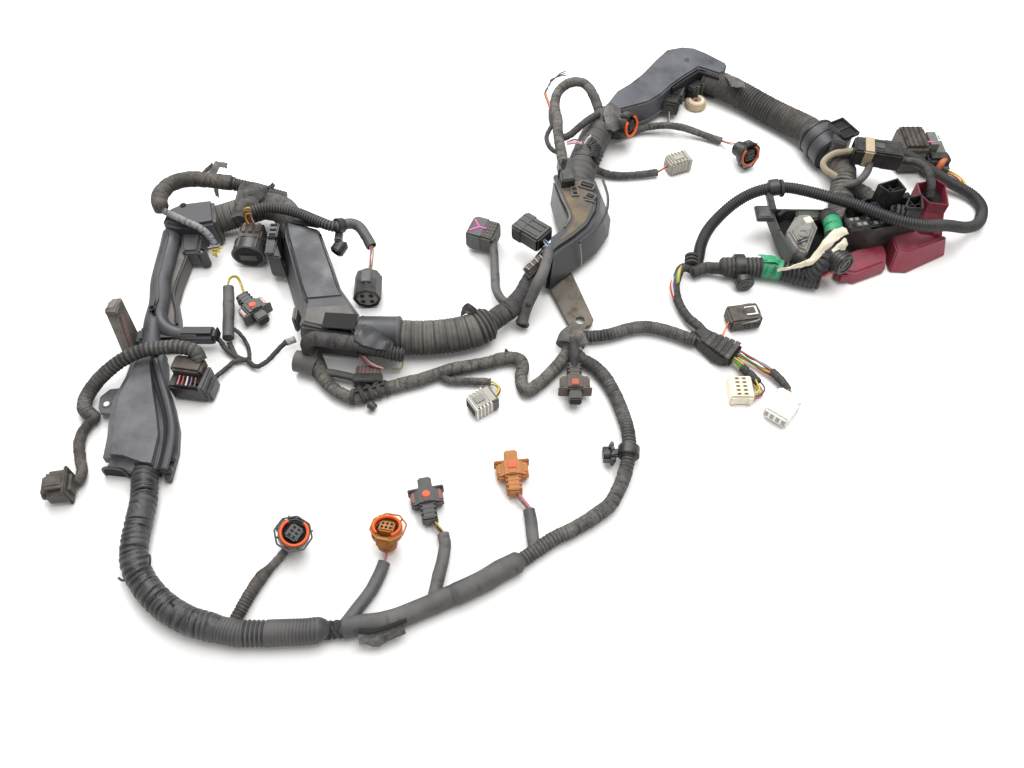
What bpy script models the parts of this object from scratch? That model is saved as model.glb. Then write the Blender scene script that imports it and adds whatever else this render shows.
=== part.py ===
"""Vehicle engine wiring harness: taped looms, ribbed conduit, moulded ducts, a fuse box and plugs.

It lies flat, as it rests on a bench. Metres, +Z up, +X along the harness, +Y away from the
front loom. Places are given from a layout origin inside the harness, and OUTLINE_CENTRE
carries the middle of the whole outline to the world origin.
"""
import math

import bmesh
import bpy
from mathutils import Matrix, Vector

OUTLINE_CENTRE = (0.0089, -0.0242)

# Clearance between pieces that seat on each other
GAP = 0.0003

# Bundle diameters
TRUNK_D = 0.0215
SLEEVE_D = 0.0200
WRAP_D = 0.0140
LOOM_D = 0.0165
BULGE_D = 0.0178
LOOP_D = 0.0125
BRANCH_D = 0.0105
WIRES_D = 0.0040
CROSSING_D = 0.0130
CROSSING_TAIL_D = 0.0095
CORNER_LOOP_D = 0.0160
CORNER_CONDUIT_D = 0.0135
CORNER_TRUNK_D = 0.0280
FRAYED_D = 0.0070
THIN_D = 0.0050
THIN_TAPE_D = 0.0070
OPEN_SLEEVE_D = 0.0110
MID_CONDUIT_D = 0.0108
MID_FLEX_D = 0.0320
MID_TAPE_D = 0.0195
MID_LOOM_D = 0.0120
MID_TWIG_D = 0.0075
STUB_D = 0.0140
KNOT_D = 0.0170
FAN_D = 0.0320
FAN_NECK_D = 0.0240
UPPER_LOOP_D = 0.0110
UPPER_CABLE_D = 0.0080
RIGHT_TRUNK_D = 0.0290
RIGHT_BUNDLE_D = 0.0250
CREAM_TUBE_D = 0.0065
RIGHT_CONDUIT_D = 0.0118
RIGHT_FLEX_D = 0.0200
RIGHT_TWIG_D = 0.0090
GREEN_BUNDLE_D = 0.0170

# Heights of the moulded pieces above the bench
FLOOR_Z = 0.0005
LEFT_DUCT_TOP = 0.0260
RISER_TOP = 0.0300
CORNER_BOX_TOP = 0.0340
MIDDLE_DUCT_TOP = 0.0400
RIGHT_DUCT_TOP = 0.0460
UPPER_DUCT_FOOT = 0.0040
UPPER_DUCT_TOP = 0.0340
FUSE_BOX_TOP = 0.0390
SHROUD_TOP = 0.0200

# Left duct mouth: a rounded pocket
MOUTH_CENTRE = (-0.3710, 0.0110)
MOUTH_SIZE = (0.0220, 0.0160)
MOUTH_DEPTH = 0.0700
MOUTH_ROUND = 0.0050

# Middle duct window and cover
WINDOW_SIZE = (0.0280, 0.0200)
WINDOW_CENTRE = (-0.1965, -0.0920)
WINDOW_DEPTH = 0.0060
COVER_D = 0.0370
COVER_LENGTH = 0.0370
COVER_START = (-0.1825, -0.0905, 0.0190)

# Steel bracket
BRACKET_THICKNESS = 0.0030
BRACKET_FOOT = 0.0035
BRACKET_HOLE_D = 0.0100
BRACKET_HOLE = (0.0190, -0.0620)
RIGHT_DUCT_FOOT = BRACKET_FOOT + BRACKET_THICKNESS + GAP

# Bushing on the upper duct
BUSHING_CENTRE = (0.1665, 0.2575)
BUSHING_D = 0.0170
BUSHING_HEIGHT = 0.0090
BUSHING_HOLE_D = 0.0055
BUSHING_RING_D = 0.0240

# Clamp round the right trunk
CLAMP_D = 0.0410
CLAMP_START = (0.2835, 0.1820, 0.0215)
CLAMP_END = (0.2965, 0.1510, 0.0215)

# Plug families
RING_PLUG_D = 0.0250
RING_PLUG_LENGTH = 0.0240
RING_NECK_D = 0.0160
CROSS_PLUG_LENGTH = 0.0400
CROSS_PLUG_WIDTH = 0.0270
CROSS_PLUG_HEIGHT = 0.0150

# Moulded outlines, seen from above
LEFT_DUCT_FOOT = [
    (-0.384, -0.221), (-0.379, -0.205), (-0.381, -0.186), (-0.384, -0.165), (-0.383, -0.141),
    (-0.380, -0.100), (-0.356, -0.100), (-0.351, -0.120), (-0.339, -0.150), (-0.330, -0.178),
    (-0.325, -0.195), (-0.328, -0.221),
]
LEFT_DUCT_ROOF = [
    (-0.381, -0.221), (-0.376, -0.205), (-0.378, -0.186), (-0.381, -0.165), (-0.380, -0.141),
    (-0.377, -0.100), (-0.360, -0.100), (-0.357, -0.121), (-0.346, -0.152), (-0.338, -0.180),
    (-0.334, -0.196), (-0.334, -0.221),
]
LEFT_DUCT_TAB = [(-0.3975, -0.160), (-0.3975, -0.151), (-0.380, -0.141), (-0.380, -0.172)]
RISER_STRIP = [
    (-0.390, 0.037), (-0.387, 0.018), (-0.386, -0.008), (-0.385, -0.029), (-0.379, -0.055),
    (-0.382, -0.080), (-0.362, -0.080), (-0.366, -0.050), (-0.371, -0.024), (-0.372, 0.007),
    (-0.373, 0.034),
]
RISER_STEP = [
    (-0.375, 0.034), (-0.376, -0.024), (-0.372, -0.080), (-0.351, -0.080), (-0.356, -0.060),
    (-0.363, -0.041), (-0.363, -0.022), (-0.361, 0.002), (-0.360, 0.034),
]
CORNER_BOX = [
    (-0.388, 0.058), (-0.376, 0.067), (-0.343, 0.073), (-0.333, 0.037), (-0.352, 0.032),
    (-0.373, 0.030), (-0.390, 0.036),
]
RISER_BLOCK = [(-0.374, 0.036), (-0.350, 0.036), (-0.348, 0.008), (-0.366, 0.007)]
RISER_BASE = [(-0.390, -0.076), (-0.389, -0.0997), (-0.345, -0.0975), (-0.347, -0.074)]
RISER_STUB = [(-0.350, -0.0785), (-0.350, -0.094), (-0.3145, -0.094), (-0.3145, -0.0785)]
TAB_FOOT = [(-0.398, -0.108), (-0.3905, -0.109), (-0.3905, -0.080), (-0.394, -0.078)]
TAB_HEAD = [(-0.404, -0.088), (-0.395, -0.086), (-0.391, -0.073), (-0.400, -0.074)]
MIDDLE_DUCT_FOOT = [
    (-0.277, 0.036), (-0.273, 0.010), (-0.260, -0.025), (-0.246, -0.062), (-0.240, -0.080),
    (-0.239, -0.095), (-0.210, -0.100), (-0.183, -0.104), (-0.183, -0.074), (-0.192, -0.062),
    (-0.202, -0.047), (-0.214, -0.015), (-0.230, 0.027),
]
MIDDLE_DUCT_ROOF = [
    (-0.267, 0.038), (-0.263, 0.018), (-0.255, -0.005), (-0.241, -0.046), (-0.233, -0.066),
    (-0.235, -0.092), (-0.210, -0.097), (-0.183, -0.101), (-0.183, -0.078), (-0.193, -0.063),
    (-0.203, -0.048), (-0.215, -0.016), (-0.231, 0.025),
]
RELAY_BLOCK = [
    (-0.2815, 0.033), (-0.272, 0.036), (-0.270, 0.008), (-0.262, -0.012), (-0.278, -0.009),
    (-0.2815, 0.006),
]
RIGHT_DUCT_FOOT_OUTLINE = [
    (-0.006, 0.091), (-0.001, 0.060), (0.005, 0.034), (0.000, 0.020), (-0.011, 0.010),
    (-0.018, -0.014), (-0.012, -0.031), (0.003, -0.015), (0.022, 0.002), (0.040, 0.020),
    (0.053, 0.043), (0.057, 0.066), (0.051, 0.095),
]
RIGHT_DUCT_ROOF_OUTLINE = [
    (-0.004, 0.089), (0.002, 0.060), (0.009, 0.035), (0.003, 0.021), (-0.007, 0.012),
    (-0.010, -0.008), (-0.008, -0.014), (0.001, -0.004), (0.016, 0.009), (0.029, 0.023),
    (0.039, 0.044), (0.042, 0.065), (0.037, 0.092),
]
RIGHT_DUCT_BLOCK = [(0.000, 0.108), (0.016, 0.111), (0.018, 0.077), (0.004, 0.074)]
BRACKET_OUTLINE = [
    (-0.009, -0.022), (0.012, 0.002), (0.032, -0.061), (0.029, -0.068), (0.0155, -0.0745),
    (0.0095, -0.071),
]
UPPER_DUCT = [
    (0.059, 0.219), (0.072, 0.242), (0.087, 0.255), (0.103, 0.273), (0.121, 0.299),
    (0.135, 0.317), (0.153, 0.322), (0.167, 0.320), (0.181, 0.310), (0.202, 0.290),
    (0.197, 0.274), (0.190, 0.270), (0.168, 0.282), (0.151, 0.267), (0.134, 0.250),
    (0.122, 0.235), (0.106, 0.221), (0.084, 0.212), (0.068, 0.206),
]
UPPER_DUCT_LUG = [(0.156, 0.258), (0.177, 0.258), (0.178, 0.282), (0.160, 0.284)]
CLAMP_HOLDER = [(0.287, 0.140), (0.291, 0.164), (0.304, 0.178), (0.311, 0.150), (0.299, 0.133)]
FUSE_BOX = [
    (0.277, 0.041), (0.281, 0.030), (0.303, 0.020), (0.326, 0.027), (0.344, 0.0325),
    (0.355, 0.036), (0.356, 0.060), (0.341, 0.074), (0.306, 0.066), (0.283, 0.054),
]
RELAY_ONE = [(0.309, 0.062), (0.331, 0.071), (0.336, 0.055), (0.318, 0.050)]
RELAY_TWO = [(0.332, 0.038), (0.350, 0.036), (0.3545, 0.057), (0.340, 0.053)]
RED_RIGHT_FOOT = [
    (0.3575, 0.034), (0.387, 0.0300), (0.391, 0.066), (0.384, 0.079), (0.352, 0.075),
    (0.352, 0.055),
]
RED_RIGHT_HEAD = [
    (0.3600, 0.048), (0.379, 0.045), (0.384, 0.074), (0.377, 0.082), (0.355, 0.077),
    (0.354, 0.060),
]
RED_FRONT_FOOT = [
    (0.3268, 0.031), (0.350, 0.040), (0.3572, 0.041), (0.3572, 0.034), (0.388, 0.030),
    (0.390, 0.025), (0.344, 0.001), (0.3268, 0.002),
]
RED_FRONT_HEAD = [
    (0.3290, 0.031), (0.350, 0.040), (0.3565, 0.041), (0.3570, 0.034), (0.382, 0.031),
    (0.383, 0.028), (0.341, 0.010), (0.3290, 0.011),
]
RED_LEFT_FOOT = [
    (0.268, -0.008), (0.288, -0.014), (0.323, 0.001), (0.3265, 0.014), (0.3265, 0.032),
    (0.304, 0.026), (0.276, 0.012),
]
RED_LEFT_HEAD = [
    (0.271, -0.006), (0.288, -0.010), (0.320, 0.004), (0.3235, 0.015), (0.3240, 0.032),
    (0.304, 0.026), (0.278, 0.013),
]
BOWL_FOOT = [
    (0.220, 0.058), (0.222, 0.030), (0.228, 0.004), (0.238, -0.0055), (0.254, 0.006),
    (0.268, 0.030), (0.264, 0.058),
]
BOWL_HEAD = [
    (0.213, 0.062), (0.216, 0.032), (0.225, 0.000), (0.238, -0.009), (0.258, 0.007),
    (0.274, 0.032), (0.268, 0.061),
]
GREY_PLUG = [
    (0.219, 0.023), (0.234, 0.047), (0.249, 0.048), (0.253, 0.029), (0.236, -0.006),
    (0.226, -0.001),
]
SHROUD = [
    (0.1165, -0.080), (0.134, -0.0755), (0.148, -0.085), (0.163, -0.098), (0.161, -0.106),
    (0.148, -0.114), (0.137, -0.108),
]
WING = [(-0.243, -0.114), (-0.236, -0.1065), (-0.217, -0.110), (-0.219, -0.126), (-0.232, -0.122)]

# Routes: each is a list of sections, a section being a diameter and the places it runs through
FRONT_MAIN = [
    (TRUNK_D, [(-0.348, -0.210, 0.0115), (-0.348, -0.230, 0.0115), (-0.344, -0.250, 0.0115),
               (-0.343, -0.273, 0.0115), (-0.342, -0.290, 0.0115), (-0.339, -0.303, 0.0115),
               (-0.333, -0.314, 0.0115), (-0.321, -0.328, 0.0115), (-0.305, -0.341, 0.0115),
               (-0.288, -0.350, 0.0115), (-0.272, -0.355, 0.0115), (-0.266, -0.3565, 0.0115)]),
    (SLEEVE_D, [(-0.264, -0.357, 0.0108), (-0.249, -0.360, 0.0108), (-0.224, -0.360, 0.0108),
                (-0.199, -0.359, 0.0108), (-0.188, -0.358, 0.0108)]),
    (WRAP_D, [(-0.186, -0.358, 0.0085), (-0.180, -0.357, 0.0085), (-0.172, -0.356, 0.0085)]),
    (LOOM_D, [(-0.170, -0.356, 0.0090), (-0.155, -0.353, 0.0090), (-0.140, -0.351, 0.0090),
              (-0.123, -0.345, 0.0090), (-0.105, -0.337, 0.0090), (-0.090, -0.330, 0.0090)]),
    (BULGE_D, [(-0.087, -0.329, 0.0095), (-0.070, -0.321, 0.0095), (-0.054, -0.311, 0.0095),
               (-0.041, -0.304, 0.0095)]),
    (LOOP_D, [(-0.038, -0.302, 0.0080), (-0.024, -0.292, 0.0080), (-0.011, -0.283, 0.0080),
              (0.005, -0.275, 0.0080), (0.022, -0.264, 0.0080), (0.035, -0.253, 0.0080),
              (0.044, -0.237, 0.0085), (0.050, -0.222, 0.0100), (0.053, -0.208, 0.0105),
              (0.0545, -0.194, 0.0100), (0.054, -0.180, 0.0085), (0.051, -0.165, 0.0080),
              (0.047, -0.150, 0.0080), (0.041, -0.134, 0.0080), (0.033, -0.120, 0.0080),
              (0.026, -0.1135, 0.0080), (0.0195, -0.1095, 0.0080)]),
]
RING_PLUG_LEAD = [
    (BRANCH_D, [(-0.254, -0.352, 0.0075), (-0.246, -0.329, 0.0065), (-0.239, -0.314, 0.0060)]),
    (THIN_TAPE_D, [(-0.233, -0.306, 0.0055), (-0.226, -0.295, 0.0050), (-0.222, -0.288, 0.0055)]),
]
BROWN_RING_LEAD = [
    (BRANCH_D, [(-0.170, -0.352, 0.0070), (-0.161, -0.338, 0.0065), (-0.153, -0.325, 0.0065),
                (-0.148, -0.313, 0.0065), (-0.145, -0.303, 0.0065)]),
    (WIRES_D, [(-0.1445, -0.301, 0.0065), (-0.1440, -0.296, 0.0070), (-0.1437, -0.290, 0.0085)]),
]
BLACK_CROSS_LEAD = [
    (BRANCH_D, [(-0.106, -0.337, 0.0070), (-0.102, -0.314, 0.0060), (-0.099, -0.298, 0.0060),
                (-0.098, -0.287, 0.0060), (-0.100, -0.279, 0.0060)]),
    (WIRES_D, [(-0.1010, -0.2775, 0.0060), (-0.1045, -0.2735, 0.0070), (-0.1105, -0.265, 0.0085)]),
]
BROWN_CROSS_LEAD = [
    (BRANCH_D, [(-0.0275, -0.293, 0.0070), (-0.029, -0.275, 0.0065), (-0.030, -0.265, 0.0065),
                (-0.031, -0.258, 0.0065)]),
    (WIRES_D, [(-0.0315, -0.2565, 0.0065), (-0.037, -0.2495, 0.0080), (-0.0425, -0.239, 0.0090)]),
]
CROSSING = [
    (CROSSING_D, [(-0.3195, -0.1235, 0.0270), (-0.323, -0.118, 0.0330), (-0.338, -0.115, 0.0360),
                  (-0.353, -0.116, 0.0360), (-0.368, -0.119, 0.0360), (-0.380, -0.124, 0.0340),
                  (-0.393, -0.129, 0.0280), (-0.407, -0.136, 0.0190), (-0.416, -0.144, 0.0120),
                  (-0.420, -0.153, 0.0085), (-0.418, -0.162, 0.0080), (-0.411, -0.168, 0.0080)]),
    (CROSSING_TAIL_D, [(-0.407, -0.170, 0.0080), (-0.411, -0.176, 0.0070), (-0.415, -0.186, 0.0060),
                       (-0.414, -0.197, 0.0060), (-0.409, -0.211, 0.0060), (-0.404, -0.223, 0.0065),
                       (-0.4045, -0.232, 0.0080), (-0.411, -0.2365, 0.0100)]),
]
STUB_TWIG = [
    (THIN_D, [(-0.321, -0.085, 0.0140), (-0.314, -0.0885, 0.0110), (-0.309, -0.094, 0.0060),
              (-0.297, -0.103, 0.0045), (-0.287, -0.107, 0.0045)]),
]
FLAT_PLUG_LEAD = [
    (THIN_D, [(-0.315, -0.131, 0.0060), (-0.305, -0.117, 0.0045), (-0.297, -0.108, 0.0045),
              (-0.286, -0.106, 0.0045)]),
]
OPEN_SLEEVE = [
    (OPEN_SLEEVE_D, [(-0.315, -0.030, 0.0160), (-0.311, -0.057, 0.0120), (-0.3065, -0.086, 0.0105)]),
    (THIN_D, [(-0.3055, -0.089, 0.0080), (-0.303, -0.094, 0.0055), (-0.298, -0.1025, 0.0045)]),
]
SLEEVE_WIRES = [
    (WIRES_D, [(-0.3145, -0.034, 0.0165), (-0.3150, -0.022, 0.0190), (-0.309, -0.019, 0.0190),
               (-0.304, -0.026, 0.0150), (-0.298, -0.041, 0.0110)]),
]
THIN_LOOP = [
    (WIRES_D, [(-0.3080, -0.071, 0.0100), (-0.297, -0.079, 0.0060), (-0.288, -0.093, 0.0045),
               (-0.285, -0.106, 0.0045)]),
]
TAPED_TWIG = [
    (THIN_D, [(-0.288, -0.106, 0.0045), (-0.277, -0.114, 0.0050), (-0.268, -0.110, 0.0070),
              (-0.260, -0.100, 0.0090), (-0.254, -0.092, 0.0100)]),
    (THIN_TAPE_D, [(-0.252, -0.0905, 0.0100), (-0.2445, -0.0865, 0.0100)]),
]
CORNER_LOOP = [
    (CORNER_CONDUIT_D, [(-0.274, 0.076, 0.0300), (-0.293, 0.081, 0.0320), (-0.313, 0.087, 0.0340),
                        (-0.325, 0.089, 0.0360)]),
    (CORNER_LOOP_D, [(-0.329, 0.089, 0.0380), (-0.342, 0.089, 0.0400), (-0.360, 0.091, 0.0410),
                     (-0.376, 0.089, 0.0420), (-0.388, 0.081, 0.0425), (-0.393, 0.068, 0.0430),
                     (-0.392, 0.057, 0.0430), (-0.388, 0.049, 0.0430)]),
    (FRAYED_D, [(-0.385, 0.046, 0.0415), (-0.376, 0.042, 0.0400), (-0.3645, 0.036, 0.0385),
                (-0.347, 0.027, 0.0370), (-0.338, 0.0205, 0.0320), (-0.3325, 0.013, 0.0250)]),
]
CORNER_TRUNK = [
    (CORNER_TRUNK_D, [(-0.346, 0.0555, 0.0180), (-0.333, 0.060, 0.0190), (-0.315, 0.065, 0.0220),
                      (-0.292, 0.070, 0.0250), (-0.275, 0.063, 0.0240), (-0.264, 0.048, 0.0200),
                      (-0.2575, 0.030, 0.0195)]),
]
CONDUIT_OVER_DUCT = [
    (MID_CONDUIT_D, [(-0.298, 0.042, 0.0450), (-0.287, 0.0455, 0.0460), (-0.272, 0.0455, 0.0455),
                     (-0.253, 0.040, 0.0450), (-0.234, 0.030, 0.0450), (-0.216, 0.0225, 0.0440),
                     (-0.209, 0.028, 0.0405), (-0.201, 0.032, 0.0385), (-0.1935, 0.030, 0.0360),
                     (-0.187, 0.021, 0.0330), (-0.1805, 0.010, 0.0300)]),
    (WIRES_D, [(-0.180, 0.008, 0.0290), (-0.1810, -0.001, 0.0230), (-0.1830, -0.010, 0.0150),
               (-0.1830, -0.020, 0.0120)]),
]
OVAL_PLUG_WIRES = [
    (THIN_D, [(-0.295, 0.0425, 0.0450), (-0.3025, 0.0445, 0.0420), (-0.3045, 0.0470, 0.0330),
              (-0.3020, 0.0430, 0.0240), (-0.3010, 0.036, 0.0210)]),
]
MID_TRUNK = [
    (MID_FLEX_D, [(-0.1535, -0.090, 0.0180), (-0.134, -0.091, 0.0175), (-0.115, -0.090, 0.0170),
                  (-0.096, -0.087, 0.0170), (-0.079, -0.082, 0.0175), (-0.067, -0.0745, 0.0180)]),
    (MID_TAPE_D, [(-0.063, -0.072, 0.0180), (-0.055, -0.065, 0.0180), (-0.044, -0.055, 0.0190),
                  (-0.035, -0.043, 0.0200), (-0.028, -0.031, 0.0220), (-0.020, -0.014, 0.0240),
                  (-0.011, 0.000, 0.0250), (-0.004, 0.008, 0.0250)]),
]
PINK_PLUG_LEAD = [
    (RIGHT_TWIG_D, [(-0.048, -0.052, 0.0180), (-0.055, -0.046, 0.0180), (-0.060, -0.034, 0.0170),
                    (-0.061, -0.020, 0.0160), (-0.062, 0.002, 0.0150), (-0.063, 0.020, 0.0150),
                    (-0.0645, 0.0335, 0.0150)]),
]
BLUE_PLUG_SLEEVE = [
    (OPEN_SLEEVE_D, [(-0.0360, -0.068, 0.0090), (-0.0335, -0.062, 0.0150), (-0.0285, -0.055, 0.0270),
                     (-0.0225, -0.045, 0.0360), (-0.016, -0.031, 0.0400), (-0.0120, -0.016, 0.0410),
                     (-0.0105, -0.005, 0.0410)]),
    (THIN_D, [(-0.0105, -0.003, 0.0400), (-0.0120, 0.006, 0.0380), (-0.0170, 0.0145, 0.0360)]),
]
MID_LOOM = [
    (KNOT_D, [(-0.226, -0.1035, 0.0200), (-0.223, -0.112, 0.0120), (-0.219, -0.120, 0.0090)]),
    (MID_LOOM_D, [(-0.214, -0.129, 0.0080), (-0.205, -0.139, 0.0080), (-0.194, -0.147, 0.0080),
                  (-0.182, -0.150, 0.0080), (-0.169, -0.145, 0.0080), (-0.157, -0.140, 0.0080),
                  (-0.145, -0.136, 0.0080), (-0.126, -0.130, 0.0080), (-0.101, -0.120, 0.0080),
                  (-0.070, -0.113, 0.0080), (-0.050, -0.107, 0.0080), (-0.039, -0.108, 0.0080),
                  (-0.035, -0.116, 0.0080), (-0.037, -0.128, 0.0080), (-0.035, -0.139, 0.0080),
                  (-0.030, -0.142, 0.0080), (-0.022, -0.136, 0.0080), (-0.013, -0.127, 0.0080),
                  (-0.002, -0.113, 0.0080), (0.005, -0.102, 0.0080)]),
    (KNOT_D, [(0.008, -0.096, 0.0092), (0.0115, -0.087, 0.0092)]),
    (MID_LOOM_D, [(0.016, -0.083, 0.0080), (0.033, -0.082, 0.0080), (0.048, -0.079, 0.0080),
                  (0.062, -0.074, 0.0080), (0.077, -0.071, 0.0080), (0.091, -0.073, 0.0080),
                  (0.107, -0.079, 0.0080), (0.117, -0.084, 0.0080), (0.1245, -0.0875, 0.0085)]),
]
RIBBED_STUB = [
    (STUB_D, [(-0.2245, -0.108, 0.0150), (-0.2265, -0.1060, 0.0280), (-0.220, -0.1055, 0.0355),
              (-0.208, -0.1080, 0.0360), (-0.197, -0.1095, 0.0360), (-0.180, -0.1115, 0.0350),
              (-0.164, -0.1135, 0.0310), (-0.153, -0.1145, 0.0270), (-0.141, -0.1155, 0.0240)]),
]
GREY_SQUARE_LEAD = [
    (MID_TWIG_D, [(-0.112, -0.1235, 0.0070), (-0.101, -0.130, 0.0060), (-0.082, -0.131, 0.0060),
                  (-0.064, -0.132, 0.0060)]),
    (WIRES_D, [(-0.060, -0.1335, 0.0060), (-0.056, -0.140, 0.0070), (-0.060, -0.148, 0.0080),
               (-0.067, -0.153, 0.0080)]),
]
FLAT_TWIN_LEAD = [
    (MID_TWIG_D, [(-0.217, -0.1225, 0.0090), (-0.200, -0.1265, 0.0105), (-0.181, -0.1305, 0.0080)]),
]
JUNCTION_PLUG_LEAD = [
    (RIGHT_TWIG_D, [(0.0110, -0.089, 0.0120), (0.0110, -0.098, 0.0200), (0.0108, -0.110, 0.0200),
                    (0.0105, -0.124, 0.0150)]),
]
FAN = [
    (FAN_D, [(0.017, 0.080, 0.0255), (0.022, 0.100, 0.0260), (0.028, 0.124, 0.0260),
             (0.036, 0.150, 0.0250), (0.044, 0.175, 0.0220), (0.048, 0.186, 0.0200)]),
    (FAN_NECK_D, [(0.052, 0.195, 0.0185), (0.061, 0.211, 0.0185), (0.073, 0.229, 0.0185)]),
]
UPPER_LOOP = [
    (UPPER_LOOP_D, [(0.0085, 0.103, 0.0420), (0.0060, 0.120, 0.0460), (0.004, 0.138, 0.0480),
                    (0.003, 0.156, 0.0480), (0.003, 0.176, 0.0470), (0.001, 0.198, 0.0450),
                    (0.003, 0.218, 0.0440), (0.010, 0.233, 0.0440), (0.021, 0.242, 0.0440),
                    (0.031, 0.242, 0.0440), (0.039, 0.233, 0.0440), (0.044, 0.221, 0.0420),
                    (0.049, 0.207, 0.0360), (0.052, 0.195, 0.0280)]),
]
SPLIT_STRAND = [
    (THIN_D, [(0.0030, 0.177, 0.0470), (-0.004, 0.165, 0.0455), (-0.009, 0.149, 0.0450),
              (-0.005, 0.132, 0.0455), (0.0050, 0.122, 0.0465)]),
]
UPPER_CABLE = [
    (UPPER_CABLE_D, [(0.006, 0.146, 0.0470), (0.015, 0.154, 0.0440), (0.025, 0.166, 0.0440),
                     (0.037, 0.182, 0.0420), (0.047, 0.197, 0.0360), (0.055, 0.207, 0.0290)]),
]
GREY_PLUG_LEAD = [
    (UPPER_CABLE_D, [(0.034, 0.146, 0.0140), (0.050, 0.140, 0.0070), (0.067, 0.136, 0.0055),
                     (0.090, 0.137, 0.0055), (0.111, 0.1405, 0.0055)]),
    (WIRES_D, [(0.114, 0.1420, 0.0065), (0.120, 0.1455, 0.0085), (0.1280, 0.1492, 0.0090)]),
]
UPPER_RING_LEAD = [
    (RIGHT_TWIG_D, [(0.054, 0.199, 0.0200), (0.064, 0.1965, 0.0240), (0.073, 0.1970, 0.0250)]),
]
UPPER_TWIG = [
    (UPPER_CABLE_D, [(0.056, 0.199, 0.0100), (0.070, 0.1985, 0.0060), (0.086, 0.2045, 0.0055),
                     (0.104, 0.209, 0.0090), (0.125, 0.209, 0.0120), (0.143, 0.207, 0.0110),
                     (0.157, 0.2045, 0.0080), (0.171, 0.199, 0.0060), (0.187, 0.191, 0.0055)]),
    (WIRES_D, [(0.190, 0.188, 0.0065), (0.195, 0.181, 0.0100), (0.1985, 0.174, 0.0145),
               (0.2005, 0.165, 0.0160)]),
]
UPPER_OVAL_LEAD = [(WIRES_D, [(0.1295, 0.209, 0.0120), (0.1300, 0.220, 0.0115), (0.1335, 0.2365, 0.0115)])]
RIGHT_TRUNK = [
    (RIGHT_TRUNK_D, [(0.178, 0.283, 0.0185), (0.192, 0.274, 0.0180), (0.207, 0.2635, 0.0170),
                     (0.221, 0.2515, 0.0165), (0.233, 0.240, 0.0160), (0.246, 0.228, 0.0155),
                     (0.258, 0.2165, 0.0160), (0.270, 0.204, 0.0175), (0.2790, 0.1915, 0.0200),
                     (0.2850, 0.1785, 0.0215), (0.2885, 0.1700, 0.0215)]),
]
RIGHT_BUNDLE = [
    (RIGHT_BUNDLE_D, [(0.2905, 0.1650, 0.0215), (0.2960, 0.1520, 0.0210), (0.3030, 0.1390, 0.0200),
                      (0.3045, 0.1260, 0.0180), (0.3010, 0.1120, 0.0160), (0.2965, 0.0960, 0.0150),
                      (0.2920, 0.0800, 0.0150), (0.2890, 0.0650, 0.0150),
                      (0.2885, 0.0520, 0.0150)]),
]
JOINED_PLUG_CROSS = [
    (UPPER_CABLE_D, [(0.2950, 0.1000, 0.0220), (0.3020, 0.0945, 0.0310), (0.3110, 0.0985, 0.0350),
                     (0.3190, 0.1090, 0.0360), (0.3255, 0.1230, 0.0370)]),
]
CREAM_TUBE = [
    (CREAM_TUBE_D, [(0.3105, 0.1335, 0.0420), (0.3000, 0.1340, 0.0400), (0.2890, 0.1335, 0.0370),
                    (0.2800, 0.1290, 0.0310), (0.2815, 0.1230, 0.0260), (0.2930, 0.1160, 0.0220)]),
]
FUSE_FEED = [
    (KNOT_D, [(0.3010, 0.1080, 0.0180), (0.3130, 0.0960, 0.0200), (0.3220, 0.0840, 0.0200),
              (0.3260, 0.0660, 0.0200)]),
]
RIGHT_LOOP = [
    (RIGHT_CONDUIT_D, [(0.3481, 0.1297, 0.0420), (0.3600, 0.1285, 0.0400), (0.376, 0.1265, 0.0330),
                       (0.393, 0.1220, 0.0240), (0.418, 0.116, 0.0120), (0.436, 0.105, 0.0080),
                       (0.442, 0.090, 0.0070), (0.439, 0.076, 0.0070), (0.427, 0.058, 0.0120),
                       (0.403, 0.039, 0.0260), (0.375, 0.028, 0.0400), (0.350, 0.022, 0.0460),
                       (0.329, 0.025, 0.0480), (0.312, 0.034, 0.0480), (0.290, 0.047, 0.0480),
                       (0.267, 0.059, 0.0470), (0.247, 0.071, 0.0440), (0.233, 0.078, 0.0415),
                       (0.217, 0.080, 0.0400), (0.197, 0.077, 0.0360), (0.180, 0.070, 0.0300),
                       (0.164, 0.059, 0.0220), (0.151, 0.045, 0.0160), (0.143, 0.029, 0.0120),
                       (0.139, 0.014, 0.0100), (0.134, 0.000, 0.0090)]),
]
RIGHT_FLEX = [
    (RIGHT_CONDUIT_D, [(0.131, -0.004, 0.0085), (0.144, 0.001, 0.0090), (0.158, 0.000, 0.0100)]),
    (RIGHT_FLEX_D, [(0.162, 0.000, 0.0115), (0.176, 0.000, 0.0115), (0.196, 0.000, 0.0115),
                    (0.216, -0.004, 0.0115), (0.236, -0.0115, 0.0110), (0.252, -0.0155, 0.0110)]),
]
SHROUD_TWIG = [
    (RIGHT_TWIG_D, [(0.134, -0.002, 0.0090), (0.123, 0.001, 0.0100), (0.116, -0.010, 0.0100),
                    (0.112, -0.026, 0.0090), (0.114, -0.043, 0.0080), (0.120, -0.059, 0.0080),
                    (0.1275, -0.0695, 0.0090), (0.1330, -0.0790, 0.0100)]),
]
GREEN_BUNDLE = [
    (GREEN_BUNDLE_D, [(0.240, -0.015, 0.0140), (0.251, -0.010, 0.0280), (0.2595, 0.004, 0.0380),
                      (0.2640, 0.020, 0.0420), (0.2660, 0.036, 0.0380), (0.2665, 0.050, 0.0300)]),
]
BOOT_LEAD = [
    (RIGHT_TWIG_D, [(0.4110, 0.1385, 0.0140), (0.4210, 0.1305, 0.0130), (0.4290, 0.1200, 0.0110),
                    (0.4320, 0.1075, 0.0090)]),
]
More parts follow.
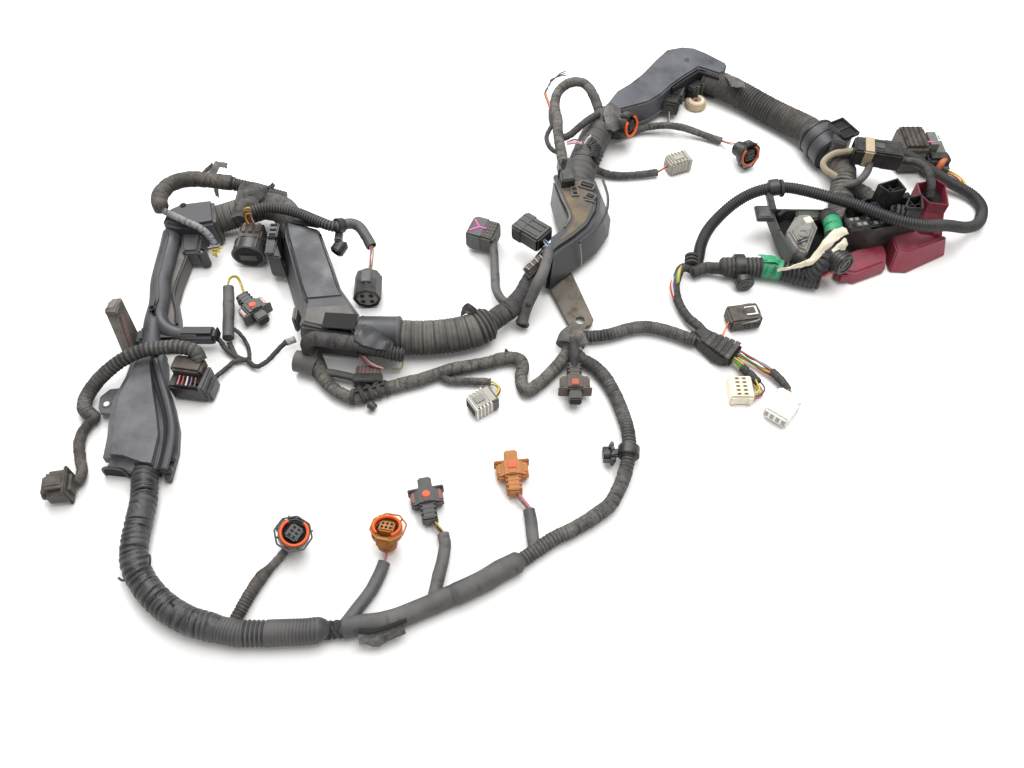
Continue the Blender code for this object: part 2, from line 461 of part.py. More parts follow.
INNER_LEAD = [
    (UPPER_CABLE_D, [(0.3458, 0.1194, 0.0420), (0.3570, 0.1150, 0.0440), (0.3640, 0.1020, 0.0520),
                     (0.3665, 0.0860, 0.0560), (0.3675, 0.0720, 0.0520), (0.3680, 0.0640, 0.0430)]),
]
WHITE_PLUG_WIRES = [
    (RIGHT_TWIG_D, [(0.146, -0.096, 0.0100), (0.154, -0.106, 0.0080), (0.163, -0.117, 0.0070),
                    (0.170, -0.126, 0.0070), (0.1745, -0.1335, 0.0070)]),
    (UPPER_CABLE_D, [(0.1755, -0.1360, 0.0070), (0.1765, -0.1420, 0.0070), (0.1720, -0.1465, 0.0070),
                     (0.1650, -0.1465, 0.0070)]),
]
CLEAR_PLUG_WIRES = [
    (RIGHT_TWIG_D, [(0.146, -0.094, 0.0105), (0.160, -0.1010, 0.0080), (0.169, -0.107, 0.0070),
                    (0.180, -0.114, 0.0070), (0.189, -0.121, 0.0070), (0.1955, -0.130, 0.0070),
                    (0.2000, -0.141, 0.0070), (0.2000, -0.153, 0.0080)]),
]
BAIL_PLUG_WIRES = [
    (WIRES_D, [(0.146, -0.092, 0.0110), (0.1500, -0.0810, 0.0100), (0.1545, -0.0720, 0.0090),
               (0.1620, -0.0620, 0.0085)]),
]


def material(name, colour, roughness, metallic=0.0):
    """A Principled material; the colour is linear."""
    made = bpy.data.materials.get(name) or bpy.data.materials.new(name)
    made.use_nodes = True
    shader = made.node_tree.nodes["Principled BSDF"]
    shader.inputs["Base Color"].default_value = (*colour, 1.0)
    shader.inputs["Roughness"].default_value = roughness
    shader.inputs["Metallic"].default_value = metallic
    made.diffuse_color = (*colour, 1.0)
    return made


def new_collection(name):
    made = bpy.data.collections.new(name)
    bpy.context.scene.collection.children.link(made)
    return made


def object_from(mesh, name):
    """An object holding a mesh, in the working collection."""
    made = bpy.data.objects.new(name, mesh)
    WORKSHOP.objects.link(made)
    return made


def object_from_bmesh(form, name):
    mesh = bpy.data.meshes.new(name)
    bmesh.ops.recalc_face_normals(form, faces=form.faces)
    form.to_mesh(mesh)
    form.free()
    return object_from(mesh, name)


def evaluated_mesh(thing):
    """The thing's mesh as its modifiers leave it."""
    depsgraph = bpy.context.evaluated_depsgraph_get()
    return bpy.data.meshes.new_from_object(thing.evaluated_get(depsgraph), depsgraph=depsgraph)


def turned(yaw=0.0, pitch=0.0, roll=0.0):
    """Degrees: roll about X, pitch lifts +X, yaw swings it round Z."""
    return (Matrix.Rotation(math.radians(yaw), 4, "Z")
            @ Matrix.Rotation(math.radians(-pitch), 4, "Y")
            @ Matrix.Rotation(math.radians(roll), 4, "X"))


def block(name, centre, size, place=Matrix(), round_off=0.0):
    """A box, its edges broken by round_off."""
    form = bmesh.new()
    bmesh.ops.create_cube(form, size=1.0)
    bmesh.ops.scale(form, vec=size, verts=form.verts)
    if round_off:
        bmesh.ops.bevel(form, geom=form.edges[:], offset=round_off, segments=1, affect="EDGES")
    bmesh.ops.translate(form, vec=centre, verts=form.verts)
    bmesh.ops.transform(form, matrix=place, verts=form.verts)
    return object_from_bmesh(form, name)


def barrel(name, start, end, diameter, place=Matrix(), sides=14):
    """A round bar from start to end."""
    start = Vector(start)
    axis = Vector(end) - start
    form = bmesh.new()
    bmesh.ops.create_cone(form, cap_ends=True, segments=sides, radius1=diameter / 2,
                          radius2=diameter / 2, depth=axis.length)
    bmesh.ops.rotate(form, matrix=axis.to_track_quat("Z", "Y").to_matrix(), verts=form.verts)
    bmesh.ops.translate(form, vec=start + axis / 2, verts=form.verts)
    bmesh.ops.transform(form, matrix=place, verts=form.verts)
    return object_from_bmesh(form, name)


def outset(outline, distance):
    """The outline moved outwards by distance, corner by corner."""
    count = len(outline)
    area = sum(outline[i - 1][0] * outline[i][1] - outline[i][0] * outline[i - 1][1] for i in range(count))
    side = -1.0 if area > 0 else 1.0
    moved = []
    for index in range(count):
        here = Vector(outline[index])
        before = (here - Vector(outline[index - 1])).normalized()
        after = (Vector(outline[(index + 1) % count]) - here).normalized()
        normal_before = Vector((-before.y, before.x)) * side
        normal_after = Vector((-after.y, after.x)) * side
        bisector = (normal_before + normal_after).normalized()
        moved.append(here + bisector * distance / max(bisector.dot(normal_before), 0.4))
    return moved


def prism(name, foot, head, low, high, grow=0.0):
    """A solid between a foot outline at height low and a head outline at height high."""
    if grow:
        foot = outset(foot, grow)
        head = outset(head, grow)
        low -= grow
        high += grow
    form = bmesh.new()
    lower = [form.verts.new((x, y, low)) for x, y in foot]
    upper = [form.verts.new((x, y, high)) for x, y in head]
    form.faces.new(lower)
    form.faces.new(upper)
    for index in range(len(lower)):
        following = (index + 1) % len(lower)
        form.faces.new((lower[index], lower[following], upper[following], upper[index]))
    return object_from_bmesh(form, name)


def smooth_route(sections):
    """Places and diameters along a smooth curve through all the sections' places."""
    places = [Vector(point) for diameter, points in sections for point in points]
    diameters = [diameter for diameter, points in sections for point in points]
    count = len(places)
    headings = []
    for index in range(count):
        before = places[max(index - 1, 0)]
        after = places[min(index + 1, count - 1)]
        headings.append((after - before).normalized())
    route = []
    for index in range(count - 1):
        start, end = places[index], places[index + 1]
        run = (end - start).length
        spacing = min(max(1.1 * diameters[index], 0.007), 0.016)
        steps = max(1, round(run / spacing))
        for step in range(steps):
            s = step / steps
            leaving = run * headings[index]
            arriving = run * headings[index + 1]
            place = ((2 * s ** 3 - 3 * s ** 2 + 1) * start + (s ** 3 - 2 * s ** 2 + s) * leaving
                     + (3 * s ** 2 - 2 * s ** 3) * end + (s ** 3 - s ** 2) * arriving)
            width = diameters[index] + (diameters[index + 1] - diameters[index]) * s
            route.append((place, width))
    route.append((places[-1], diameters[-1]))
    return route


def tube(name, sections, grow=0.0):
    """A closed tube along a route; grow makes it wider and longer all round, for a socket."""
    route = smooth_route(sections)
    widest = max(width for place, width in route)
    if grow:
        first, second = route[0][0], route[1][0]
        last, previous = route[-1][0], route[-2][0]
        route[0] = (first + (first - second).normalized() * grow, route[0][1])
        route[-1] = (last + (last - previous).normalized() * grow, route[-1][1])
    curve = bpy.data.curves.new(name, "CURVE")
    curve.dimensions = "3D"
    curve.bevel_depth = widest / 2 + grow
    curve.bevel_resolution = 2 if widest < 0.0135 else 3 if widest < 0.025 else 4
    curve.use_fill_caps = True
    spline = curve.splines.new("POLY")
    spline.points.add(len(route) - 1)
    for point, (place, width) in zip(spline.points, route):
        point.co = (*place, 1.0)
        point.radius = (width + 2 * grow) / (widest + 2 * grow)
    guide = bpy.data.objects.new(name + "_guide", curve)
    WORKSHOP.objects.link(guide)
    mesh = evaluated_mesh(guide)
    bpy.data.objects.remove(guide)
    form = bmesh.new()
    form.from_mesh(mesh)
    bmesh.ops.remove_doubles(form, verts=form.verts, dist=0.000001)
    return object_from_bmesh(form, name)


def join(name, pieces):
    """One solid from pieces that overlap."""
    whole = pieces[0]
    whole.name = name
    for piece in pieces[1:]:
        merge = whole.modifiers.new("join", "BOOLEAN")
        merge.operation = "UNION"
        merge.object = piece
    whole.data = evaluated_mesh(whole)
    whole.modifiers.clear()
    for piece in pieces[1:]:
        bpy.data.objects.remove(piece)
    return whole


def cut(piece, cutter):
    """Takes the cutter's shape out of the piece and keeps the cutter as a guide."""
    cutter.name = piece.name + "_" + cutter.name
    for holder in list(cutter.users_collection):
        holder.objects.unlink(cutter)
    CUTTERS.objects.link(cutter)
    cutter.hide_render = True
    cutter.display_type = "WIRE"
    carve = piece.modifiers.new(cutter.name, "BOOLEAN")
    carve.operation = "DIFFERENCE"
    carve.object = cutter


def socket(piece, *routes):
    """Makes room in the piece for the leads that run into it or lie on it."""
    for index, sections in enumerate(routes):
        cut(piece, tube(f"socket_{index}", sections, grow=GAP))


def finished(piece, finish):
    """Moves a piece to the harness's own collection and gives it its material."""
    for holder in list(piece.users_collection):
        holder.objects.unlink(piece)
    HARNESS.objects.link(piece)
    piece.data.materials.clear()
    piece.data.materials.append(finish)
    piece.data.shade_smooth()
    piece.data.set_sharp_from_angle(angle=math.radians(35))
    return piece


def loom(name, *routes, also=()):
    """A bundle whose branches are one solid."""
    return finished(join(name, [tube(name, sections) for sections in routes] + list(also)), CLOTH)


def ring_plug(name, rear, yaw, pitch, finish, leads):
    """A round plug with a neck, a wide seal barrel and a wire bail round its face."""
    place = Matrix.Translation(rear) @ turned(yaw, pitch)
    neck_end = RING_PLUG_LENGTH * 0.6
    pieces = [
        barrel("neck", (0, 0, 0), (neck_end, 0, 0), RING_NECK_D, place, 12),
        barrel("barrel", (neck_end - 0.001, 0, 0), (RING_PLUG_LENGTH, 0, 0), RING_PLUG_D, place, 16),
        block("latch", (RING_PLUG_LENGTH - 0.005, 0, RING_PLUG_D / 2), (0.008, 0.010, 0.005), place),
    ]
    plug = finished(join(name, pieces), finish)
    socket(plug, *leads)
    return plug


def cross_plug(name, rear, yaw, finish, leads):
    """A flat plug with a neck, wings across its middle and a nose."""
    place = Matrix.Translation(rear) @ turned(yaw)
    length, width, height = CROSS_PLUG_LENGTH, CROSS_PLUG_WIDTH, CROSS_PLUG_HEIGHT
    pieces = [
        block("body", (length * 0.55, 0, 0), (length * 0.38, width, height), place, 0.0012),
        block("neck", (length * 0.2, 0, 0), (length * 0.4, width * 0.45, height * 0.8), place, 0.0010),
        block("nose", (length * 0.86, 0, 0), (length * 0.28, width * 0.38, height * 0.7), place, 0.0008),
        block("flange", (length * 0.73, 0, 0), (0.0022, width * 1.12, height * 0.85), place),
    ]
    plug = finished(join(name, pieces), finish)
    socket(plug, *leads)
    return plug


def block_plug(name, rear, yaw, size, finish, leads, pitch=0.0, nose=None):
    """A plain housing: a rounded block from its rear end, with an optional wider nose."""
    place = Matrix.Translation(rear) @ turned(yaw, pitch)
    length, width, height = size
    pieces = [block("body", (length / 2, 0, 0), size, place, min(width, height) * 0.12)]
    if nose:
        depth, across, tall = nose
        pieces.append(block("nose", (length - depth / 2, 0, 0), nose, place, min(across, tall) * 0.14))
    plug = finished(join(name, pieces), finish)
    socket(plug, *leads)
    return plug


def build_left_ducts():
    low, high = FLOOR_Z, LEFT_DUCT_TOP
    duct = join("left_duct", [
        prism("duct", LEFT_DUCT_FOOT, LEFT_DUCT_ROOF, low, high),
        prism("tab", LEFT_DUCT_TAB, LEFT_DUCT_TAB, 0.0080, 0.0115),
    ])
    finished(duct, MOULDED)
    mouth_y = LEFT_DUCT_FOOT[0][1]
    mouth = block("mouth", (MOUTH_CENTRE[0], mouth_y + MOUTH_DEPTH / 2 - 0.001, MOUTH_CENTRE[1]),
                  (MOUTH_SIZE[0], MOUTH_DEPTH + 0.002, MOUTH_SIZE[1]), round_off=MOUTH_ROUND)
    cut(duct, mouth)
    cut(duct, barrel("tab_hole", (-0.389, -0.157, 0.006), (-0.389, -0.157, 0.014), 0.004, sides=8))
    socket(duct, FRONT_MAIN, CROSSING)

    riser = join("riser_duct", [
        prism("strip", RISER_STRIP, RISER_STRIP, FLOOR_Z, RISER_TOP),
        prism("step", RISER_STEP, RISER_STEP, FLOOR_Z, 0.0220),
        prism("corner", CORNER_BOX, CORNER_BOX, 0.0020, CORNER_BOX_TOP),
        prism("block", RISER_BLOCK, RISER_BLOCK, 0.0030, RISER_TOP - 0.001),
        barrel("boss", (-0.348, 0.012, 0.0060), (-0.348, 0.012, 0.0260), 0.0090, sides=12),
        prism("base", RISER_BASE, RISER_BASE, FLOOR_Z + 0.001, 0.0280),
        prism("stub", RISER_STUB, RISER_STUB, 0.0080, 0.0240),
    ])
    finished(riser, MOULDED)
    cut(riser, barrel("hole", (-0.371, -0.066, 0.0240), (-0.371, -0.066, 0.0340), 0.0048, sides=10))
    socket(riser, CORNER_TRUNK, CORNER_LOOP, STUB_TWIG)

    tab = finished(prism("tab_bracket", TAB_FOOT, TAB_HEAD, 0.0030, 0.0540), MOULDED)
    socket(tab, CROSSING)


def build_middle_duct():
    duct = prism("middle_duct", MIDDLE_DUCT_FOOT, MIDDLE_DUCT_ROOF, FLOOR_Z, MIDDLE_DUCT_TOP)
    finished(duct, MOULDED)
    window_z = MIDDLE_DUCT_TOP - WINDOW_DEPTH / 2 + 0.0005
    cut(duct, block("window", (*WINDOW_CENTRE, window_z), (*WINDOW_SIZE, WINDOW_DEPTH + 0.001)))
    socket(duct, CORNER_TRUNK, CONDUIT_OVER_DUCT, RIBBED_STUB, MID_LOOM, TAPED_TWIG)

    x, y, z = COVER_START
    cover = barrel("middle_duct_cover", (x, y, z), (x + COVER_LENGTH, y, z), COVER_D, sides=18)
    finished(cover, MOULDED)
    socket(cover, MID_TRUNK, RIBBED_STUB)

    relay = finished(prism("relay_block", RELAY_BLOCK, RELAY_BLOCK, 0.0080, 0.0395), PLUG_BLACK)
    cut(relay, prism("duct_side", MIDDLE_DUCT_FOOT, MIDDLE_DUCT_ROOF, FLOOR_Z, MIDDLE_DUCT_TOP, GAP))
    socket(relay, CORNER_TRUNK)


def build_right_duct():
    duct = join("right_duct", [
        prism("duct", RIGHT_DUCT_FOOT_OUTLINE, RIGHT_DUCT_ROOF_OUTLINE, RIGHT_DUCT_FOOT, RIGHT_DUCT_TOP),
        prism("block", RIGHT_DUCT_BLOCK, RIGHT_DUCT_BLOCK, 0.0420, 0.0520),
    ])
    finished(duct, MOULDED)
    socket(duct, MID_TRUNK, BLUE_PLUG_SLEEVE, FAN, UPPER_LOOP)

    bracket = finished(prism("steel_bracket", BRACKET_OUTLINE, BRACKET_OUTLINE, BRACKET_FOOT,
                             BRACKET_FOOT + BRACKET_THICKNESS), STEEL)
    cut(bracket, barrel("hole", (*BRACKET_HOLE, 0.0), (*BRACKET_HOLE, 0.010), BRACKET_HOLE_D, sides=24))


def build_upper_duct():
    x, y = BUSHING_CENTRE
    duct = join("upper_duct", [
        prism("duct", UPPER_DUCT, UPPER_DUCT, UPPER_DUCT_FOOT, UPPER_DUCT_TOP),
        prism("lug", UPPER_DUCT_LUG, UPPER_DUCT_LUG, 0.0015, 0.0080),
        barrel("ring", (x, y, FLOOR_Z), (x, y, BUSHING_HEIGHT - 0.001), BUSHING_RING_D, sides=20),
    ])
    finished(duct, MOULDED)
    cut(duct, barrel("bushing_seat", (x, y, -0.001), (x, y, 0.012), BUSHING_D + 2 * GAP, sides=20))
    socket(duct, FAN, RIGHT_TRUNK, UPPER_CABLE, UPPER_RING_LEAD)

    bushing = barrel("eyelet_bushing", (x, y, FLOOR_Z), (x, y, BUSHING_HEIGHT), BUSHING_D, sides=20)
    finished(bushing, BRASS)
    cut(bushing, barrel("hole", (x, y, -0.001), (x, y, 0.012), BUSHING_HOLE_D, sides=12))


def build_clamp():
    clamp = join("trunk_clamp", [
        barrel("sleeve", CLAMP_START, CLAMP_END, CLAMP_D, sides=20),
        prism("holder", CLAMP_HOLDER, CLAMP_HOLDER, 0.0300, 0.0500),
    ])
    finished(clamp, MOULDED)
    socket(clamp, RIGHT_TRUNK, RIGHT_BUNDLE, CREAM_TUBE)


def build_fuse_box():
    box = join("fuse_box", [
        prism("body", FUSE_BOX, FUSE_BOX, FLOOR_Z, FUSE_BOX_TOP),
        prism("relay_one", RELAY_ONE, RELAY_ONE, FUSE_BOX_TOP - 0.001, 0.0620),
        prism("relay_two", RELAY_TWO, RELAY_TWO, FUSE_BOX_TOP - 0.001, 0.0540),
    ])
    finished(box, PLUG_BLACK)
    socket(box, RIGHT_LOOP, FUSE_FEED, RIGHT_BUNDLE)

    right = finished(prism("red_shell_right", RED_RIGHT_FOOT, RED_RIGHT_HEAD, FLOOR_Z, 0.0500), RED)
    pocket_foot = outset(RED_RIGHT_HEAD, -0.0030)
    cut(right, prism("pocket", pocket_foot, pocket_foot, 0.0300, 0.0520))
    socket(right, INNER_LEAD)
    front = finished(prism("red_shell_front", RED_FRONT_FOOT, RED_FRONT_HEAD, FLOOR_Z, 0.0240), RED)
    socket(front, RIGHT_LOOP)
    left = finished(prism("red_shell_left", RED_LEFT_FOOT, RED_LEFT_HEAD, FLOOR_Z, 0.0150), RED)
    for shell in (right, front, left):
        cut(shell, prism("box_side", FUSE_BOX, FUSE_BOX, -0.0010, FUSE_BOX_TOP, GAP))
    cut(right, prism("front_side", RED_FRONT_FOOT, RED_FRONT_HEAD, FLOOR_Z, 0.0240, GAP))

    bowl = finished(prism("connector_bowl", BOWL_FOOT, BOWL_HEAD, FLOOR_Z, 0.0300), MOULDED)
    cut(bowl, prism("plug_seat", GREY_PLUG, GREY_PLUG, 0.0090, 0.0400, GAP))
    socket(bowl, GREEN_BUNDLE, RIGHT_FLEX, RIGHT_LOOP)
    plug = finished(prism("plug_grey_round", GREY_PLUG, GREY_PLUG, 0.0090, 0.0400), PLUG_GREY)
    socket(plug, GREEN_BUNDLE, RIGHT_FLEX)

    ribbed_place = Matrix.Translation((0.2655, -0.012, 0.0335)) @ turned(-60, 10)
    ribbed = join("plug_round_ribbed", [
        barrel("barrel", (-0.010, 0, 0), (0.008, 0, 0), 0.0220, ribbed_place, 16),
        barrel("collar", (-0.014, 0, 0), (-0.009, 0, 0), 0.0170, ribbed_place, 12),
    ])
    finished(ribbed, PLUG_BLACK)
    socket(ribbed, GREEN_BUNDLE, RIGHT_FLEX)


def build_shroud():
    shroud = finished(prism("flat_shroud", SHROUD, SHROUD, 0.0010, SHROUD_TOP), MOULDED)
    socket(shroud, MID_LOOM, SHROUD_TWIG, WHITE_PLUG_WIRES, CLEAR_PLUG_WIRES, BAIL_PLUG_WIRES)


def clip_on(name, sections, at, heading, ring_d, ring_length, arms, finish):
    """A clip: a ring round a loom at a place, with arms and a head."""
    at = Vector(at)
    heading = Vector(heading).normalized()
    ring = barrel("ring", at - heading * ring_length / 2, at + heading * ring_length / 2, ring_d, sides=16)
    clip = finished(join(name, [ring, *arms]), finish)
    socket(clip, sections)


def build_clips():
    clip_on("ring_clip", FRONT_MAIN, (0.0533, -0.206, 0.0104), (0.13, 0.99, 0.0), 0.0188, 0.010, [
        block("arm", (0.042, -0.206, 0.009), (0.010, 0.008, 0.007)),
        barrel("head", (0.0335, -0.2165, 0.010), (0.0355, -0.1995, 0.010), 0.0130, sides=12),
    ], PLUG_BLACK)
    clip_on("disc_clip", RIGHT_FLEX, (0.1760, 0.0000, 0.0125), (1.0, 0.0, 0.0), 0.0246, 0.010, [
        block("arm", (0.1770, -0.0125, 0.0110), (0.008, 0.008, 0.008)),
        barrel("head", (0.1790, -0.0150, 0.0100), (0.1800, -0.0225, 0.0100), 0.0180, sides=14),
    ], PLUG_BLACK)
    clip_on("lobed_clip", CONDUIT_OVER_DUCT, (-0.2115, 0.0262, 0.0415), (0.72, 0.55, -0.42), 0.0150, 0.008, [
        block("arm", (-0.2120, 0.0170, 0.0350), (0.007, 0.014, 0.008)),
        barrel("head", (-0.2085, 0.0135, 0.0310), (-0.2145, 0.0035, 0.0280), 0.0140, sides=12),
    ], PLUG_BLACK)
    clip_on("flag_clip", RIGHT_LOOP, (0.2170, 0.0800, 0.0402), (1.0, 0.02, 0.18), 0.0170, 0.010, [
        block("arm", (0.2120, 0.0640, 0.0370), (0.007, 0.030, 0.006)),
        block("flag", (0.2030, 0.0480, 0.0360), (0.017, 0.020, 0.005)),
    ], PLUG_BLACK)


def build_left_plugs():
    block_plug("plug_left_end", (-0.4045, -0.2370, 0.0115), 190, (0.024, 0.026, 0.022), PLUG_BLACK,
               [CROSSING])
    place = Matrix.Translation((-0.3285, -0.1360, 0.0)) @ turned(-9)
    body = join("plug_left_duct", [
        block("body", (0, 0, 0.0115), (0.034, 0.027, 0.021), place, 0.002),
        block("boot", (-0.002, 0.008, 0.0262), (0.028, 0.018, 0.0155), place, 0.002),
        block("latch", (0.0175, -0.002, 0.0080), (0.008, 0.020, 0.013), place),
    ])
    finished(body, PLUG_BLACK)
    socket(body, CROSSING, FLAT_PLUG_LEAD)
    cut(body, prism("duct_side", LEFT_DUCT_FOOT, LEFT_DUCT_ROOF, FLOOR_Z, LEFT_DUCT_TOP, GAP))
    cross_plug("plug_stub_cross", (-0.3030, -0.0360, 0.0100), -48, PLUG_BLACK, [SLEEVE_WIRES])
    block_plug("plug_oval", (-0.3010, 0.0430, 0.0160), -93, (0.034, 0.024, 0.026), PLUG_BLACK,
               [OVAL_PLUG_WIRES], nose=(0.012, 0.034, 0.0295))


def build_middle_plugs():
    place = Matrix.Translation((-0.1832, -0.0130, 0.0135)) @ turned(-88)
    four = join("plug_four_pin", [barrel("hexagon", (0, 0, 0), (0.030, 0, 0), 0.0300, place, 8)])
    finished(four, PLUG_GREY)
    cut(four, block("underside", (0.015, 0, -0.0184), (0.040, 0.040, 0.012), place))
    socket(four, CONDUIT_OVER_DUCT)
    twin = join("plug_flat_twin", [
        block("black", (-0.1730, -0.1325, 0.0080), (0.026, 0.009, 0.014), round_off=0.001),
        block("brown", (-0.1740, -0.1240, 0.0080), (0.022, 0.010, 0.012), round_off=0.001),
    ])
    finished(twin, PLUG_BLACK)
    socket(twin, FLAT_TWIN_LEAD, MID_LOOM, RIBBED_STUB)
    block_plug("plug_grey_square", (-0.0610, -0.1490, 0.0095), -147, (0.024, 0.020, 0.016), PLUG_GREY,
               [GREY_SQUARE_LEAD])
    block_plug("plug_pink_mark", (-0.0600, 0.0350, 0.0150), 160, (0.029, 0.028, 0.021), PLUG_BLACK,
               [PINK_PLUG_LEAD])
    block_plug("plug_blue_wires", (-0.0130, 0.0120, 0.0360), 140, (0.034, 0.026, 0.018), PLUG_BLACK,
               [BLUE_PLUG_SLEEVE])
    cross_plug("plug_junction_cross", (0.0104, -0.1180, 0.0130), -90, PLUG_BLACK, [JUNCTION_PLUG_LEAD])


def build_front_plugs():
    ring_plug("plug_front_ring_black", (-0.2200, -0.2830, 0.0045), -28, 72, PLUG_BLACK, [RING_PLUG_LEAD])
    ring_plug("plug_front_ring_brown", (-0.1437, -0.2890, 0.0055), 80, 70, PLUG_BROWN, [BROWN_RING_LEAD])
    cross_plug("plug_front_cross_black", (-0.1102, -0.2705, 0.0085), 101, PLUG_BLACK, [BLACK_CROSS_LEAD])
    cross_plug("plug_front_cross_brown", (-0.0425, -0.2453, 0.0085), 96, PLUG_BROWN, [BROWN_CROSS_LEAD])


def build_upper_plugs():
    ring_plug("plug_upper_ring", (0.0660, 0.1960, 0.0240), -8, 10, PLUG_BLACK,
              [UPPER_RING_LEAD, FAN, UPPER_TWIG])
    block_plug("plug_upper_oval", (0.1320, 0.2310, 0.0110), 71, (0.036, 0.018, 0.018), PLUG_BLACK,
               [UPPER_OVAL_LEAD], nose=(0.020, 0.022, 0.020))
    ring_plug("plug_upper_ring_small", (0.1990, 0.1700, 0.0140), -68, 6, PLUG_BLACK, [UPPER_TWIG])
    block_plug("plug_upper_grey", (0.1217, 0.1467, 0.0090), 22, (0.026, 0.019, 0.016), PLUG_GREY,
               [GREY_PLUG_LEAD])
    upper_oval = bpy.data.objects["plug_upper_oval"]
    cut(upper_oval, prism("duct_wall", UPPER_DUCT, UPPER_DUCT, UPPER_DUCT_FOOT, UPPER_DUCT_TOP, GAP))


def build_right_plugs():
    block_plug("plug_bail_brown", (0.1567, -0.0625, 0.0090), 9, (0.031, 0.022, 0.016), PLUG_BLACK,
               [BAIL_PLUG_WIRES])
    white = block("plug_white_ten_way", (0.1575, -0.1410, 0.0070), (0.021, 0.024, 0.013))
    finished(white, PLUG_WHITE)
    socket(white, WHITE_PLUG_WIRES)
    block_plug("plug_clear", (0.2010, -0.1480, 0.0080), -128, (0.030, 0.024, 0.014), PLUG_WHITE,
               [CLEAR_PLUG_WIRES])
    block_plug("joined_plug", (0.3068, 0.1337, 0.0420), -12.5, (0.049, 0.025, 0.021), PLUG_BLACK,
               [JOINED_PLUG_CROSS, CREAM_TUBE, RIGHT_LOOP, INNER_LEAD, RIGHT_BUNDLE])
    booted = join("plug_booted", [
        block("dark", (0.3830, 0.1600, 0.0180), (0.028, 0.034, 0.034), round_off=0.003),
        block("grey", (0.4010, 0.1560, 0.0160), (0.022, 0.032, 0.030), round_off=0.005),
        barrel("boot", (0.4060, 0.1420, 0.0140), (0.4180, 0.1330, 0.0140), 0.0150),
    ])
    finished(booted, PLUG_GREY)
    socket(booted, RIGHT_LOOP, BOOT_LEAD)


def build_looms():
    wing = prism("wing", WING, WING, 0.0040, 0.0180)
    loom("front_loom", FRONT_MAIN, RING_PLUG_LEAD, BROWN_RING_LEAD, BLACK_CROSS_LEAD, BROWN_CROSS_LEAD)
    loom("crossing_lead", CROSSING)
    loom("thin_leads", FLAT_PLUG_LEAD, STUB_TWIG, OPEN_SLEEVE, SLEEVE_WIRES, THIN_LOOP, TAPED_TWIG)
    loom("corner_loop", CORNER_TRUNK, CORNER_LOOP)
    loom("upper_mid_lead", CONDUIT_OVER_DUCT, OVAL_PLUG_WIRES)
    loom("mid_trunk", MID_TRUNK, PINK_PLUG_LEAD, BLUE_PLUG_SLEEVE)
    loom("mid_loom", MID_LOOM, RIBBED_STUB, GREY_SQUARE_LEAD, FLAT_TWIN_LEAD, JUNCTION_PLUG_LEAD,
         also=[wing])
    loom("upper_loom", FAN, UPPER_LOOP, SPLIT_STRAND, UPPER_CABLE, GREY_PLUG_LEAD, UPPER_RING_LEAD,
         UPPER_TWIG, UPPER_OVAL_LEAD)
    loom("right_trunk", RIGHT_TRUNK)
    loom("right_bundle", RIGHT_BUNDLE, JOINED_PLUG_CROSS, CREAM_TUBE, FUSE_FEED)
    loom("right_loom", RIGHT_LOOP, RIGHT_FLEX, SHROUD_TWIG, GREEN_BUNDLE, BOOT_LEAD)
    loom("inner_lead", INNER_LEAD)
    loom("fanned_wires", WHITE_PLUG_WIRES, CLEAR_PLUG_WIRES, BAIL_PLUG_WIRES)


def place_on_origin():
    """Parents every piece to one empty that carries the outline's middle to the origin."""
    layout = bpy.data.objects.new("harness_layout", None)
    bpy.context.scene.collection.objects.link(layout)
    layout.location = (-OUTLINE_CENTRE[0], -OUTLINE_CENTRE[1], 0.0)
    for holder in (HARNESS, CUTTERS):
        for piece in holder.objects:
            piece.parent = layout


for old in list(bpy.data.objects):
    bpy.data.objects.remove(old)

HARNESS = new_collection("wiring_harness")
CUTTERS = new_collection("cutters")
WORKSHOP = new_collection("workshop")

CLOTH = material("loom_tape", (0.060, 0.055, 0.052), 0.90)
MOULDED = material("moulded_nylon", (0.045, 0.047, 0.050), 0.55)
PLUG_BLACK = material("plug_black", (0.020, 0.021, 0.023), 0.50)
PLUG_GREY = material("plug_grey", (0.160, 0.155, 0.150), 0.60)
PLUG_BROWN = material("plug_brown", (0.350, 0.140, 0.040), 0.55)
PLUG_WHITE = material("plug_white", (0.750, 0.730, 0.660), 0.50)
RED = material("red_nylon", (0.360, 0.030, 0.045), 0.45)
STEEL = material("steel_plate", (0.180, 0.165, 0.150), 0.50, 1.0)
BRASS = material("brass_bushing", (0.450, 0.360, 0.200), 0.50, 1.0)

build_left_ducts()
build_middle_duct()
build_right_duct()
build_upper_duct()
build_clamp()
build_fuse_box()
build_shroud()
build_clips()
build_left_plugs()
build_middle_plugs()
build_front_plugs()
build_upper_plugs()
build_right_plugs()
build_looms()
place_on_origin()
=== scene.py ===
"""The looks of the vehicle engine wiring harness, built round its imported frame.

Every place is given as in the part's source, from the layout origin inside the harness, and LAYOUT
carries it into the frame. Looms are swept tubes whose skin is a real relief: ribs of corrugated
conduit, laps of harness tape, or smooth sleeve. Ducts and plugs are built from edged solids.
"""
import math
import random

import bmesh
import bpy
import numpy as np
from mathutils import Matrix, Vector


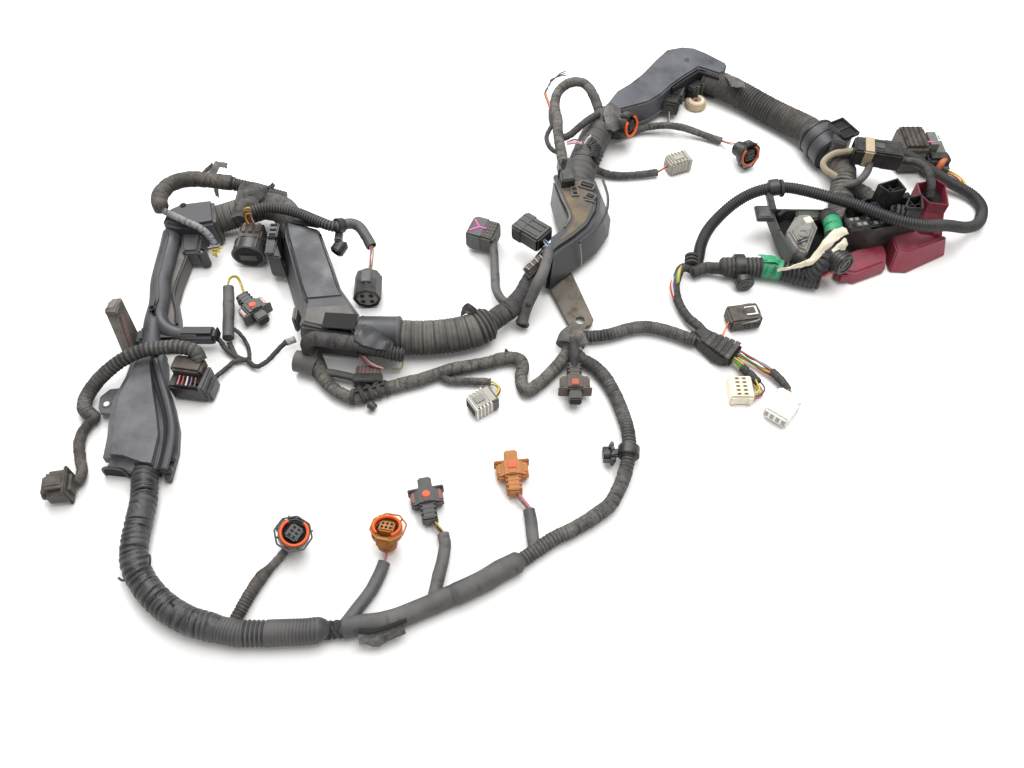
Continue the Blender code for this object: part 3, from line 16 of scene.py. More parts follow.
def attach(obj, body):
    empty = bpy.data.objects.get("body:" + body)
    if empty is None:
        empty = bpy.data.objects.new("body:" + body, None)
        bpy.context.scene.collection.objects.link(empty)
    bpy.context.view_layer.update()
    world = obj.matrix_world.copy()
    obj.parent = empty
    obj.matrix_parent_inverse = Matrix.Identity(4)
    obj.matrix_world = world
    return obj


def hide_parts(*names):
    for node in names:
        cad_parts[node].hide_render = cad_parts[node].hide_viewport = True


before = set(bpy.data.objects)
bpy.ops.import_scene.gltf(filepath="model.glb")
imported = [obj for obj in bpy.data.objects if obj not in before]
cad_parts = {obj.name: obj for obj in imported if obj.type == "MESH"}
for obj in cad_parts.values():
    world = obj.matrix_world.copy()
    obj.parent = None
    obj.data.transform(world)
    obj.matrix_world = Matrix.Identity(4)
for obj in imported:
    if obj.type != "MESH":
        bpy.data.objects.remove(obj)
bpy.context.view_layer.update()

LAYOUT = Matrix.Translation((-0.0089, 0.0242, 0.0))
TAU = 2 * math.pi
MM = 0.001

# Degrees at which an edge stays sharp, on mouldings and on looms
SHARP_MOULDING = 38
SHARP_LOOM = 60


def metres(millimetres):
    """A length in metres, to a tenth of a micrometre."""
    return round(float(millimetres) / 1000, 7)


def mm(places):
    """Places in metres from text in millimetres, such as "10 0 5, 20 0 5"."""
    return [tuple(metres(value) for value in place.split()) for place in places.split(",")]


def pairs(places):
    """Pairs of places on two edges, from text with six numbers to a pair."""
    return [(both[:3], both[3:]) for both in mm(places)]


# The camera: its place in the layout, how far it looks down and its lens on a 36 mm frame
CAMERA_PLACE = (-0.045, -0.5606, 0.6384)
CAMERA_DOWN = 56.0
CAMERA_LENS = 30.0


def linear(colour):
    """A hex sRGB colour as linear RGBA."""
    parts = [int(colour[i:i + 2], 16) / 255 for i in (1, 3, 5)]
    return (*[c / 12.92 if c <= 0.04045 else ((c + 0.055) / 1.055) ** 2.4 for c in parts], 1.0)


def add(tree, kind, options=None, values=None, links=None):
    """Adds a shader node with its options, its sockets' values and its links."""
    node = tree.nodes.new("ShaderNode" + kind)
    for name, value in (options or {}).items():
        setattr(node, name, value)
    for socket, value in (values or {}).items():
        node.inputs[socket].default_value = value
    for socket, source in (links or {}).items():
        tree.links.new(source, node.inputs[socket])
    return node


def begin(name, roughness, metallic=0.0):
    """A new material with its Principled shader set to a roughness and metallic value."""
    made = bpy.data.materials.new(name)
    made.use_nodes = True
    tree = made.node_tree
    shader = tree.nodes["Principled BSDF"]
    shader.inputs["Roughness"].default_value = roughness
    shader.inputs["Metallic"].default_value = metallic
    return made, tree, shader


def ranged(tree, source, low, high, start, end):
    """The source's span from low to high, stretched to run from start to end."""
    return add(tree, "MapRange", values={1: low, 2: high, 3: start, 4: end}, links={0: source}).outputs[0]


def noise(tree, place, grain_mm, detail=2.0, roughness=0.5):
    """Cloudy noise in grains of grain_mm."""
    return add(tree, "TexNoise", values={"Scale": 1 / (grain_mm * MM), "Detail": detail,
        "Roughness": roughness}, links={"Vector": place}).outputs[0]


def mixed(tree, share, under, over):
    """A colour over another by a share; each is a hex colour or a socket."""
    both = {6: under, 7: over}
    fixed = {key: linear(colour) for key, colour in both.items() if isinstance(colour, str)}
    linked = {key: socket for key, socket in both.items() if not isinstance(socket, str)}
    return add(tree, "Mix", {"data_type": "RGBA"}, fixed, {0: share, **linked}).outputs[2]


def relief_of(tree):
    """How high each place of a loom's skin stands, from 0 in a groove to 1 on a crest."""
    return add(tree, "Attribute", {"attribute_name": "relief"}).outputs["Fac"]


def tint_of(shader):
    """What colours the shader so far."""
    return shader.inputs["Base Color"].links[0].from_socket


def dusty(tree, shader, colour, dust, share, patch_mm, relief=None, groove=0.0, everywhere=0.35):
    """Dust lying thicker on upward faces and in patches of patch_mm, over the bare colour, with painted
    shade in a loom's grooves by the groove share.
    It gives back the place that the finish's other reliefs follow."""
    place = add(tree, "TexCoord").outputs["Object"]
    facing = add(tree, "SeparateXYZ", links={0: add(tree, "NewGeometry").outputs["Normal"]})
    upward = ranged(tree, facing.outputs["Z"], -0.3, 0.9, everywhere, 1.0)
    spread = ranged(tree, noise(tree, place, patch_mm, 5.0, 0.62), 0.33, 0.7, 0.15, 1.45)
    laid = add(tree, "Math", {"operation": "MULTIPLY"}, links={0: upward, 1: spread}).outputs[0]
    product = {"operation": "MULTIPLY", "use_clamp": True}
    lying = add(tree, "Math", product, {1: share}, {0: laid}).outputs[0]
    if relief is not None:
        crest = ranged(tree, relief, 0.0, 1.0, 0.25, 1.0)
        lying = add(tree, "Math", product, links={0: lying, 1: crest}).outputs[0]
    tint = mixed(tree, lying, colour, dust)
    # Painted shade: near-black mixed in by the groove share where the relief is low, in grooves, folds and
    # under lap edges
    if relief is not None and groove:
        tint = mixed(tree, ranged(tree, relief, 0.0, 1.0, groove, 0.0), tint, "#0e0e0f")
    tree.links.new(tint, shader.inputs["Base Color"])
    rough = shader.inputs["Roughness"].default_value
    tree.links.new(ranged(tree, lying, 0.0, 1.0, rough, 0.92), shader.inputs["Roughness"])
    return place


def bumped(tree, shader, place, grain_mm, depth_mm, strength, stretch=(1, 1, 1)):
    """A fine relief of grains of grain_mm, depth_mm deep."""
    mapped = add(tree, "Mapping", values={"Scale": stretch}, links={"Vector": place})
    bump = add(tree, "Bump", values={"Strength": strength, "Distance": depth_mm * MM},
               links={"Height": noise(tree, mapped.outputs[0], grain_mm)})
    tree.links.new(bump.outputs[0], shader.inputs["Normal"])


def harness_tape(name, colour, dust, share, groove=0.8):
    """Woven polyester harness tape, glued on in laps: matt, creased, with threads drawn at 0.9 mm, and
    painted shade in its grooves and folds.
    """
    made, tree, shader = begin(name, 0.74)
    place = dusty(tree, shader, colour, dust, share, 18, relief_of(tree), groove)
    threads = add(tree, "TexWave", {"wave_type": "BANDS", "bands_direction": "DIAGONAL"},
                  {"Scale": 1 / (0.9 * MM) / 6.28, "Distortion": 1.5, "Detail": 1.0}, {"Vector": place})
    bump = add(tree, "Bump", values={"Strength": 0.5, "Distance": 0.08 * MM},
               links={"Height": threads.outputs[1]})
    crumple = noise(tree, place, 2.6, 3.0, 0.65)
    creased = add(tree, "Bump", values={"Strength": 0.9, "Distance": 0.45 * MM},
                  links={"Height": crumple, "Normal": bump.outputs[0]})
    tree.links.new(creased.outputs[0], shader.inputs["Normal"])
    # The colour darker in the crumple's hollows and lighter on its tops, following the crease bump
    crumple_tone = ranged(tree, crumple, 0.35, 0.68, 0.72, 1.22)
    speckled = add(tree, "VectorMath", {"operation": "SCALE"}, links={0: tint_of(shader), "Scale": crumple_tone})
    tree.links.new(speckled.outputs[0], shader.inputs["Base Color"])
    return made


def wound_vinyl(name, colour, dust, share):
    """Soft PVC tape, pulled tight over conduit: a low gloss that catches on each wrinkle, and painted shade
    in its grooves and folds.
    """
    made, tree, shader = begin(name, 0.36)
    place = dusty(tree, shader, colour, dust, share, 12, relief_of(tree), 0.85)
    bumped(tree, shader, place, 2.2, 0.45, 0.9)
    return made


def corrugated(name, colour, dust, share, roughness=0.48, groove=0.85):
    """Extruded polypropylene conduit with blown ribs: satin crests, and painted shade in the grooves."""
    made, tree, shader = begin(name, roughness)
    place = dusty(tree, shader, colour, dust, share, 30, relief_of(tree), groove)
    bumped(tree, shader, place, 1.2, 0.05, 0.6)
    return made


def moulded_nylon(name, colour, dust, share, roughness=0.48, patch_mm=34, everywhere=0.3, scuffs=0.25):
    """Injection-moulded glass-filled nylon: fine spark grain, pale scuffs and settled dust."""
    made, tree, shader = begin(name, roughness)
    place = dusty(tree, shader, colour, dust, share, patch_mm, everywhere=everywhere)
    drawn = add(tree, "Mapping", values={"Scale": (1.0, 5.0, 1.0), "Rotation": (0.0, 0.0, 0.6)},
                links={"Vector": place})
    scratch = ranged(tree, noise(tree, drawn.outputs[0], 4.0, 3.0, 0.7), 0.62, 0.78, 0.0, scuffs)
    tree.links.new(mixed(tree, scratch, tint_of(shader), "#8b8984"), shader.inputs["Base Color"])
    bumped(tree, shader, place, 0.9, 0.06, 0.5)
    return made


def plug_nylon(name, colour, dust, share, roughness=0.42):
    """Moulded nylon plug housing: satin, with a little dust in patches of 8 mm."""
    made, tree, shader = begin(name, roughness)
    place = dusty(tree, shader, colour, dust, share, 8, everywhere=0.5)
    bumped(tree, shader, place, 0.7, 0.04, 0.5)
    return made


def soft_seal(name, colour):
    """Silicone rubber seal: even colour, soft sheen."""
    made, tree, shader = begin(name, 0.5)
    dusty(tree, shader, colour, "#9a7a60", 0.12, 6)
    return made


def wire_skin(name, colour):
    """Extruded PVC insulation on a wire: smooth and a little glossy."""
    made, tree, shader = begin(name, 0.38)
    dusty(tree, shader, colour, "#8d857b", 0.18, 7)
    return made


def plated_steel(name, colour, dust, rust):
    """Rolled steel sheet, zinc plated and gone dull, with brown bloom in patches."""
    made, tree, shader = begin(name, 0.45, 0.75)
    place = dusty(tree, shader, colour, dust, 0.55, 18, everywhere=0.7)
    share = ranged(tree, noise(tree, place, 9, 6.0), 0.56, 0.72, 0.0, 0.6)
    tree.links.new(mixed(tree, share, tint_of(shader), rust), shader.inputs["Base Color"])
    bumped(tree, shader, place, 1.5, 0.05, 0.6, (1.0, 0.25, 1.0))
    return made


def shadow_black(name):
    """Painted shade for the unlit inside of a socket, a cut tube, a recess or a slit: a matt near-black."""
    made, tree, shader = begin(name, 0.8)
    shader.inputs["Base Color"].default_value = linear("#0c0c0d")
    return made


TAPE = harness_tape("woven_harness_tape", "#2e2d2e", "#76726d", 0.64)
TAPE_DUSTY = harness_tape("woven_harness_tape_dusty", "#31302f", "#726d67", 0.74)
TAPE_DARK = harness_tape("woven_harness_tape_dark", "#222224", "#5e5a56", 0.5)
TAPE_BROWN = harness_tape("woven_harness_tape_brown", "#2d2b2a", "#655f59", 0.72)
TAPE_PALE = harness_tape("woven_harness_tape_pale", "#8d8c89", "#b0ada7", 0.5, groove=0.2)
VINYL = wound_vinyl("soft_pvc_tape", "#252527", "#615e5b", 0.42)
GREEN_TAPE = wound_vinyl("soft_pvc_tape_green", "#1f8a5c", "#3fa578", 0.3)
CREAM_TAPE = wound_vinyl("soft_pvc_tape_cream", "#c9c1a8", "#e2dcc8", 0.4)
CONDUIT = corrugated("corrugated_conduit", "#2b2b2d", "#6d6862", 0.58)
CONDUIT_BLACK = corrugated("corrugated_conduit_black", "#1f1f21", "#5b5854", 0.42)
CONDUIT_DUSTY = corrugated("corrugated_conduit_dusty", "#333231", "#77726b", 0.78, 0.7, 0.8)
SLEEVE = corrugated("smooth_pvc_sleeve", "#363638", "#716d69", 0.55, 0.5, 0.6)
SLEEVE_GREY = corrugated("smooth_pvc_sleeve_grey", "#424245", "#6e6b67", 0.45, 0.45, 0.5)
CREAM_SLEEVE = corrugated("braided_cream_sleeve", "#b3a78f", "#8d8069", 0.6, 0.8, 0.3)
SHIELD = corrugated("foil_shield", "#6d747a", "#9c9588", 0.6, 0.6, 0.6)
DUCT = moulded_nylon("moulded_nylon_duct", "#3a3b3e", "#7a797c", 0.52, 0.42)
DUCT_BLUE = moulded_nylon("moulded_nylon_duct_clean", "#393a3f", "#66676c", 0.5, 0.36)
DUCT_DEEP = moulded_nylon("moulded_nylon_duct_deep", "#1d1f22", "#4a4a4c", 0.38, 0.3)
DUCT_MID = moulded_nylon("moulded_nylon_duct_mid", "#303135", "#5b5b5e", 0.5, 0.38)
DUCT_DUSTY = moulded_nylon("moulded_nylon_duct_dusty", "#3b3a3a", "#76716b", 0.8, 0.55, 26, 0.5)
DUCT_EARTHY = moulded_nylon("moulded_nylon_duct_earthy", "#2e2e2e", "#7a6a50", 0.62, 0.5, 26, 0.1)
DUCT_BLACK = moulded_nylon("moulded_nylon_duct_black", "#1b1c1e", "#555557", 0.3, 0.38)
DUCT_OLIVE = moulded_nylon("moulded_nylon_duct_olive", "#2f3431", "#5f625a", 0.45)
BLACK = plug_nylon("nylon_plug_black", "#1a1b1d", "#6d6963", 0.22, 0.34)
DUSTY = plug_nylon("nylon_plug_dusty", "#282624", "#6f665c", 0.5, 0.5)
GREY = plug_nylon("nylon_plug_grey", "#6a6966", "#96918a", 0.5)
SLATE = plug_nylon("nylon_plug_slate", "#343539", "#6c6a68", 0.35)
BROWN = plug_nylon("nylon_plug_brown", "#a8641c", "#8f6b40", 0.3)
UMBER = plug_nylon("nylon_plug_umber", "#2c2420", "#70655a", 0.42, 0.4)
WHITE = plug_nylon("nylon_plug_white", "#e9e7e0", "#cfcabc", 0.2)
CREAM = plug_nylon("nylon_plug_cream", "#e6dfcb", "#c4b996", 0.3)
PALE = plug_nylon("nylon_plug_pale_grey", "#98938a", "#aaa397", 0.5)
TAN = plug_nylon("nylon_plug_tan", "#b5a284", "#9a8b72", 0.35)
MAUVE = plug_nylon("nylon_plug_pinkish_brown", "#735450", "#94837c", 0.4)
RUST = plug_nylon("nylon_plug_red_brown", "#7a3a2b", "#8f6b58", 0.35)
PINKISH = plug_nylon("nylon_latch_pinkish", "#b99a96", "#c9b8b2", 0.4)
GREYGREEN = plug_nylon("nylon_plug_grey_green", "#50554f", "#85837a", 0.5)
CLEAR = plug_nylon("nylon_plug_natural", "#e9e9e4", "#d3d0c4", 0.15, 0.25)
SEAL_DULL = soft_seal("silicone_seal_brown_orange", "#b5592b")
RED_SHELL = moulded_nylon("moulded_nylon_red", "#7f1a2e", "#96606a", 0.4, 0.36, 24, 0.4, 0.25)
MARK_ORANGE = plug_nylon("nylon_latch_orange", "#dd4a0a", "#a8502c", 0.1)
MARK_RUSTY = plug_nylon("nylon_latch_rusty_orange", "#a94a24", "#7d5a48", 0.3)
MARK_PINK = wire_skin("paint_mark_pink", "#d05aa0")
MARK_GREEN = wire_skin("paint_mark_green", "#3fae8a")
SEAL = soft_seal("silicone_seal_orange", "#e8560a")
STEEL = plated_steel("zinc_plated_steel", "#65605a", "#756d62", "#4c3c30")
BRIGHT = plated_steel("zinc_plated_bright", "#8d8984", "#8c867c", "#6a5543")
EYELET = plated_steel("dull_brass_eyelet", "#8d7f5f", "#a3936f", "#7a4a22")
RUSTY = moulded_nylon("rust_stained_nylon", "#4b4a48", "#8a8178", 0.8, 0.6, 14, 0.6, 0.6)
SHADOW = shadow_black("socket_shadow")
# Painted shade: a blue-black laid in the open tops of the relays and sockets on the fuse box
SOCKET_SHADE = plug_nylon("socket_shade_blue_black", "#10141f", "#3c4250", 0.15, 0.3)
WIRE = {colour: wire_skin("wire_" + colour, tone) for colour, tone in {
    "red": "#b5352c", "yellow": "#d9bf35", "green": "#3c9a5a", "white": "#dcd8d0", "black": "#242426",
    "blue": "#5c7fb0", "pink": "#c9708c", "purple": "#74508c", "orange": "#de7a2a", "brown": "#7a4a33",
    "grey": "#8a8a8c", "olive": "#a9a04a",
}.items()}


def sections_of(text):
    """A loom's sections from text in millimetres: "tape 9: 0 0 5, 30 0 5; foil 7: 40 0 6, 60 0 6"."""
    parted = [section.split(":") for section in text.split(";")]
    return [(kind.split()[0], metres(kind.split()[1]), mm(places)) for kind, places in parted]


def centreline(sections, steps=12):
    """Close-set places along the smooth curve through the sections' places, their diameters, how far
    along they are, and where each section starts."""
    places = [LAYOUT @ Vector(p) for skin, width, points in sections for p in points]
    widths = [width for skin, width, points in sections for p in points]
    last = len(places) - 1
    headings = [(places[min(i + 1, last)] - places[max(i - 1, 0)]).normalized() for i in range(last + 1)]
    line, breadth = [], []
    for i in range(last):
        run = (places[i + 1] - places[i]).length
        for step in range(steps):
            s = step / steps
            line.append((2 * s ** 3 - 3 * s ** 2 + 1) * places[i] + (s ** 3 - 2 * s ** 2 + s) * run
                * headings[i] + (3 * s ** 2 - 2 * s ** 3) * places[i + 1] + (s ** 3 - s ** 2) * run
                * headings[i + 1])
            breadth.append(widths[i] + (widths[i + 1] - widths[i]) * s)
    line.append(places[-1])
    breadth.append(widths[-1])
    line = np.array(line)
    along = np.concatenate([[0], np.cumsum(np.linalg.norm(np.diff(line, axis=0), axis=1))])
    starts, passed = [], 0
    for skin, width, points in sections:
        starts.append(along[passed * steps])
        passed += len(points)
    return line, np.array(breadth), along, starts


def sampled(line, along, at):
    """Places at given distances along a line."""
    return np.stack([np.interp(at, along, line[:, axis]) for axis in range(3)], axis=1)


def frames(places):
    """Two directions across the line at each place, carried along it without twist."""
    tangents = np.gradient(places, axis=0)
    tangents /= np.linalg.norm(tangents, axis=1, keepdims=True) + 1e-12
    up = np.array([0.0, 0.0, 1.0]) if abs(tangents[0][2]) < 0.9 else np.array([0.0, 1.0, 0.0])
    normals = []
    normal = up - tangents[0] * up.dot(tangents[0])
    for tangent in tangents:
        normal = normal - tangent * normal.dot(tangent)
        normal /= np.linalg.norm(normal)
        normals.append(normal)
    normals = np.array(normals)
    return normals, np.cross(tangents, normals)


def folds(along, turn, seed, spacing, width):
    """Sharp folds at uneven places, each running only part of the way round: 1 at the bottom of a fold."""
    chance = random.Random(seed)
    low, high = float(along.min()), float(along.max())
    depth = np.zeros(np.broadcast(along, turn).shape)
    for index in range(int(low / spacing) - 1, int(high / spacing) + 2):
        at = (index + chance.random()) * spacing
        lean, phase = chance.uniform(-0.0022, 0.0022), chance.uniform(0, TAU)
        reach = chance.uniform(-0.5, 0.8)
        rows = np.abs(along[:, 0] - at) < 4 * width + 0.0025
        if rows.any():
            apart = (along[rows] - at - lean * np.sin(turn + phase)) / width
            here = np.clip(np.cos(turn - phase) + reach, 0, 1) * np.exp(-apart ** 2)
            depth[rows] = np.maximum(depth[rows], here)
    return depth


def ribbed(along, turn, radius, seed, pitch, depth):
    """Blown ribs of a corrugated conduit."""
    wave = 0.5 + 0.5 * np.cos(TAU * along / pitch)
    crest = np.clip(1.7 * wave - 0.35, 0, 1)
    return radius - depth * (1 - crest), crest


def banded(along, turn, radius, seed, pitch, depth):
    """Ribs under bands of tape: shallow on top, full below, with a groove at each band's edge."""
    wave = 0.5 + 0.5 * np.cos(TAU * along / pitch)
    under = np.clip(0.45 - 0.75 * np.cos(turn), 0.22, 1)
    band = (along / (pitch * 2.6) + 0.03 * np.sin(turn + seed) + 0.1 * np.sin(along / 0.013)) % 1.0
    edge = np.clip(np.minimum(band, 1 - band) / 0.09, 0, 1)
    crest = 1 - (1 - np.clip(1.7 * wave - 0.35, 0, 1)) * under
    return radius - depth * (1 - crest) - 0.0006 * (1 - edge), np.minimum(crest, 0.1 + 0.9 * edge)


def lapped(along, turn, radius, seed, width, step):
    """Tape wound in laps over lumpy wires, each edge standing proud by its own thickness, with folds."""
    wander = 0.22 * np.sin(along / 0.013 + seed) + 0.1 * np.sin(along / 0.0047 + 2 * seed)
    phase = (along / width + turn / TAU + wander) % 1.0
    lumps = 0.022 * radius * (np.sin(along / 0.0071 + 2 * turn + seed) + np.sin(along / 0.017 - 3 * turn)
                              + 0.8 * np.sin(along / 0.0034 + turn + 2 * seed))
    fold = folds(along, turn, seed, 0.0075, 0.00055)
    edge = np.clip((1 - phase) / 0.1, 0, 1)
    return radius - step * phase + lumps - 0.0007 * fold, (0.25 + 0.75 * edge) * (1 - 0.85 * fold)


def taped_ribs(along, turn, radius, seed, pitch, depth):
    """Conduit ribs showing through a thin winding of tape."""
    wave = 0.5 + 0.5 * np.cos(TAU * along / pitch)
    lap = (along / 0.0095 + turn / TAU + 0.15 * np.sin(along / 0.011 + seed)) % 1.0
    fill = np.clip(0.6 + 0.45 * np.sin(along / 0.023 + seed) + 0.2 * np.sin(along / 0.009), 0.12, 1)
    fold = folds(along, turn, seed, 0.014, 0.0005)
    crest = 1 - (1 - wave) * fill
    dark = np.minimum(crest, 0.35 + 0.65 * np.clip((1 - lap) / 0.1, 0, 1)) * (1 - 0.8 * fold)
    return radius - depth * (1 - crest) - 0.0003 * lap - 0.0005 * fold, dark


def wrinkled(along, turn, radius, seed, pitch, depth):
    """Tight soft tape over coarse ribs, with folds of uneven depth, spacing and slant."""
    slant = (along + 0.0014 * np.sin(turn + seed) + 0.0009 * np.sin(2 * turn + along / 0.02)
             + 0.0012 * np.sin(along / 0.0083 + seed) + 0.0006 * np.sin(along / 0.0029))
    wave = 0.5 + 0.5 * np.cos(TAU * slant / pitch)
    strength = np.clip(0.5 + 0.5 * np.sin(along / 0.019 + seed) * np.sin(along / 0.0077)
                       + 0.2 * np.sin(turn + along / 0.011), 0.06, 1)
    fold = np.maximum(folds(along, turn, seed, 0.0048, 0.00055), folds(along, turn, seed + 1, 0.0125,
        0.0009))
    crest = 1 - (1 - np.clip(1.5 * wave - 0.1, 0, 1)) * strength
    small = 0.00016 * np.sin(along / 0.0009 + 5 * turn) * np.sin(3 * turn + along / 0.006)
    return radius - depth * (1 - crest) + small - 0.0011 * fold, (0.25 + 0.75 * crest) * (1 - 0.9 * fold)


def fine_ribs(along, turn, radius, seed, pitch, depth):
    """A ribbed sleeve: low ribs worn smooth in places."""
    wave = 0.5 + 0.5 * np.cos(TAU * along / pitch)
    worn = np.clip(0.75 + 0.35 * np.sin(along / 0.011 + seed) + 0.2 * np.cos(turn + along / 0.008), 0.2, 1)
    crest = 1 - (1 - wave) * worn
    return radius - depth * (1 - crest), 0.35 + 0.65 * crest


def plain(along, turn, radius, seed, pitch, depth):
    """Smooth sleeve, a little flattened and dented, with a few soft creases."""
    dent = depth * (np.sin(along / pitch + seed) * np.cos(2 * turn) + 0.4 * np.sin(along / (0.37 * pitch)
        + turn))
    fold = folds(along, turn, seed, 0.016, 0.0006)
    return radius - np.abs(dent) - 0.0004 * fold, 1.0 - 0.6 * fold


# Skins: finish, relief, its pitch or lap and depth in metres, the spacing of rings, sides
SKINS = {
    "tape": (TAPE, lapped, 0.009, 0.00035, 0.0011, 22),
    "tape_fine": (TAPE, lapped, 0.0062, 0.0003, 0.001, 16),
    "tape_dusty": (TAPE_DUSTY, lapped, 0.01, 0.00038, 0.0011, 24),
    "tape_dark": (TAPE_DARK, lapped, 0.008, 0.0003, 0.001, 16),
    "tape_brown": (TAPE_BROWN, lapped, 0.011, 0.00045, 0.0012, 26),
    "tape_pale": (TAPE_PALE, lapped, 0.006, 0.0002, 0.001, 14),
    "wound": (VINYL, wrinkled, 0.0052, 0.0009, 0.0006, 40),
    "wound_dark": (TAPE_DARK, wrinkled, 0.0043, 0.0007, 0.00065, 30),
    "wound_dusty": (TAPE_DUSTY, wrinkled, 0.0058, 0.0008, 0.0007, 32),
    "ribbed_sleeve": (SLEEVE, fine_ribs, 0.0026, 0.0003, 0.0005, 30),
    "grooved_sleeve": (SLEEVE, ribbed, 0.0034, 0.0012, 0.0005, 30),
    "tape_ribbed": (TAPE, taped_ribs, 0.0042, 0.0005, 0.0007, 20),
    "ribbed_brown": (TAPE_BROWN, taped_ribs, 0.0026, 0.0008, 0.0005, 18),
    "fan_ribs": (CONDUIT, banded, 0.0031, 0.0013, 0.0006, 34),
    "corner_flex": (CONDUIT_DUSTY, banded, 0.003, 0.0012, 0.0006, 34),
    "stub": (CONDUIT_BLACK, ribbed, 0.0033, 0.001, 0.0006, 22),
    "taped_ribs": (TAPE, taped_ribs, 0.0031, 0.0006, 0.0006, 18),
    "taped_flex": (TAPE, taped_ribs, 0.004, 0.0007, 0.00075, 26),
    "taped_flex_dusty": (TAPE_BROWN, taped_ribs, 0.0034, 0.0009, 0.00065, 28),
    "conduit": (CONDUIT, ribbed, 0.0029, 0.0008, 0.00048, 18),
    "conduit_black": (CONDUIT_BLACK, ribbed, 0.0025, 0.0007, 0.00042, 16),
    "flex_black": (CONDUIT_BLACK, ribbed, 0.004, 0.0013, 0.00066, 26),
    "flex_dusty": (CONDUIT_DUSTY, ribbed, 0.004, 0.0012, 0.00066, 30),
    "flex_banded": (CONDUIT_DUSTY, banded, 0.0037, 0.0012, 0.00062, 34),
    "sleeve": (SLEEVE, plain, 0.014, 0.0004, 0.002, 18),
    "sleeve_grey": (SLEEVE_GREY, plain, 0.014, 0.0003, 0.002, 18),
    "cream": (CREAM_SLEEVE, lapped, 0.003, 0.00015, 0.0008, 14),
    "foil": (SHIELD, wrinkled, 0.004, 0.0008, 0.0009, 14),
    "green": (GREEN_TAPE, wrinkled, 0.007, 0.0003, 0.001, 22),
}


def piece(name, mesh, finishes, node=None):
    """Puts a mesh in the scene as a piece that rides on the harness and stands for a node."""
    made = bpy.data.objects.new(name, mesh)
    bpy.context.scene.collection.objects.link(made)
    for finish in finishes:
        mesh.materials.append(finish)
    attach(made, "root")
    if node:
        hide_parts(node)
    return made


def tube_faces(count, sides, base):
    """The faces of a tube of count rings, its caps last, over corners numbered from base."""
    ids = np.arange(count * sides).reshape(count, sides) + base
    ahead = np.roll(ids, -1, axis=1)
    quads = np.stack([ids[:-1], ahead[:-1], ahead[1:], ids[1:]], axis=-1).reshape(-1, 4)
    return quads.tolist() + [ids[0][::-1].tolist(), ids[-1].tolist()]


def tube_mesh(name, rings, faces_finish, relief):
    """A closed tube mesh from rings of places, capped at both ends."""
    count, sides = rings.shape[:2]
    mesh = bpy.data.meshes.new(name)
    mesh.from_pydata(rings.reshape(-1, 3).tolist(), [], tube_faces(count, sides, 0))
    finish = np.append(np.repeat(faces_finish[:-1], sides), [faces_finish[0], faces_finish[-1]])
    mesh.polygons.foreach_set("material_index", finish.astype(np.int32))
    heights = mesh.attributes.new("relief", "FLOAT", "POINT").data
    heights.foreach_set("value", relief.reshape(-1).astype(np.float32))
    mesh.shade_smooth()
    mesh.set_sharp_from_angle(angle=math.radians(SHARP_LOOM))
    return mesh


def loom(name, node, sections, diameter=None, bore=0.0):
    """A swept loom."""
    sections = sections_of(sections)
    line, breadth, along, starts = centreline(sections)
    seed = sum(map(ord, name)) * 0.37
    diameter = diameter or sections[0][1]
    ends = starts[1:] + [along[-1]]
    sides = max(SKINS[section[0]][5] for section in sections)
    turn = np.arange(sides) * TAU / sides
    distances, section_of = [], []
    for index, (section, start, end) in enumerate(zip(sections, starts, ends)):
        spacing = SKINS[section[0]][4]
        here = np.linspace(start, end, max(2, int((end - start) / spacing)), endpoint=False)
        distances += here.tolist()
        section_of += [index] * len(here)
    distances.append(along[-1])
    section_of.append(len(sections) - 1)
    distances, section_of = np.array(distances), np.array(section_of)
    places = sampled(line, along, distances)
    widths = np.interp(distances, along, breadth)
    normals, sideways = frames(places)
    radius = np.zeros((len(distances), sides))
    relief = np.zeros((len(distances), sides))
    for index, section in enumerate(sections):
        rows = section_of == index
        shape, pitch, depth = SKINS[section[0]][1:4]
        radius[rows], relief[rows] = shape(distances[rows][:, None], turn[None, :],
            widths[rows][:, None] / 2, seed, pitch, depth)
    around = (normals[:, None, :] * np.cos(turn)[None, :, None]
              + sideways[:, None, :] * np.sin(turn)[None, :, None])
    rings = places[:, None, :] + around * radius[:, :, None]
    if bore:
        inner = places[-1] + around[-1] * bore / 2
        inward = (places[-1] - places[-2]) / np.linalg.norm(places[-1] - places[-2])
        floor = places[-1] - inward * bore * 1.6 + around[-1] * bore / 2
        rings = np.concatenate([rings, inner[None], floor[None]])
        relief = np.concatenate([relief, relief[-1:] * 0.4, relief[-1:] * 0])
        section_of = np.append(section_of, [section_of[-1], section_of[-1]])
    finishes = [SKINS[section[0]][0] for section in sections]
    made = piece(name, tube_mesh(name, rings, section_of, relief), finishes, node)
    return made


def wires(name, node, places, colours, spread=0.0014, thick=0.0014):
    """Insulated wires side by side along a smooth line, one for each word of colours."""
    colours = colours.split()
    line, _, along, _ = centreline([("sleeve", thick, mm(places))])
    distances = np.linspace(0, along[-1], max(6, int(along[-1] / 0.002)))
    places = sampled(line, along, distances)
    normals, sideways = frames(places)
    chance = random.Random(name)
    verts, faces, finish_of = [], [], []
    turn = np.arange(6) * TAU / 6
    for index in range(len(colours)):
        phase = index / len(colours) * TAU + chance.uniform(-0.3, 0.3)
        angle = phase + 0.5 * np.sin(distances / 0.006 + index)
        far = spread * (0.75 + 0.25 * np.sin(distances / 0.009 + phase))
        across = normals * np.cos(angle)[:, None] + sideways * np.sin(angle)[:, None]
        centre = places + across * far[:, None]
        n, s = frames(centre)
        rings = centre[:, None, :] + (n[:, None, :] * np.cos(turn)[None, :, None]
                                      + s[:, None, :] * np.sin(turn)[None, :, None]) * thick / 2
        around = tube_faces(len(rings), 6, len(verts))
        verts += rings.reshape(-1, 3).tolist()
        faces += around
        finish_of += [index] * len(around)
    mesh = bpy.data.meshes.new(name)
    mesh.from_pydata(verts, [], faces)
    mesh.polygons.foreach_set("material_index", finish_of)
    mesh.shade_smooth()
    return piece(name, mesh, [WIRE[colour] for colour in colours], node)


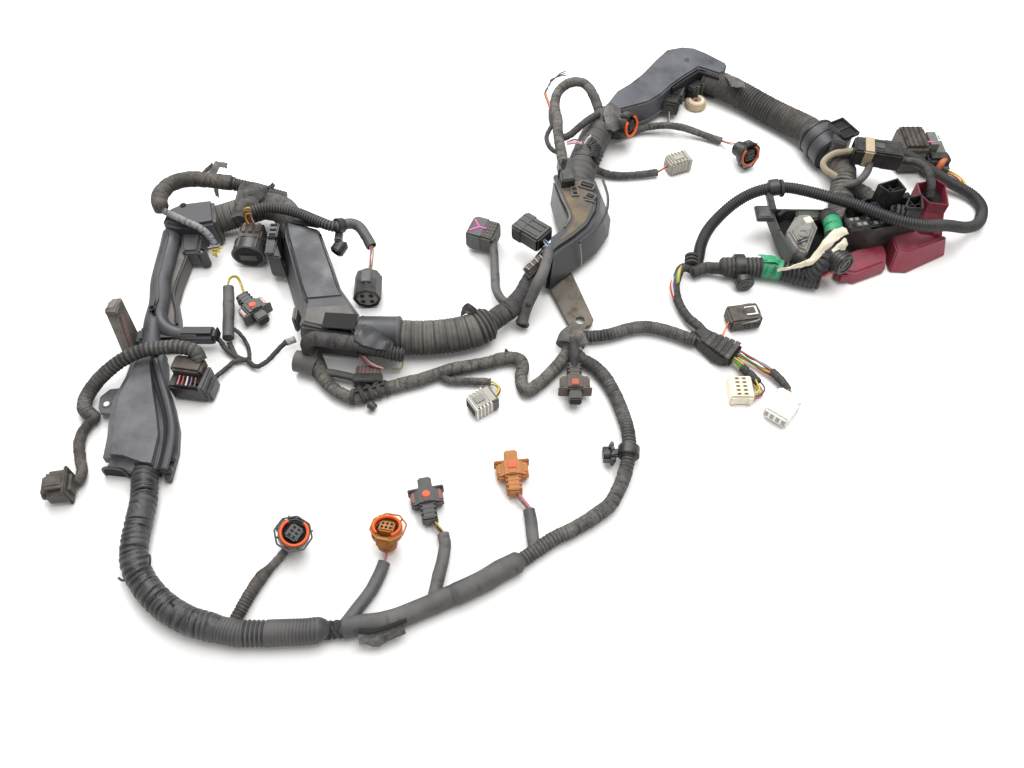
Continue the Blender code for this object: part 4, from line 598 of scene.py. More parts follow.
def turned(yaw=0.0, pitch=0.0, roll=0.0):
    """Degrees: roll about X, pitch lifts +X, yaw swings it round Z."""
    return (Matrix.Rotation(math.radians(yaw), 4, "Z") @ Matrix.Rotation(math.radians(-pitch), 4, "Y")
            @ Matrix.Rotation(math.radians(roll), 4, "X"))


def placed(x, y, z, yaw=0.0, pitch=0.0):
    """A place in the layout with its turn."""
    return Matrix.Translation((x, y, z)) @ turned(yaw, pitch)


def outset(outline, distance):
    """The outline moved outwards by distance, corner by corner."""
    count = len(outline)
    area = sum(outline[i - 1][0] * outline[i][1] - outline[i][0] * outline[i - 1][1] for i in range(count))
    side = -1.0 if area > 0 else 1.0
    moved = []
    for index in range(count):
        here = Vector(outline[index])
        before = (here - Vector(outline[index - 1])).normalized()
        after = (Vector(outline[(index + 1) % count]) - here).normalized()
        bisector = (Vector((-before.y, before.x)) + Vector((-after.y, after.x))).normalized() * side
        share = max(bisector.dot(Vector((-before.y, before.x)) * side), 0.4)
        moved.append(tuple(here + bisector * distance / share))
    return moved


class Moulding:
    """One moulded piece, added up from edged solids that each keep their own finish."""

    def __init__(self, place=Matrix()):
        self.form = bmesh.new()
        self.place = LAYOUT @ place
        self.finishes = []

    def take(self, part, finish, edge, place, segments=2, sharp=50):
        """Rounds a solid's sharp edges and adds it with its finish."""
        if finish not in self.finishes:
            self.finishes.append(finish)
        bmesh.ops.recalc_face_normals(part, faces=part.faces)
        if edge:
            lines = [e for e in part.edges if len(e.link_faces) == 2
                     and e.calc_face_angle(0) > math.radians(sharp)]
            bmesh.ops.bevel(part, geom=lines, offset=edge, segments=segments, affect="EDGES",
                clamp_overlap=True)
        for face in part.faces:
            face.material_index = self.finishes.index(finish)
        mesh = bpy.data.meshes.new("part")
        part.to_mesh(mesh)
        part.free()
        mesh.transform(self.place @ place)
        self.form.from_mesh(mesh)
        bpy.data.meshes.remove(mesh)

    def block(self, centre, size, finish, edge=0.0006, place=Matrix()):
        """A box with rounded edges."""
        part = bmesh.new()
        bmesh.ops.create_cube(part, size=1.0)
        bmesh.ops.scale(part, vec=size, verts=part.verts)
        bmesh.ops.translate(part, vec=centre, verts=part.verts)
        self.take(part, finish, min(edge, 0.4 * min(size)), place)

    def box(self, centre_and_size, finish, edge=0.6, place=Matrix()):
        """A block from its centre and size. Box, tile, bar and slab take all their sizes and places in
        millimetres; block, barrel, outline and the others take metres."""
        centre, size = mm(centre_and_size)
        self.block(centre, size, finish, metres(edge), place)

    def tile(self, size, finish, edge, x, y, z, yaw):
        """A block turned round its own centre."""
        self.block((0, 0, 0), mm(size)[0], finish, metres(edge), placed(metres(x), metres(y), metres(z),
            yaw))

    def bar(self, ends, diameter, finish, edge=0.5, place=Matrix(), sides=32, far=0, bore=0, deep=0,
            inside=None):
        """A barrel between two places."""
        start, end = mm(ends)
        self.barrel(start, end, metres(diameter), finish, metres(edge), place, sides, metres(far or 0),
                    metres(bore), metres(deep), inside)

    def slab(self, outline, grow, low, high, finish, edge=2.0, place=Matrix(), segments=3):
        """A solid from an outline up to the same outline grown, or shrunk when grow is below zero."""
        head = outset(outline, metres(grow)) if grow else outline
        self.outline(outline, head, metres(low), metres(high), finish, metres(edge), place, segments)

    def barrel(self, start, end, diameter, finish, edge=0.0005, place=Matrix(), sides=32, far=None,
            bore=0.0, deep=0.0, inside=None):
        """A round bar, or a tube when it has a bore; far is the diameter at its end. A bore goes
        deep metres in from the end, and its floor takes the inside finish."""
        start, axis = Vector(start), Vector(end) - Vector(start)
        turn = axis.to_track_quat("Z", "Y").to_matrix().to_4x4()
        part = bmesh.new()
        profile = [(diameter / 2, 0.0), ((far or diameter) / 2, axis.length)]
        rings = []
        if bore:
            profile += [(bore / 2, axis.length), (bore / 2, axis.length - (deep or axis.length * 0.6))]
        for radius, height in profile:
            rings.append([part.verts.new((radius * math.cos(TAU * i / sides),
                radius * math.sin(TAU * i / sides), height)) for i in range(sides)])
        for low, high in zip(rings, rings[1:]):
            for i in range(sides):
                part.faces.new((low[i], low[(i + 1) % sides], high[(i + 1) % sides], high[i]))
        part.faces.new(rings[0][::-1])
        floor = part.faces.new(rings[-1])
        if bore and inside:
            if inside not in self.finishes:
                self.finishes.append(inside)
        bmesh.ops.transform(part, matrix=Matrix.Translation(start) @ turn, verts=part.verts)
        floor_tag = tuple(floor.calc_center_median())
        self.take(part, finish, edge, place)
        if bore and inside:
            where = self.place @ place @ Vector(floor_tag)
            self.form.faces.ensure_lookup_table()
            nearest = min(self.form.faces[-(sides * 6):] if len(self.form.faces) > sides * 6
                else self.form.faces, key=lambda face: (face.calc_center_median() - where).length
                if len(face.verts) >= sides else 9)
            nearest.material_index = self.finishes.index(inside)

    def outline(self, foot, head, low, high, finish, edge=0.002, place=Matrix(), segments=3):
        """A solid between a foot outline at height low and a head outline at height high."""
        part = bmesh.new()
        lower = [part.verts.new((x, y, low)) for x, y in foot]
        upper = [part.verts.new((x, y, high)) for x, y in head]
        part.faces.new(lower)
        part.faces.new(upper)
        for i in range(len(lower)):
            j = (i + 1) % len(lower)
            part.faces.new((lower[i], lower[j], upper[j], upper[i]))
        self.take(part, finish, edge, place, segments, 40)

    def rod(self, points, diameter, finish, place=Matrix(), closed=False, sides=8, flat=1.0, smooth=6):
        """A bent rod or strip through points; flat squashes it along its first cross direction."""
        spots = [Vector(point) for point in points]
        if smooth > 1:
            count, path = len(spots), []
            for i in range(count if closed else count - 1):
                a, b = spots[i], spots[(i + 1) % count]
                before = spots[i - 1] if closed or i else a
                after = spots[(i + 2) % count] if closed or i + 2 < count else b
                for step in range(smooth):
                    s = step / smooth
                    path.append(0.5 * ((2 * a) + (b - before) * s + (2 * before - 5 * a + 4 * b - after) * s
                        * s + (3 * a - before - 3 * b + after) * s ** 3))
            if not closed:
                path.append(spots[-1])
            spots = path
        line = np.array(spots)
        if closed:
            line = np.concatenate([line, line[:1]])
        normals, sideways = frames(line)
        turn = np.arange(sides) * TAU / sides
        rings = line[:, None, :] + diameter / 2 * (flat * normals[:, None, :] * np.cos(turn)[None, :, None]
                                                   + sideways[:, None, :] * np.sin(turn)[None, :, None])
        part = bmesh.new()
        made = [[part.verts.new(vert) for vert in ring] for ring in (rings[:-1] if closed else rings)]
        if closed:
            made.append(made[0])
        for low, high in zip(made, made[1:]):
            for i in range(sides):
                part.faces.new((low[i], low[(i + 1) % sides], high[(i + 1) % sides], high[i]))
        if not closed:
            part.faces.new(made[0][::-1])
            part.faces.new(made[-1])
        self.take(part, finish, 0.0, place)

    def walls(self, outline, low, high, thick, finish):
        """Upright walls along an outline, open at the top."""
        for index, corner in enumerate(outline):
            near, far = Vector(outline[index - 1]), Vector(corner)
            run, middle = far - near, (near + far) / 2
            self.block((0, 0, 0), (run.length + thick, thick, high - low), finish, 0.0004,
                       Matrix.Translation((*middle, (low + high) / 2))
                       @ turned(math.degrees(math.atan2(run.y, run.x))))

    def sheet(self, edge_pairs, finish, bow=0.0012, thick=0.0005):
        """A thin torn strip between pairs of edge places, bowed and crumpled."""
        edges = np.array(edge_pairs)
        count, columns = len(edges), 9
        at = np.linspace(0, count - 1, 6 * (count - 1) + 1)
        left, right = (sampled(edges[:, side], np.arange(count), at) for side in (0, 1))
        ragged = random.Random(count + float(edges[0, 0, 0]))
        left, right = ([spot + [0, ragged.uniform(-0.0006, 0.0006), 0] for spot in side] for side in (left,
            right))
        left, right = np.array(left), np.array(right)
        across = np.linspace(0, 1, columns)
        top = left[:, None, :] * (1 - across)[None, :, None] + right[:, None, :] * across[None, :, None]
        top[..., 2] += bow * np.sin(np.pi * across) + 0.0006 * np.sin(5 * at[:, None] + 7
            * across) + 0.0003 * np.sin(17 * at[:, None] - 9 * across)
        part = bmesh.new()
        grids = [[[part.verts.new(spot + [0, 0, drop]) for spot in row] for row in top] for drop in (0,
            -thick)]
        for grid in grids:
            for one, two in zip(grid, grid[1:]):
                for i in range(columns - 1):
                    part.faces.new((one[i], one[i + 1], two[i + 1], two[i]))
        upper, lower = grids
        rim = [[g[0][i] for i in range(columns)] + [r[-1] for r in g[1:]] + g[-1][-2::-1]
            + [r[0] for r in g[-2:0:-1]] for g in (upper, lower)]
        for i in range(len(rim[0])):
            part.faces.new((rim[0][i - 1], rim[0][i], rim[1][i], rim[1][i - 1]))
        self.take(part, finish, 0.0, Matrix())

    def made(self, name, node=None, slot="black_nylon"):
        """The finished piece, standing for its CAD node."""
        mesh = bpy.data.meshes.new(name)
        self.form.to_mesh(mesh)
        self.form.free()
        mesh.shade_smooth()
        mesh.set_sharp_from_angle(angle=math.radians(SHARP_MOULDING))
        relief = mesh.attributes.new("relief", "FLOAT", "POINT").data
        relief.foreach_set("value", [1.0] * len(relief))
        piece(name, mesh, self.finishes, node)


# Moulded outlines, seen from above
RISER_STRIP = mm("-390 37, -387 18, -386 -8, -385 -29, -379 -55, -382 -80, -362 -80, -366 -50, -371 -24, "
    "-372 7, -373 34")
RISER_STEP = mm("-375 34, -376 -24, -372 -80, -351 -80, -356 -60, -363 -41, -363 -22, -361 2, -360 34")
CORNER_BOX = mm("-388 58, -376 67, -343 73, -333 37, -352 32, -373 30, -390 36")
RISER_BLOCK = mm("-374 36, -350 36, -348 8, -366 7")
RISER_BASE = mm("-390 -76, -389 -99.7, -345 -97.5, -347 -74")
RISER_STUB = mm("-350 -78.5, -350 -94, -314.5 -94, -314.5 -78.5")
TAB_FOOT = mm("-398 -108, -390.5 -109, -390.5 -80, -394 -78")
TAB_HEAD = mm("-404 -88, -395 -86, -391 -73, -400 -74")
MIDDLE_DUCT_FOOT = mm("-277 36, -273 10, -260 -25, -246 -62, -240 -80, -239 -95, -210 -100, -183 -104, "
    "-183 -74, -192 -62, -202 -47, -214 -15, -230 27")
MIDDLE_DUCT_ROOF = mm("-267 38, -263 18, -255 -5, -241 -46, -233 -66, -235 -92, -210 -97, -183 -101, "
    "-183 -78, -193 -63, -203 -48, -215 -16, -231 25")
RELAY_BLOCK = mm("-281.5 33, -272 36, -270 8, -262 -12, -278 -9, -281.5 6")
RIGHT_DUCT_FOOT_OUTLINE = mm("-6 91, -1 60, 5 34, 0 20, -11 10, -18 -14, -12 -31, 3 -15, 22 2, 40 20, "
    "53 43, 57 66, 51 95")
RIGHT_DUCT_ROOF_OUTLINE = mm("-4 89, 2 60, 9 35, 3 21, -7 12, -10 -8, -8 -14, 1 -4, 16 9, 29 23, 39 44, "
    "42 65, 37 92")
RIGHT_DUCT_BLOCK = mm("0 108, 16 111, 18 77, 4 74")
BRACKET_OUTLINE = mm("-9 -22, 12 2, 32 -61, 29 -68, 15.5 -74.5, 9.5 -71")
UPPER_DUCT = mm("59 219, 72 242, 87 255, 103 273, 121 299, 135 317, 153 322, 167 320, 181 310, 202 290, "
    "197 274, 190 270, 168 282, 151 267, 134 250, 122 235, 106 221, 84 212, 68 206")
UPPER_DUCT_LUG = mm("156 258, 177 258, 178 282, 160 284")
CLAMP_HOLDER = mm("287 140, 291 164, 304 178, 311 150, 299 133")
FUSE_BOX = mm("277 41, 281 30, 303 20, 326 27, 344 32.5, 355 36, 356 60, 341 74, 306 66, 283 54")
RELAY_ONE = mm("309 62, 331 71, 336 55, 318 50")
RELAY_TWO = mm("332 38, 350 36, 354.5 57, 340 53")
RED_RIGHT_FOOT = mm("357.5 34, 387 30, 391 66, 384 79, 352 75, 352 55")
RED_RIGHT_HEAD = mm("360 48, 379 45, 384 74, 377 82, 355 77, 354 60")
RED_FRONT_FOOT = mm("326.8 31, 350 40, 357.2 41, 357.2 34, 388 30, 390 25, 344 1, 326.8 2")
RED_FRONT_HEAD = mm("329 31, 350 40, 356.5 41, 357 34, 382 31, 383 28, 341 10, 329 11")
RED_LEFT_FOOT = mm("268 -8, 288 -14, 323 1, 326.5 14, 326.5 32, 304 26, 276 12")
RED_LEFT_HEAD = mm("271 -6, 288 -10, 320 4, 323.5 15, 324 32, 304 26, 278 13")
BOWL_FOOT = mm("220 58, 222 30, 228 4, 238 -5.5, 254 6, 268 30, 264 58")
BOWL_HEAD = mm("213 62, 216 32, 225 0, 238 -9, 258 7, 274 32, 268 61")
GREY_PLUG = mm("219 23, 234 47, 249 48, 253 29, 236 -6, 226 -1")
SHROUD = mm("116.5 -80, 134 -75.5, 148 -85, 163 -98, 161 -106, 148 -114, 137 -108")
WING = mm("-243 -114, -236 -106.5, -217 -110, -219 -126, -232 -122")


def ring_plug(name, rear, yaw, pitch, body, ring, insert, slot, bail=None, gap=125):
    """A sealed round plug: ribbed neck, seal barrel, C-shaped coloured ring, dark socket with its pins,
    and a bent wire bail round the face where it has one."""
    plug = Moulding(placed(*rear, yaw, pitch))
    plug.bar("0.2 0 0, 14.5 0 0", 15.4, body, 0.8)
    for i in range(3):
        plug.barrel((0.0025 + 0.0036 * i, 0, 0), (0.004 + 0.0036 * i, 0, 0), 0.016, body, 0.0004)
    plug.bar("13.6 0 0, 22.8 0 0", 24.6, body, 1, sides=40, bore=20.6, deep=5, inside=SHADOW)
    arc = [(0.0226, 0.0104 * math.cos(a), 0.0104 * math.sin(a)) for a in
           [math.radians(gap + 290 * i / 22) for i in range(23)]]
    plug.rod(arc, 0.0032, ring, flat=0.8, smooth=1, sides=10)
    plug.box("19.6 0 0, 8 11.8 10.8", insert, 1.2)
    columns, rows = 3, 2
    for i in range(columns):
        for j in range(rows):
            y, z = (i - (columns - 1) / 2) * 0.0034, (j - (rows - 1) / 2) * 0.004
            plug.block((0.0237, y, z), (0.0006, 0.002, 0.0024), SHADOW, 0.0002)
    plug.box("17.5 0 12.2, 9.2 10 4", body, 1)
    plug.box("17.5 0 14.1, 5 6.6 1.2", insert, 0.4)
    if bail:
        reach = [(0.0222, 0.0142 * math.cos(a) - 0.0012, 0.0148 * math.sin(a)) for a in
                 [math.radians(22.5 + 45 * i) for i in range(8)]]
        corners = []
        for i, point in enumerate(reach):
            ahead = reach[(i + 1) % 8]
            corners += [tuple(Vector(point).lerp(Vector(ahead), t)) for t in (0.08, 0.5, 0.92)]
        plug.rod(corners, 0.0015, bail, closed=True, smooth=2)
        for a in (0.9, 2.4, 4.0, 5.4):
            plug.rod([(0.017, 0.012 * math.cos(a), 0.012 * math.sin(a)), (0.0222, 0.014 * math.cos(a),
                0.014 * math.sin(a))], 0.0014, bail, smooth=1)
    plug.made(name + "_shell", name, slot)


def cross_plug(name, rear, yaw, body, side, mark, square, slot, nose=None):
    """A flat plug: neck, cross wings with latch slots, coloured mark on top, flange and open nose."""
    plug = Moulding(placed(*rear, yaw))
    width, height = 0.027, 0.015
    plug.box("8 0 0, 15.8 12 11.8", body, 1.6)
    for i in range(3):
        plug.block((0.003 + 0.004 * i, 0, 0), (0.0016, 0.0128, 0.0124), body, 0.0005)
    plug.block((0.022, 0, 0), (0.015, width * 0.98, height * 0.62), body, 0.0016)
    plug.block((0.0222, 0, 0.0005), (0.0158, width * 0.62, height * 0.94), body, 0.0018)
    plug.box("22.2 0 6.8, 13 7.5 3", body, 0.9)
    for y in (-0.0108, 0.0108):
        plug.block((0.0222, y, 0.0036), (0.01, 0.0036, 0.0034), side, 0.0009)
    plug.block((0.029, 0, 0), (0.0022, width * 1.1, height * 0.82), body, 0.0007)
    plug.block((0.0345, 0, 0), (0.0108, width * 0.42, height * 0.7), nose or body, 0.0012)
    plug.block((0.0396, 0, 0), (0.0012, width * 0.32, height * 0.48), SHADOW, 0.0003)
    if square:
        plug.box("24 0 8.4, 6.6 6.6 1.6", mark, 0.6)
    else:
        plug.bar("22.5 0 7.2, 22.5 0 9.1", 6.4, mark, 0.6)
    plug.made(name + "_shell", name, slot)


def block_plug(name, rear, yaw, size, body, slot, extras, edge=0.0018):
    """A housing built up from a rounded block in its own frame by the calls in extras."""
    plug = Moulding(placed(*rear, yaw))
    length, width, height = size
    plug.block((length / 2, 0, 0), (length * 0.985, width * 0.94, height * 0.94), body, edge)
    extras(plug, length, width, height)
    plug.made(name + "_shell", name, slot)


def ribs_across(plug, finish, start, end, count, width, height):
    for i in range(count):
        at = start + (end - start) * i / max(count - 1, 1)
        plug.block((at, 0, 0), (0.0011, width, height), finish, 0.0004)


def left_end(plug, length, width, height):
    for y in (-0.0058, 0.0058):
        plug.barrel((length - 0.003, y, 0.0), (length - 0.0001, y, 0.0), 0.0085, SLATE, 0.0006, bore=0.0056,
            deep=0.0026, inside=SHADOW)
    plug.block((0.013, 0, height * 0.44), (0.015, 0.01, 0.0026), DUSTY, 0.0008)
    plug.block((0.004, 0, 0), (0.003, width * 0.99, height * 0.99), DUSTY, 0.001)


def oval(plug, length, width, height):
    wide = Matrix.Diagonal((1.0, 1.15, 0.98, 1.0))
    plug.barrel((length - 0.015, 0, 0), (length - 0.0001, 0, 0), 0.0285, BLACK, 0.0012, wide, 40, None,
        0.024, 0.008, SHADOW)
    plug.barrel((length - 0.0165, 0, 0), (length - 0.0135, 0, 0), 0.0292, BLACK, 0.0008, wide, 40)
    plug.barrel((length - 0.002, 0, 0), (length - 0.0001, 0, 0), 0.0292, SLATE, 0.0006, wide, 40, None,
        0.0244, 0.0018, SHADOW)
    plug.barrel((length - 0.0012, 0, 0), (length - 0.0002, 0, 0), 0.0238, SHADOW, 0.0, wide, 40)
    plug.block((length, 0, -0.001), (0.0016, 0.017, 0.008), BLACK, 0.0006)
    for y in (-0.0065, 0.0, 0.0065):
        plug.block((0.007, y, height * 0.46), (0.013, 0.005, 0.004), UMBER, 0.001)
        plug.block((0.004, y, height * 0.5), (0.004, 0.003, 0.003), RUST, 0.0006)
    ribs_across(plug, DUSTY, 0.0025, 0.0085, 3, width * 0.98, height * 0.98)


def grey_square(plug, length, width, height):
    ribs_across(plug, CLEAR, 0.008, 0.022, 5, width * 0.99, height * 0.99)
    plug.block((0.0035, 0, 0), (0.0068, width * 0.99, height * 0.9), SLATE, 0.001)
    plug.block((0.015, 0, height * 0.46), (0.01, 0.008, 0.0022), GREY, 0.0007)
    plug.block((length - 0.0003, 0, 0), (0.001, width * 0.7, height * 0.6), SHADOW, 0.0003)


def pink_mark(plug, length, width, height):
    top = height * 0.48
    plug.block((0.019, 0, 0), (0.015, width * 0.99, height * 0.99), SLATE, 0.0016)
    for i in range(4):
        for j in range(5):
            plug.block((0.003 + 0.0026 * i, (j - 2) * 0.0044, top), (0.0013, 0.0026, 0.001), BLACK, 0.0003)
    for a, b in (((0.0105, 0.001), (0.018, 0.001)), ((0.018, 0.001), (0.0255, 0.0085)), ((0.018, 0.001),
            (0.0255, -0.007))):
        plug.rod([(a[0], a[1], top + 0.0002), ((a[0] + b[0]) / 2, (a[1] + b[1]) / 2, top + 0.0003),
            (b[0], b[1], top + 0.0002)], 0.0022, MARK_PINK, smooth=2)
    plug.block((length - 0.0003, 0, 0), (0.001, width * 0.72, height * 0.55), SHADOW, 0.0003)


def blue_wires(plug, length, width, height):
    for y in (-0.0072, 0.0, 0.0072):
        plug.block((0.0185, y, height * 0.47), (0.027, 0.0026, 0.0016), BLACK, 0.0005)
    plug.block((0.026, 0, 0), (0.012, width * 0.99, height * 0.99), BLACK, 0.0014)
    for j in (-1, 1):
        for i in range(5):
            plug.block((length - 0.0002, (i - 2) * 0.004, j * 0.0036), (0.0008, 0.0026, 0.0032), SHADOW,
                0.0002)


def upper_oval(plug, length, width, height):
    plug.block((length - 0.013, 0, 0), (0.025, 0.0214, 0.0192), BLACK, 0.006)
    plug.box("3 0 0, 8 11 11", DUSTY, 2)
    for y in (-0.0078, 0.0078):
        plug.block((length - 0.012, y, 0.0075), (0.015, 0.0026, 0.003), SLATE, 0.0006)
    plug.block((length - 0.01, 0, 0.0088), (0.011, 0.011, 0.0024), BLACK, 0.0009)
    plug.block((length - 0.009, 0, 0.01), (0.005, 0.0064, 0.0006), SHADOW, 0.0002)
    plug.block((length - 0.0002, 0, 0), (0.001, 0.015, 0.012), SHADOW, 0.0003)
    ribs_across(plug, SLATE, 0.003, 0.011, 3, width * 0.98, height * 0.98)


def upper_grey(plug, length, width, height):
    ribs_across(plug, PALE, 0.0045, 0.0205, 5, width * 0.99, height * 0.99)
    plug.block((length - 0.003, 0, 0), (0.0056, width * 0.99, height * 0.96), PALE, 0.0012)
    plug.block((length - 0.0003, 0, 0), (0.001, width * 0.66, height * 0.55), SHADOW, 0.0003)
    plug.block((0.0125, 0, height * 0.45), (0.013, 0.007, 0.0024), PALE, 0.0007)


def bail_brown(plug, length, width, height):
    tall = Matrix.Diagonal((1.0, 1.0, 0.7, 1.0))
    plug.bar("12 0 0, 30 0 0", 23.6, BLACK, 1.6, tall, 8)
    plug.bar("17.5 0 0, 21.5 0 0", 25.2, DUSTY, 0.8, tall, 8)
    plug.rod(mm("10 -9.8 4, 24 -10.4 5.6, 29.6 -6 6, 30.6 0 5.6, 29.6 6 6, 24 10.4 5.6, 10 9.8 4"), 0.0014,
        PALE, smooth=3)
    plug.box("21.5 0 8.6, 11 10 1.2", WHITE, 0.4)
    plug.box("20.5 0 9.2, 9 7.2 1.2", SLATE, 0.4)
    plug.block((length - 0.0003, 0, 0), (0.001, width * 0.7, height * 0.6), SHADOW, 0.0003)


def clear(plug, length, width, height):
    for i in range(4):
        plug.block((0.02, (i - 1.5) * 0.0054, height * 0.46), (0.017, 0.0036, 0.0014), CLEAR, 0.0005)
    plug.block((0.006, 0, 0), (0.0028, width * 0.99, height * 0.99), CLEAR, 0.0008)
    for i in range(4):
        plug.block((length - 0.0002, (i - 1.5) * 0.0054, 0), (0.0008, 0.0034, 0.006), PALE, 0.0002)


def joined(plug, length, width, height):
    plug.block((0.015, 0, 0), (0.012, width * 0.99, height * 0.99), TAN, 0.0016)
    plug.block((0.038, 0, 0), (0.019, width * 0.97, height * 0.97), BLACK, 0.0018)
    for y in (-0.007, 0.007):
        plug.block((0.031, y, height * 0.46), (0.024, 0.0036, 0.0016), BLACK, 0.0005)
    plug.block((0.025, 0, height * 0.47), (0.01, 0.009, 0.0018), SLATE, 0.0006)
    plug.bar("44 4 7.5, 44 4 10", 6, SLATE, 0.5, bore=3.6, deep=1)


def left_plugs():
    block_plug("plug_left_end", (-0.4045, -0.237, 0.0115), 190, (0.024, 0.026, 0.022), DUSTY, "black_nylon",
        left_end, edge=0.005)
    body = Moulding(placed(-0.3285, -0.136, 0.0, -9))
    body.box("0 0 11, 32.5 25.5 19", BLACK, 1.8)
    body.box("-2 8 24, 28 16.5 12", DUSTY, 2.2)
    body.box("14.8 -1 15, 5.2 25 17", SLATE, 1.4)
    body.box("17.2 -2 8, 7.8 19 12.5", SLATE, 1.2)
    body.box("1 -6.5 20.8, 22 10 1.4", SHADOW, 0.4)
    for i in range(5):
        body.rod([(-0.007 + 0.0038 * i, -0.01, 0.0213), (-0.0068 + 0.0038 * i, -0.006, 0.0224),
            (-0.0066 + 0.0036 * i, -0.002, 0.024)], 0.0014,
            WIRE[("pink", "red", "white", "purple", "brown")[i]], smooth=3)
    for y in (-0.0075, 0.004):
        body.block((0.009, y, 0.0205), (0.012, 0.003, 0.002), SLATE, 0.0006)
    body.made("plug_left_duct_shell", "plug_left_duct")
    cross_plug("plug_stub_cross", (-0.303, -0.036, 0.01), -48, BLACK, PINKISH, MARK_ORANGE, False,
        "black_nylon")
    block_plug("plug_oval", (-0.301, 0.043, 0.016), -93, (0.034, 0.024, 0.026), DUSTY, "black_nylon", oval)


def middle_plugs():
    four = Moulding(placed(-0.1832, -0.013, 0.0135, -88))
    four.bar("0.2 0 0, 25 0 0", 26.2, SLATE, 1.6, sides=8)
    four.bar("12 0 0, 29.7 0 0", 26.6, BLACK, 1.2, sides=8, bore=23.5, deep=3, inside=SHADOW)
    four.bar("20 0 0, 28.8 0 0", 21.5, GREY, 1, sides=8)
    for y in (-0.0042, 0.0042):
        for z in (-0.004, 0.004):
            four.barrel((0.0284, y, z), (0.0291, y, z), 0.0046, SHADOW, 0.0001, sides=18)
    four.box("12 0 12.8, 15 9 3", SLATE, 0.9)
    four.box("4 0 0, 5 20 20", SLATE, 3)
    four.made("plug_four_pin_shell", "plug_four_pin", "grey_nylon")
    twin = Moulding()
    twin.box("-173 -132.5 8, 25.6 8.6 13.6", BLACK, 1)
    twin.box("-174 -124 8, 21.6 9.2 11.6", MAUVE, 1)
    for i in range(6):
        twin.block((-0.1825 + 0.0034 * i, -0.124, 0.0082), (0.0014, 0.0096, 0.0118), DUSTY, 0.0004)
        twin.block((-0.1838 + 0.0044 * i, -0.1325, 0.0082), (0.0018, 0.009, 0.0137), BLACK, 0.0005)
    twin.made("plug_flat_twin_shell", "plug_flat_twin")
    block_plug("plug_grey_square", (-0.061, -0.149, 0.0095), -147, (0.024, 0.02, 0.016), PALE, "grey_nylon",
        grey_square)
    block_plug("plug_pink_mark", (-0.06, 0.035, 0.015), 160, (0.029, 0.028, 0.021), DUSTY, "black_nylon",
        pink_mark)
    block_plug("plug_blue_wires", (-0.013, 0.012, 0.036), 140, (0.034, 0.026, 0.018), BLACK, "black_nylon",
        blue_wires)
    cross_plug("plug_junction_cross", (0.0104, -0.118, 0.013), -90, UMBER, UMBER, MARK_RUSTY, True,
        "black_nylon", BLACK)


def front_plugs():
    ring_plug("plug_front_ring_black", (-0.22, -0.283, 0.0045), -28, 72, BLACK, SEAL, BLACK, "black_nylon",
        bail=SLATE, gap=60)
    ring_plug("plug_front_ring_brown", (-0.1437, -0.289, 0.0055), 80, 70, BROWN, SEAL, BROWN, "brown_nylon",
        bail=BROWN)
    cross_plug("plug_front_cross_black", (-0.1102, -0.2705, 0.0085), 101, BLACK, RUST, MARK_ORANGE, False,
        "black_nylon")
    cross_plug("plug_front_cross_brown", (-0.0425, -0.2453, 0.0085), 96, BROWN, BROWN, MARK_ORANGE, True,
        "brown_nylon", BROWN)


def upper_plugs():
    ring_plug("plug_upper_ring", (0.0665, 0.1985, 0.025), -38, 14, BLACK, SEAL, BLACK, "black_nylon")
    block_plug("plug_upper_oval", (0.1325, 0.233, 0.015), 71, (0.036, 0.018, 0.018), BLACK, "black_nylon",
        upper_oval)
    ring_plug("plug_upper_ring_small", (0.199, 0.17, 0.014), -62, 14, BLACK, SEAL_DULL, SLATE,
        "black_nylon", bail=BLACK)
    block_plug("plug_upper_grey", (0.1217, 0.1467, 0.009), 22, (0.026, 0.019, 0.016), PALE, "grey_nylon",
        upper_grey)


def right_plugs():
    block_plug("plug_bail_brown", (0.1567, -0.0625, 0.009), 9, (0.031, 0.022, 0.016), DUSTY, "black_nylon",
        bail_brown)
    white = Moulding()
    white.box("157.5 -141 6.6, 20.5 23.5 11.8", CREAM, 1)
    white.box("157.5 -141 12.2, 19 21.5 1.8", CREAM, 0.5)
    for i in range(2):
        for j in range(5):
            white.block((0.1545 + 0.0062 * i, -0.1492 + 0.0041 * j, 0.013), (0.0042, 0.0024, 0.001), TAN,
                0.0003)
            white.block((0.1545 + 0.0062 * i, -0.1492 + 0.0041 * j, 0.0134), (0.0026, 0.0012, 0.0004),
                SHADOW, 0.0001)
    for x in (0.15, 0.165):
        white.block((x, -0.1531, 0.007), (0.004, 0.0014, 0.009), CREAM, 0.0004)
    white.made("plug_white_shell", "plug_white_ten_way", "white_nylon")
    block_plug("plug_clear", (0.201, -0.148, 0.008), -128, (0.03, 0.024, 0.014), CLEAR, "white_nylon",
        clear)
    block_plug("joined_plug", (0.3068, 0.1337, 0.042), -12.5, (0.049, 0.025, 0.021), BLACK, "black_nylon",
        joined)
    booted = Moulding()
    booted.box("381.5 161.5 19, 29 37 35.6", UMBER, 3.4)
    booted.box("400 159 18.8, 33 44 35.2", GREYGREEN, 12)
    booted.box("406 142 16, 24 15 24", BLACK, 3)
    booted.bar("408 139 18, 412 135 18", 20, SEAL_DULL, 1)
    booted.bar("406 142 14, 418 133 14", 14.8, BLACK, 1.6, far=10.5)
    booted.box("396 153 36.4, 8 2 0.8", MARK_PINK, 0.3)
    booted.box("406 160 36.4, 1.8 7 0.8", MARK_GREEN, 0.3)
    for i in range(4):
        booted.block((0.3725 + 0.0052 * i, 0.1615, 0.0369), (0.0024, 0.03, 0.0014), BLACK, 0.0004)
    booted.box("383 142.5 23, 18 3 12", SLATE, 0.9)
    booted.made("plug_booted_shell", "plug_booted", "grey_nylon")


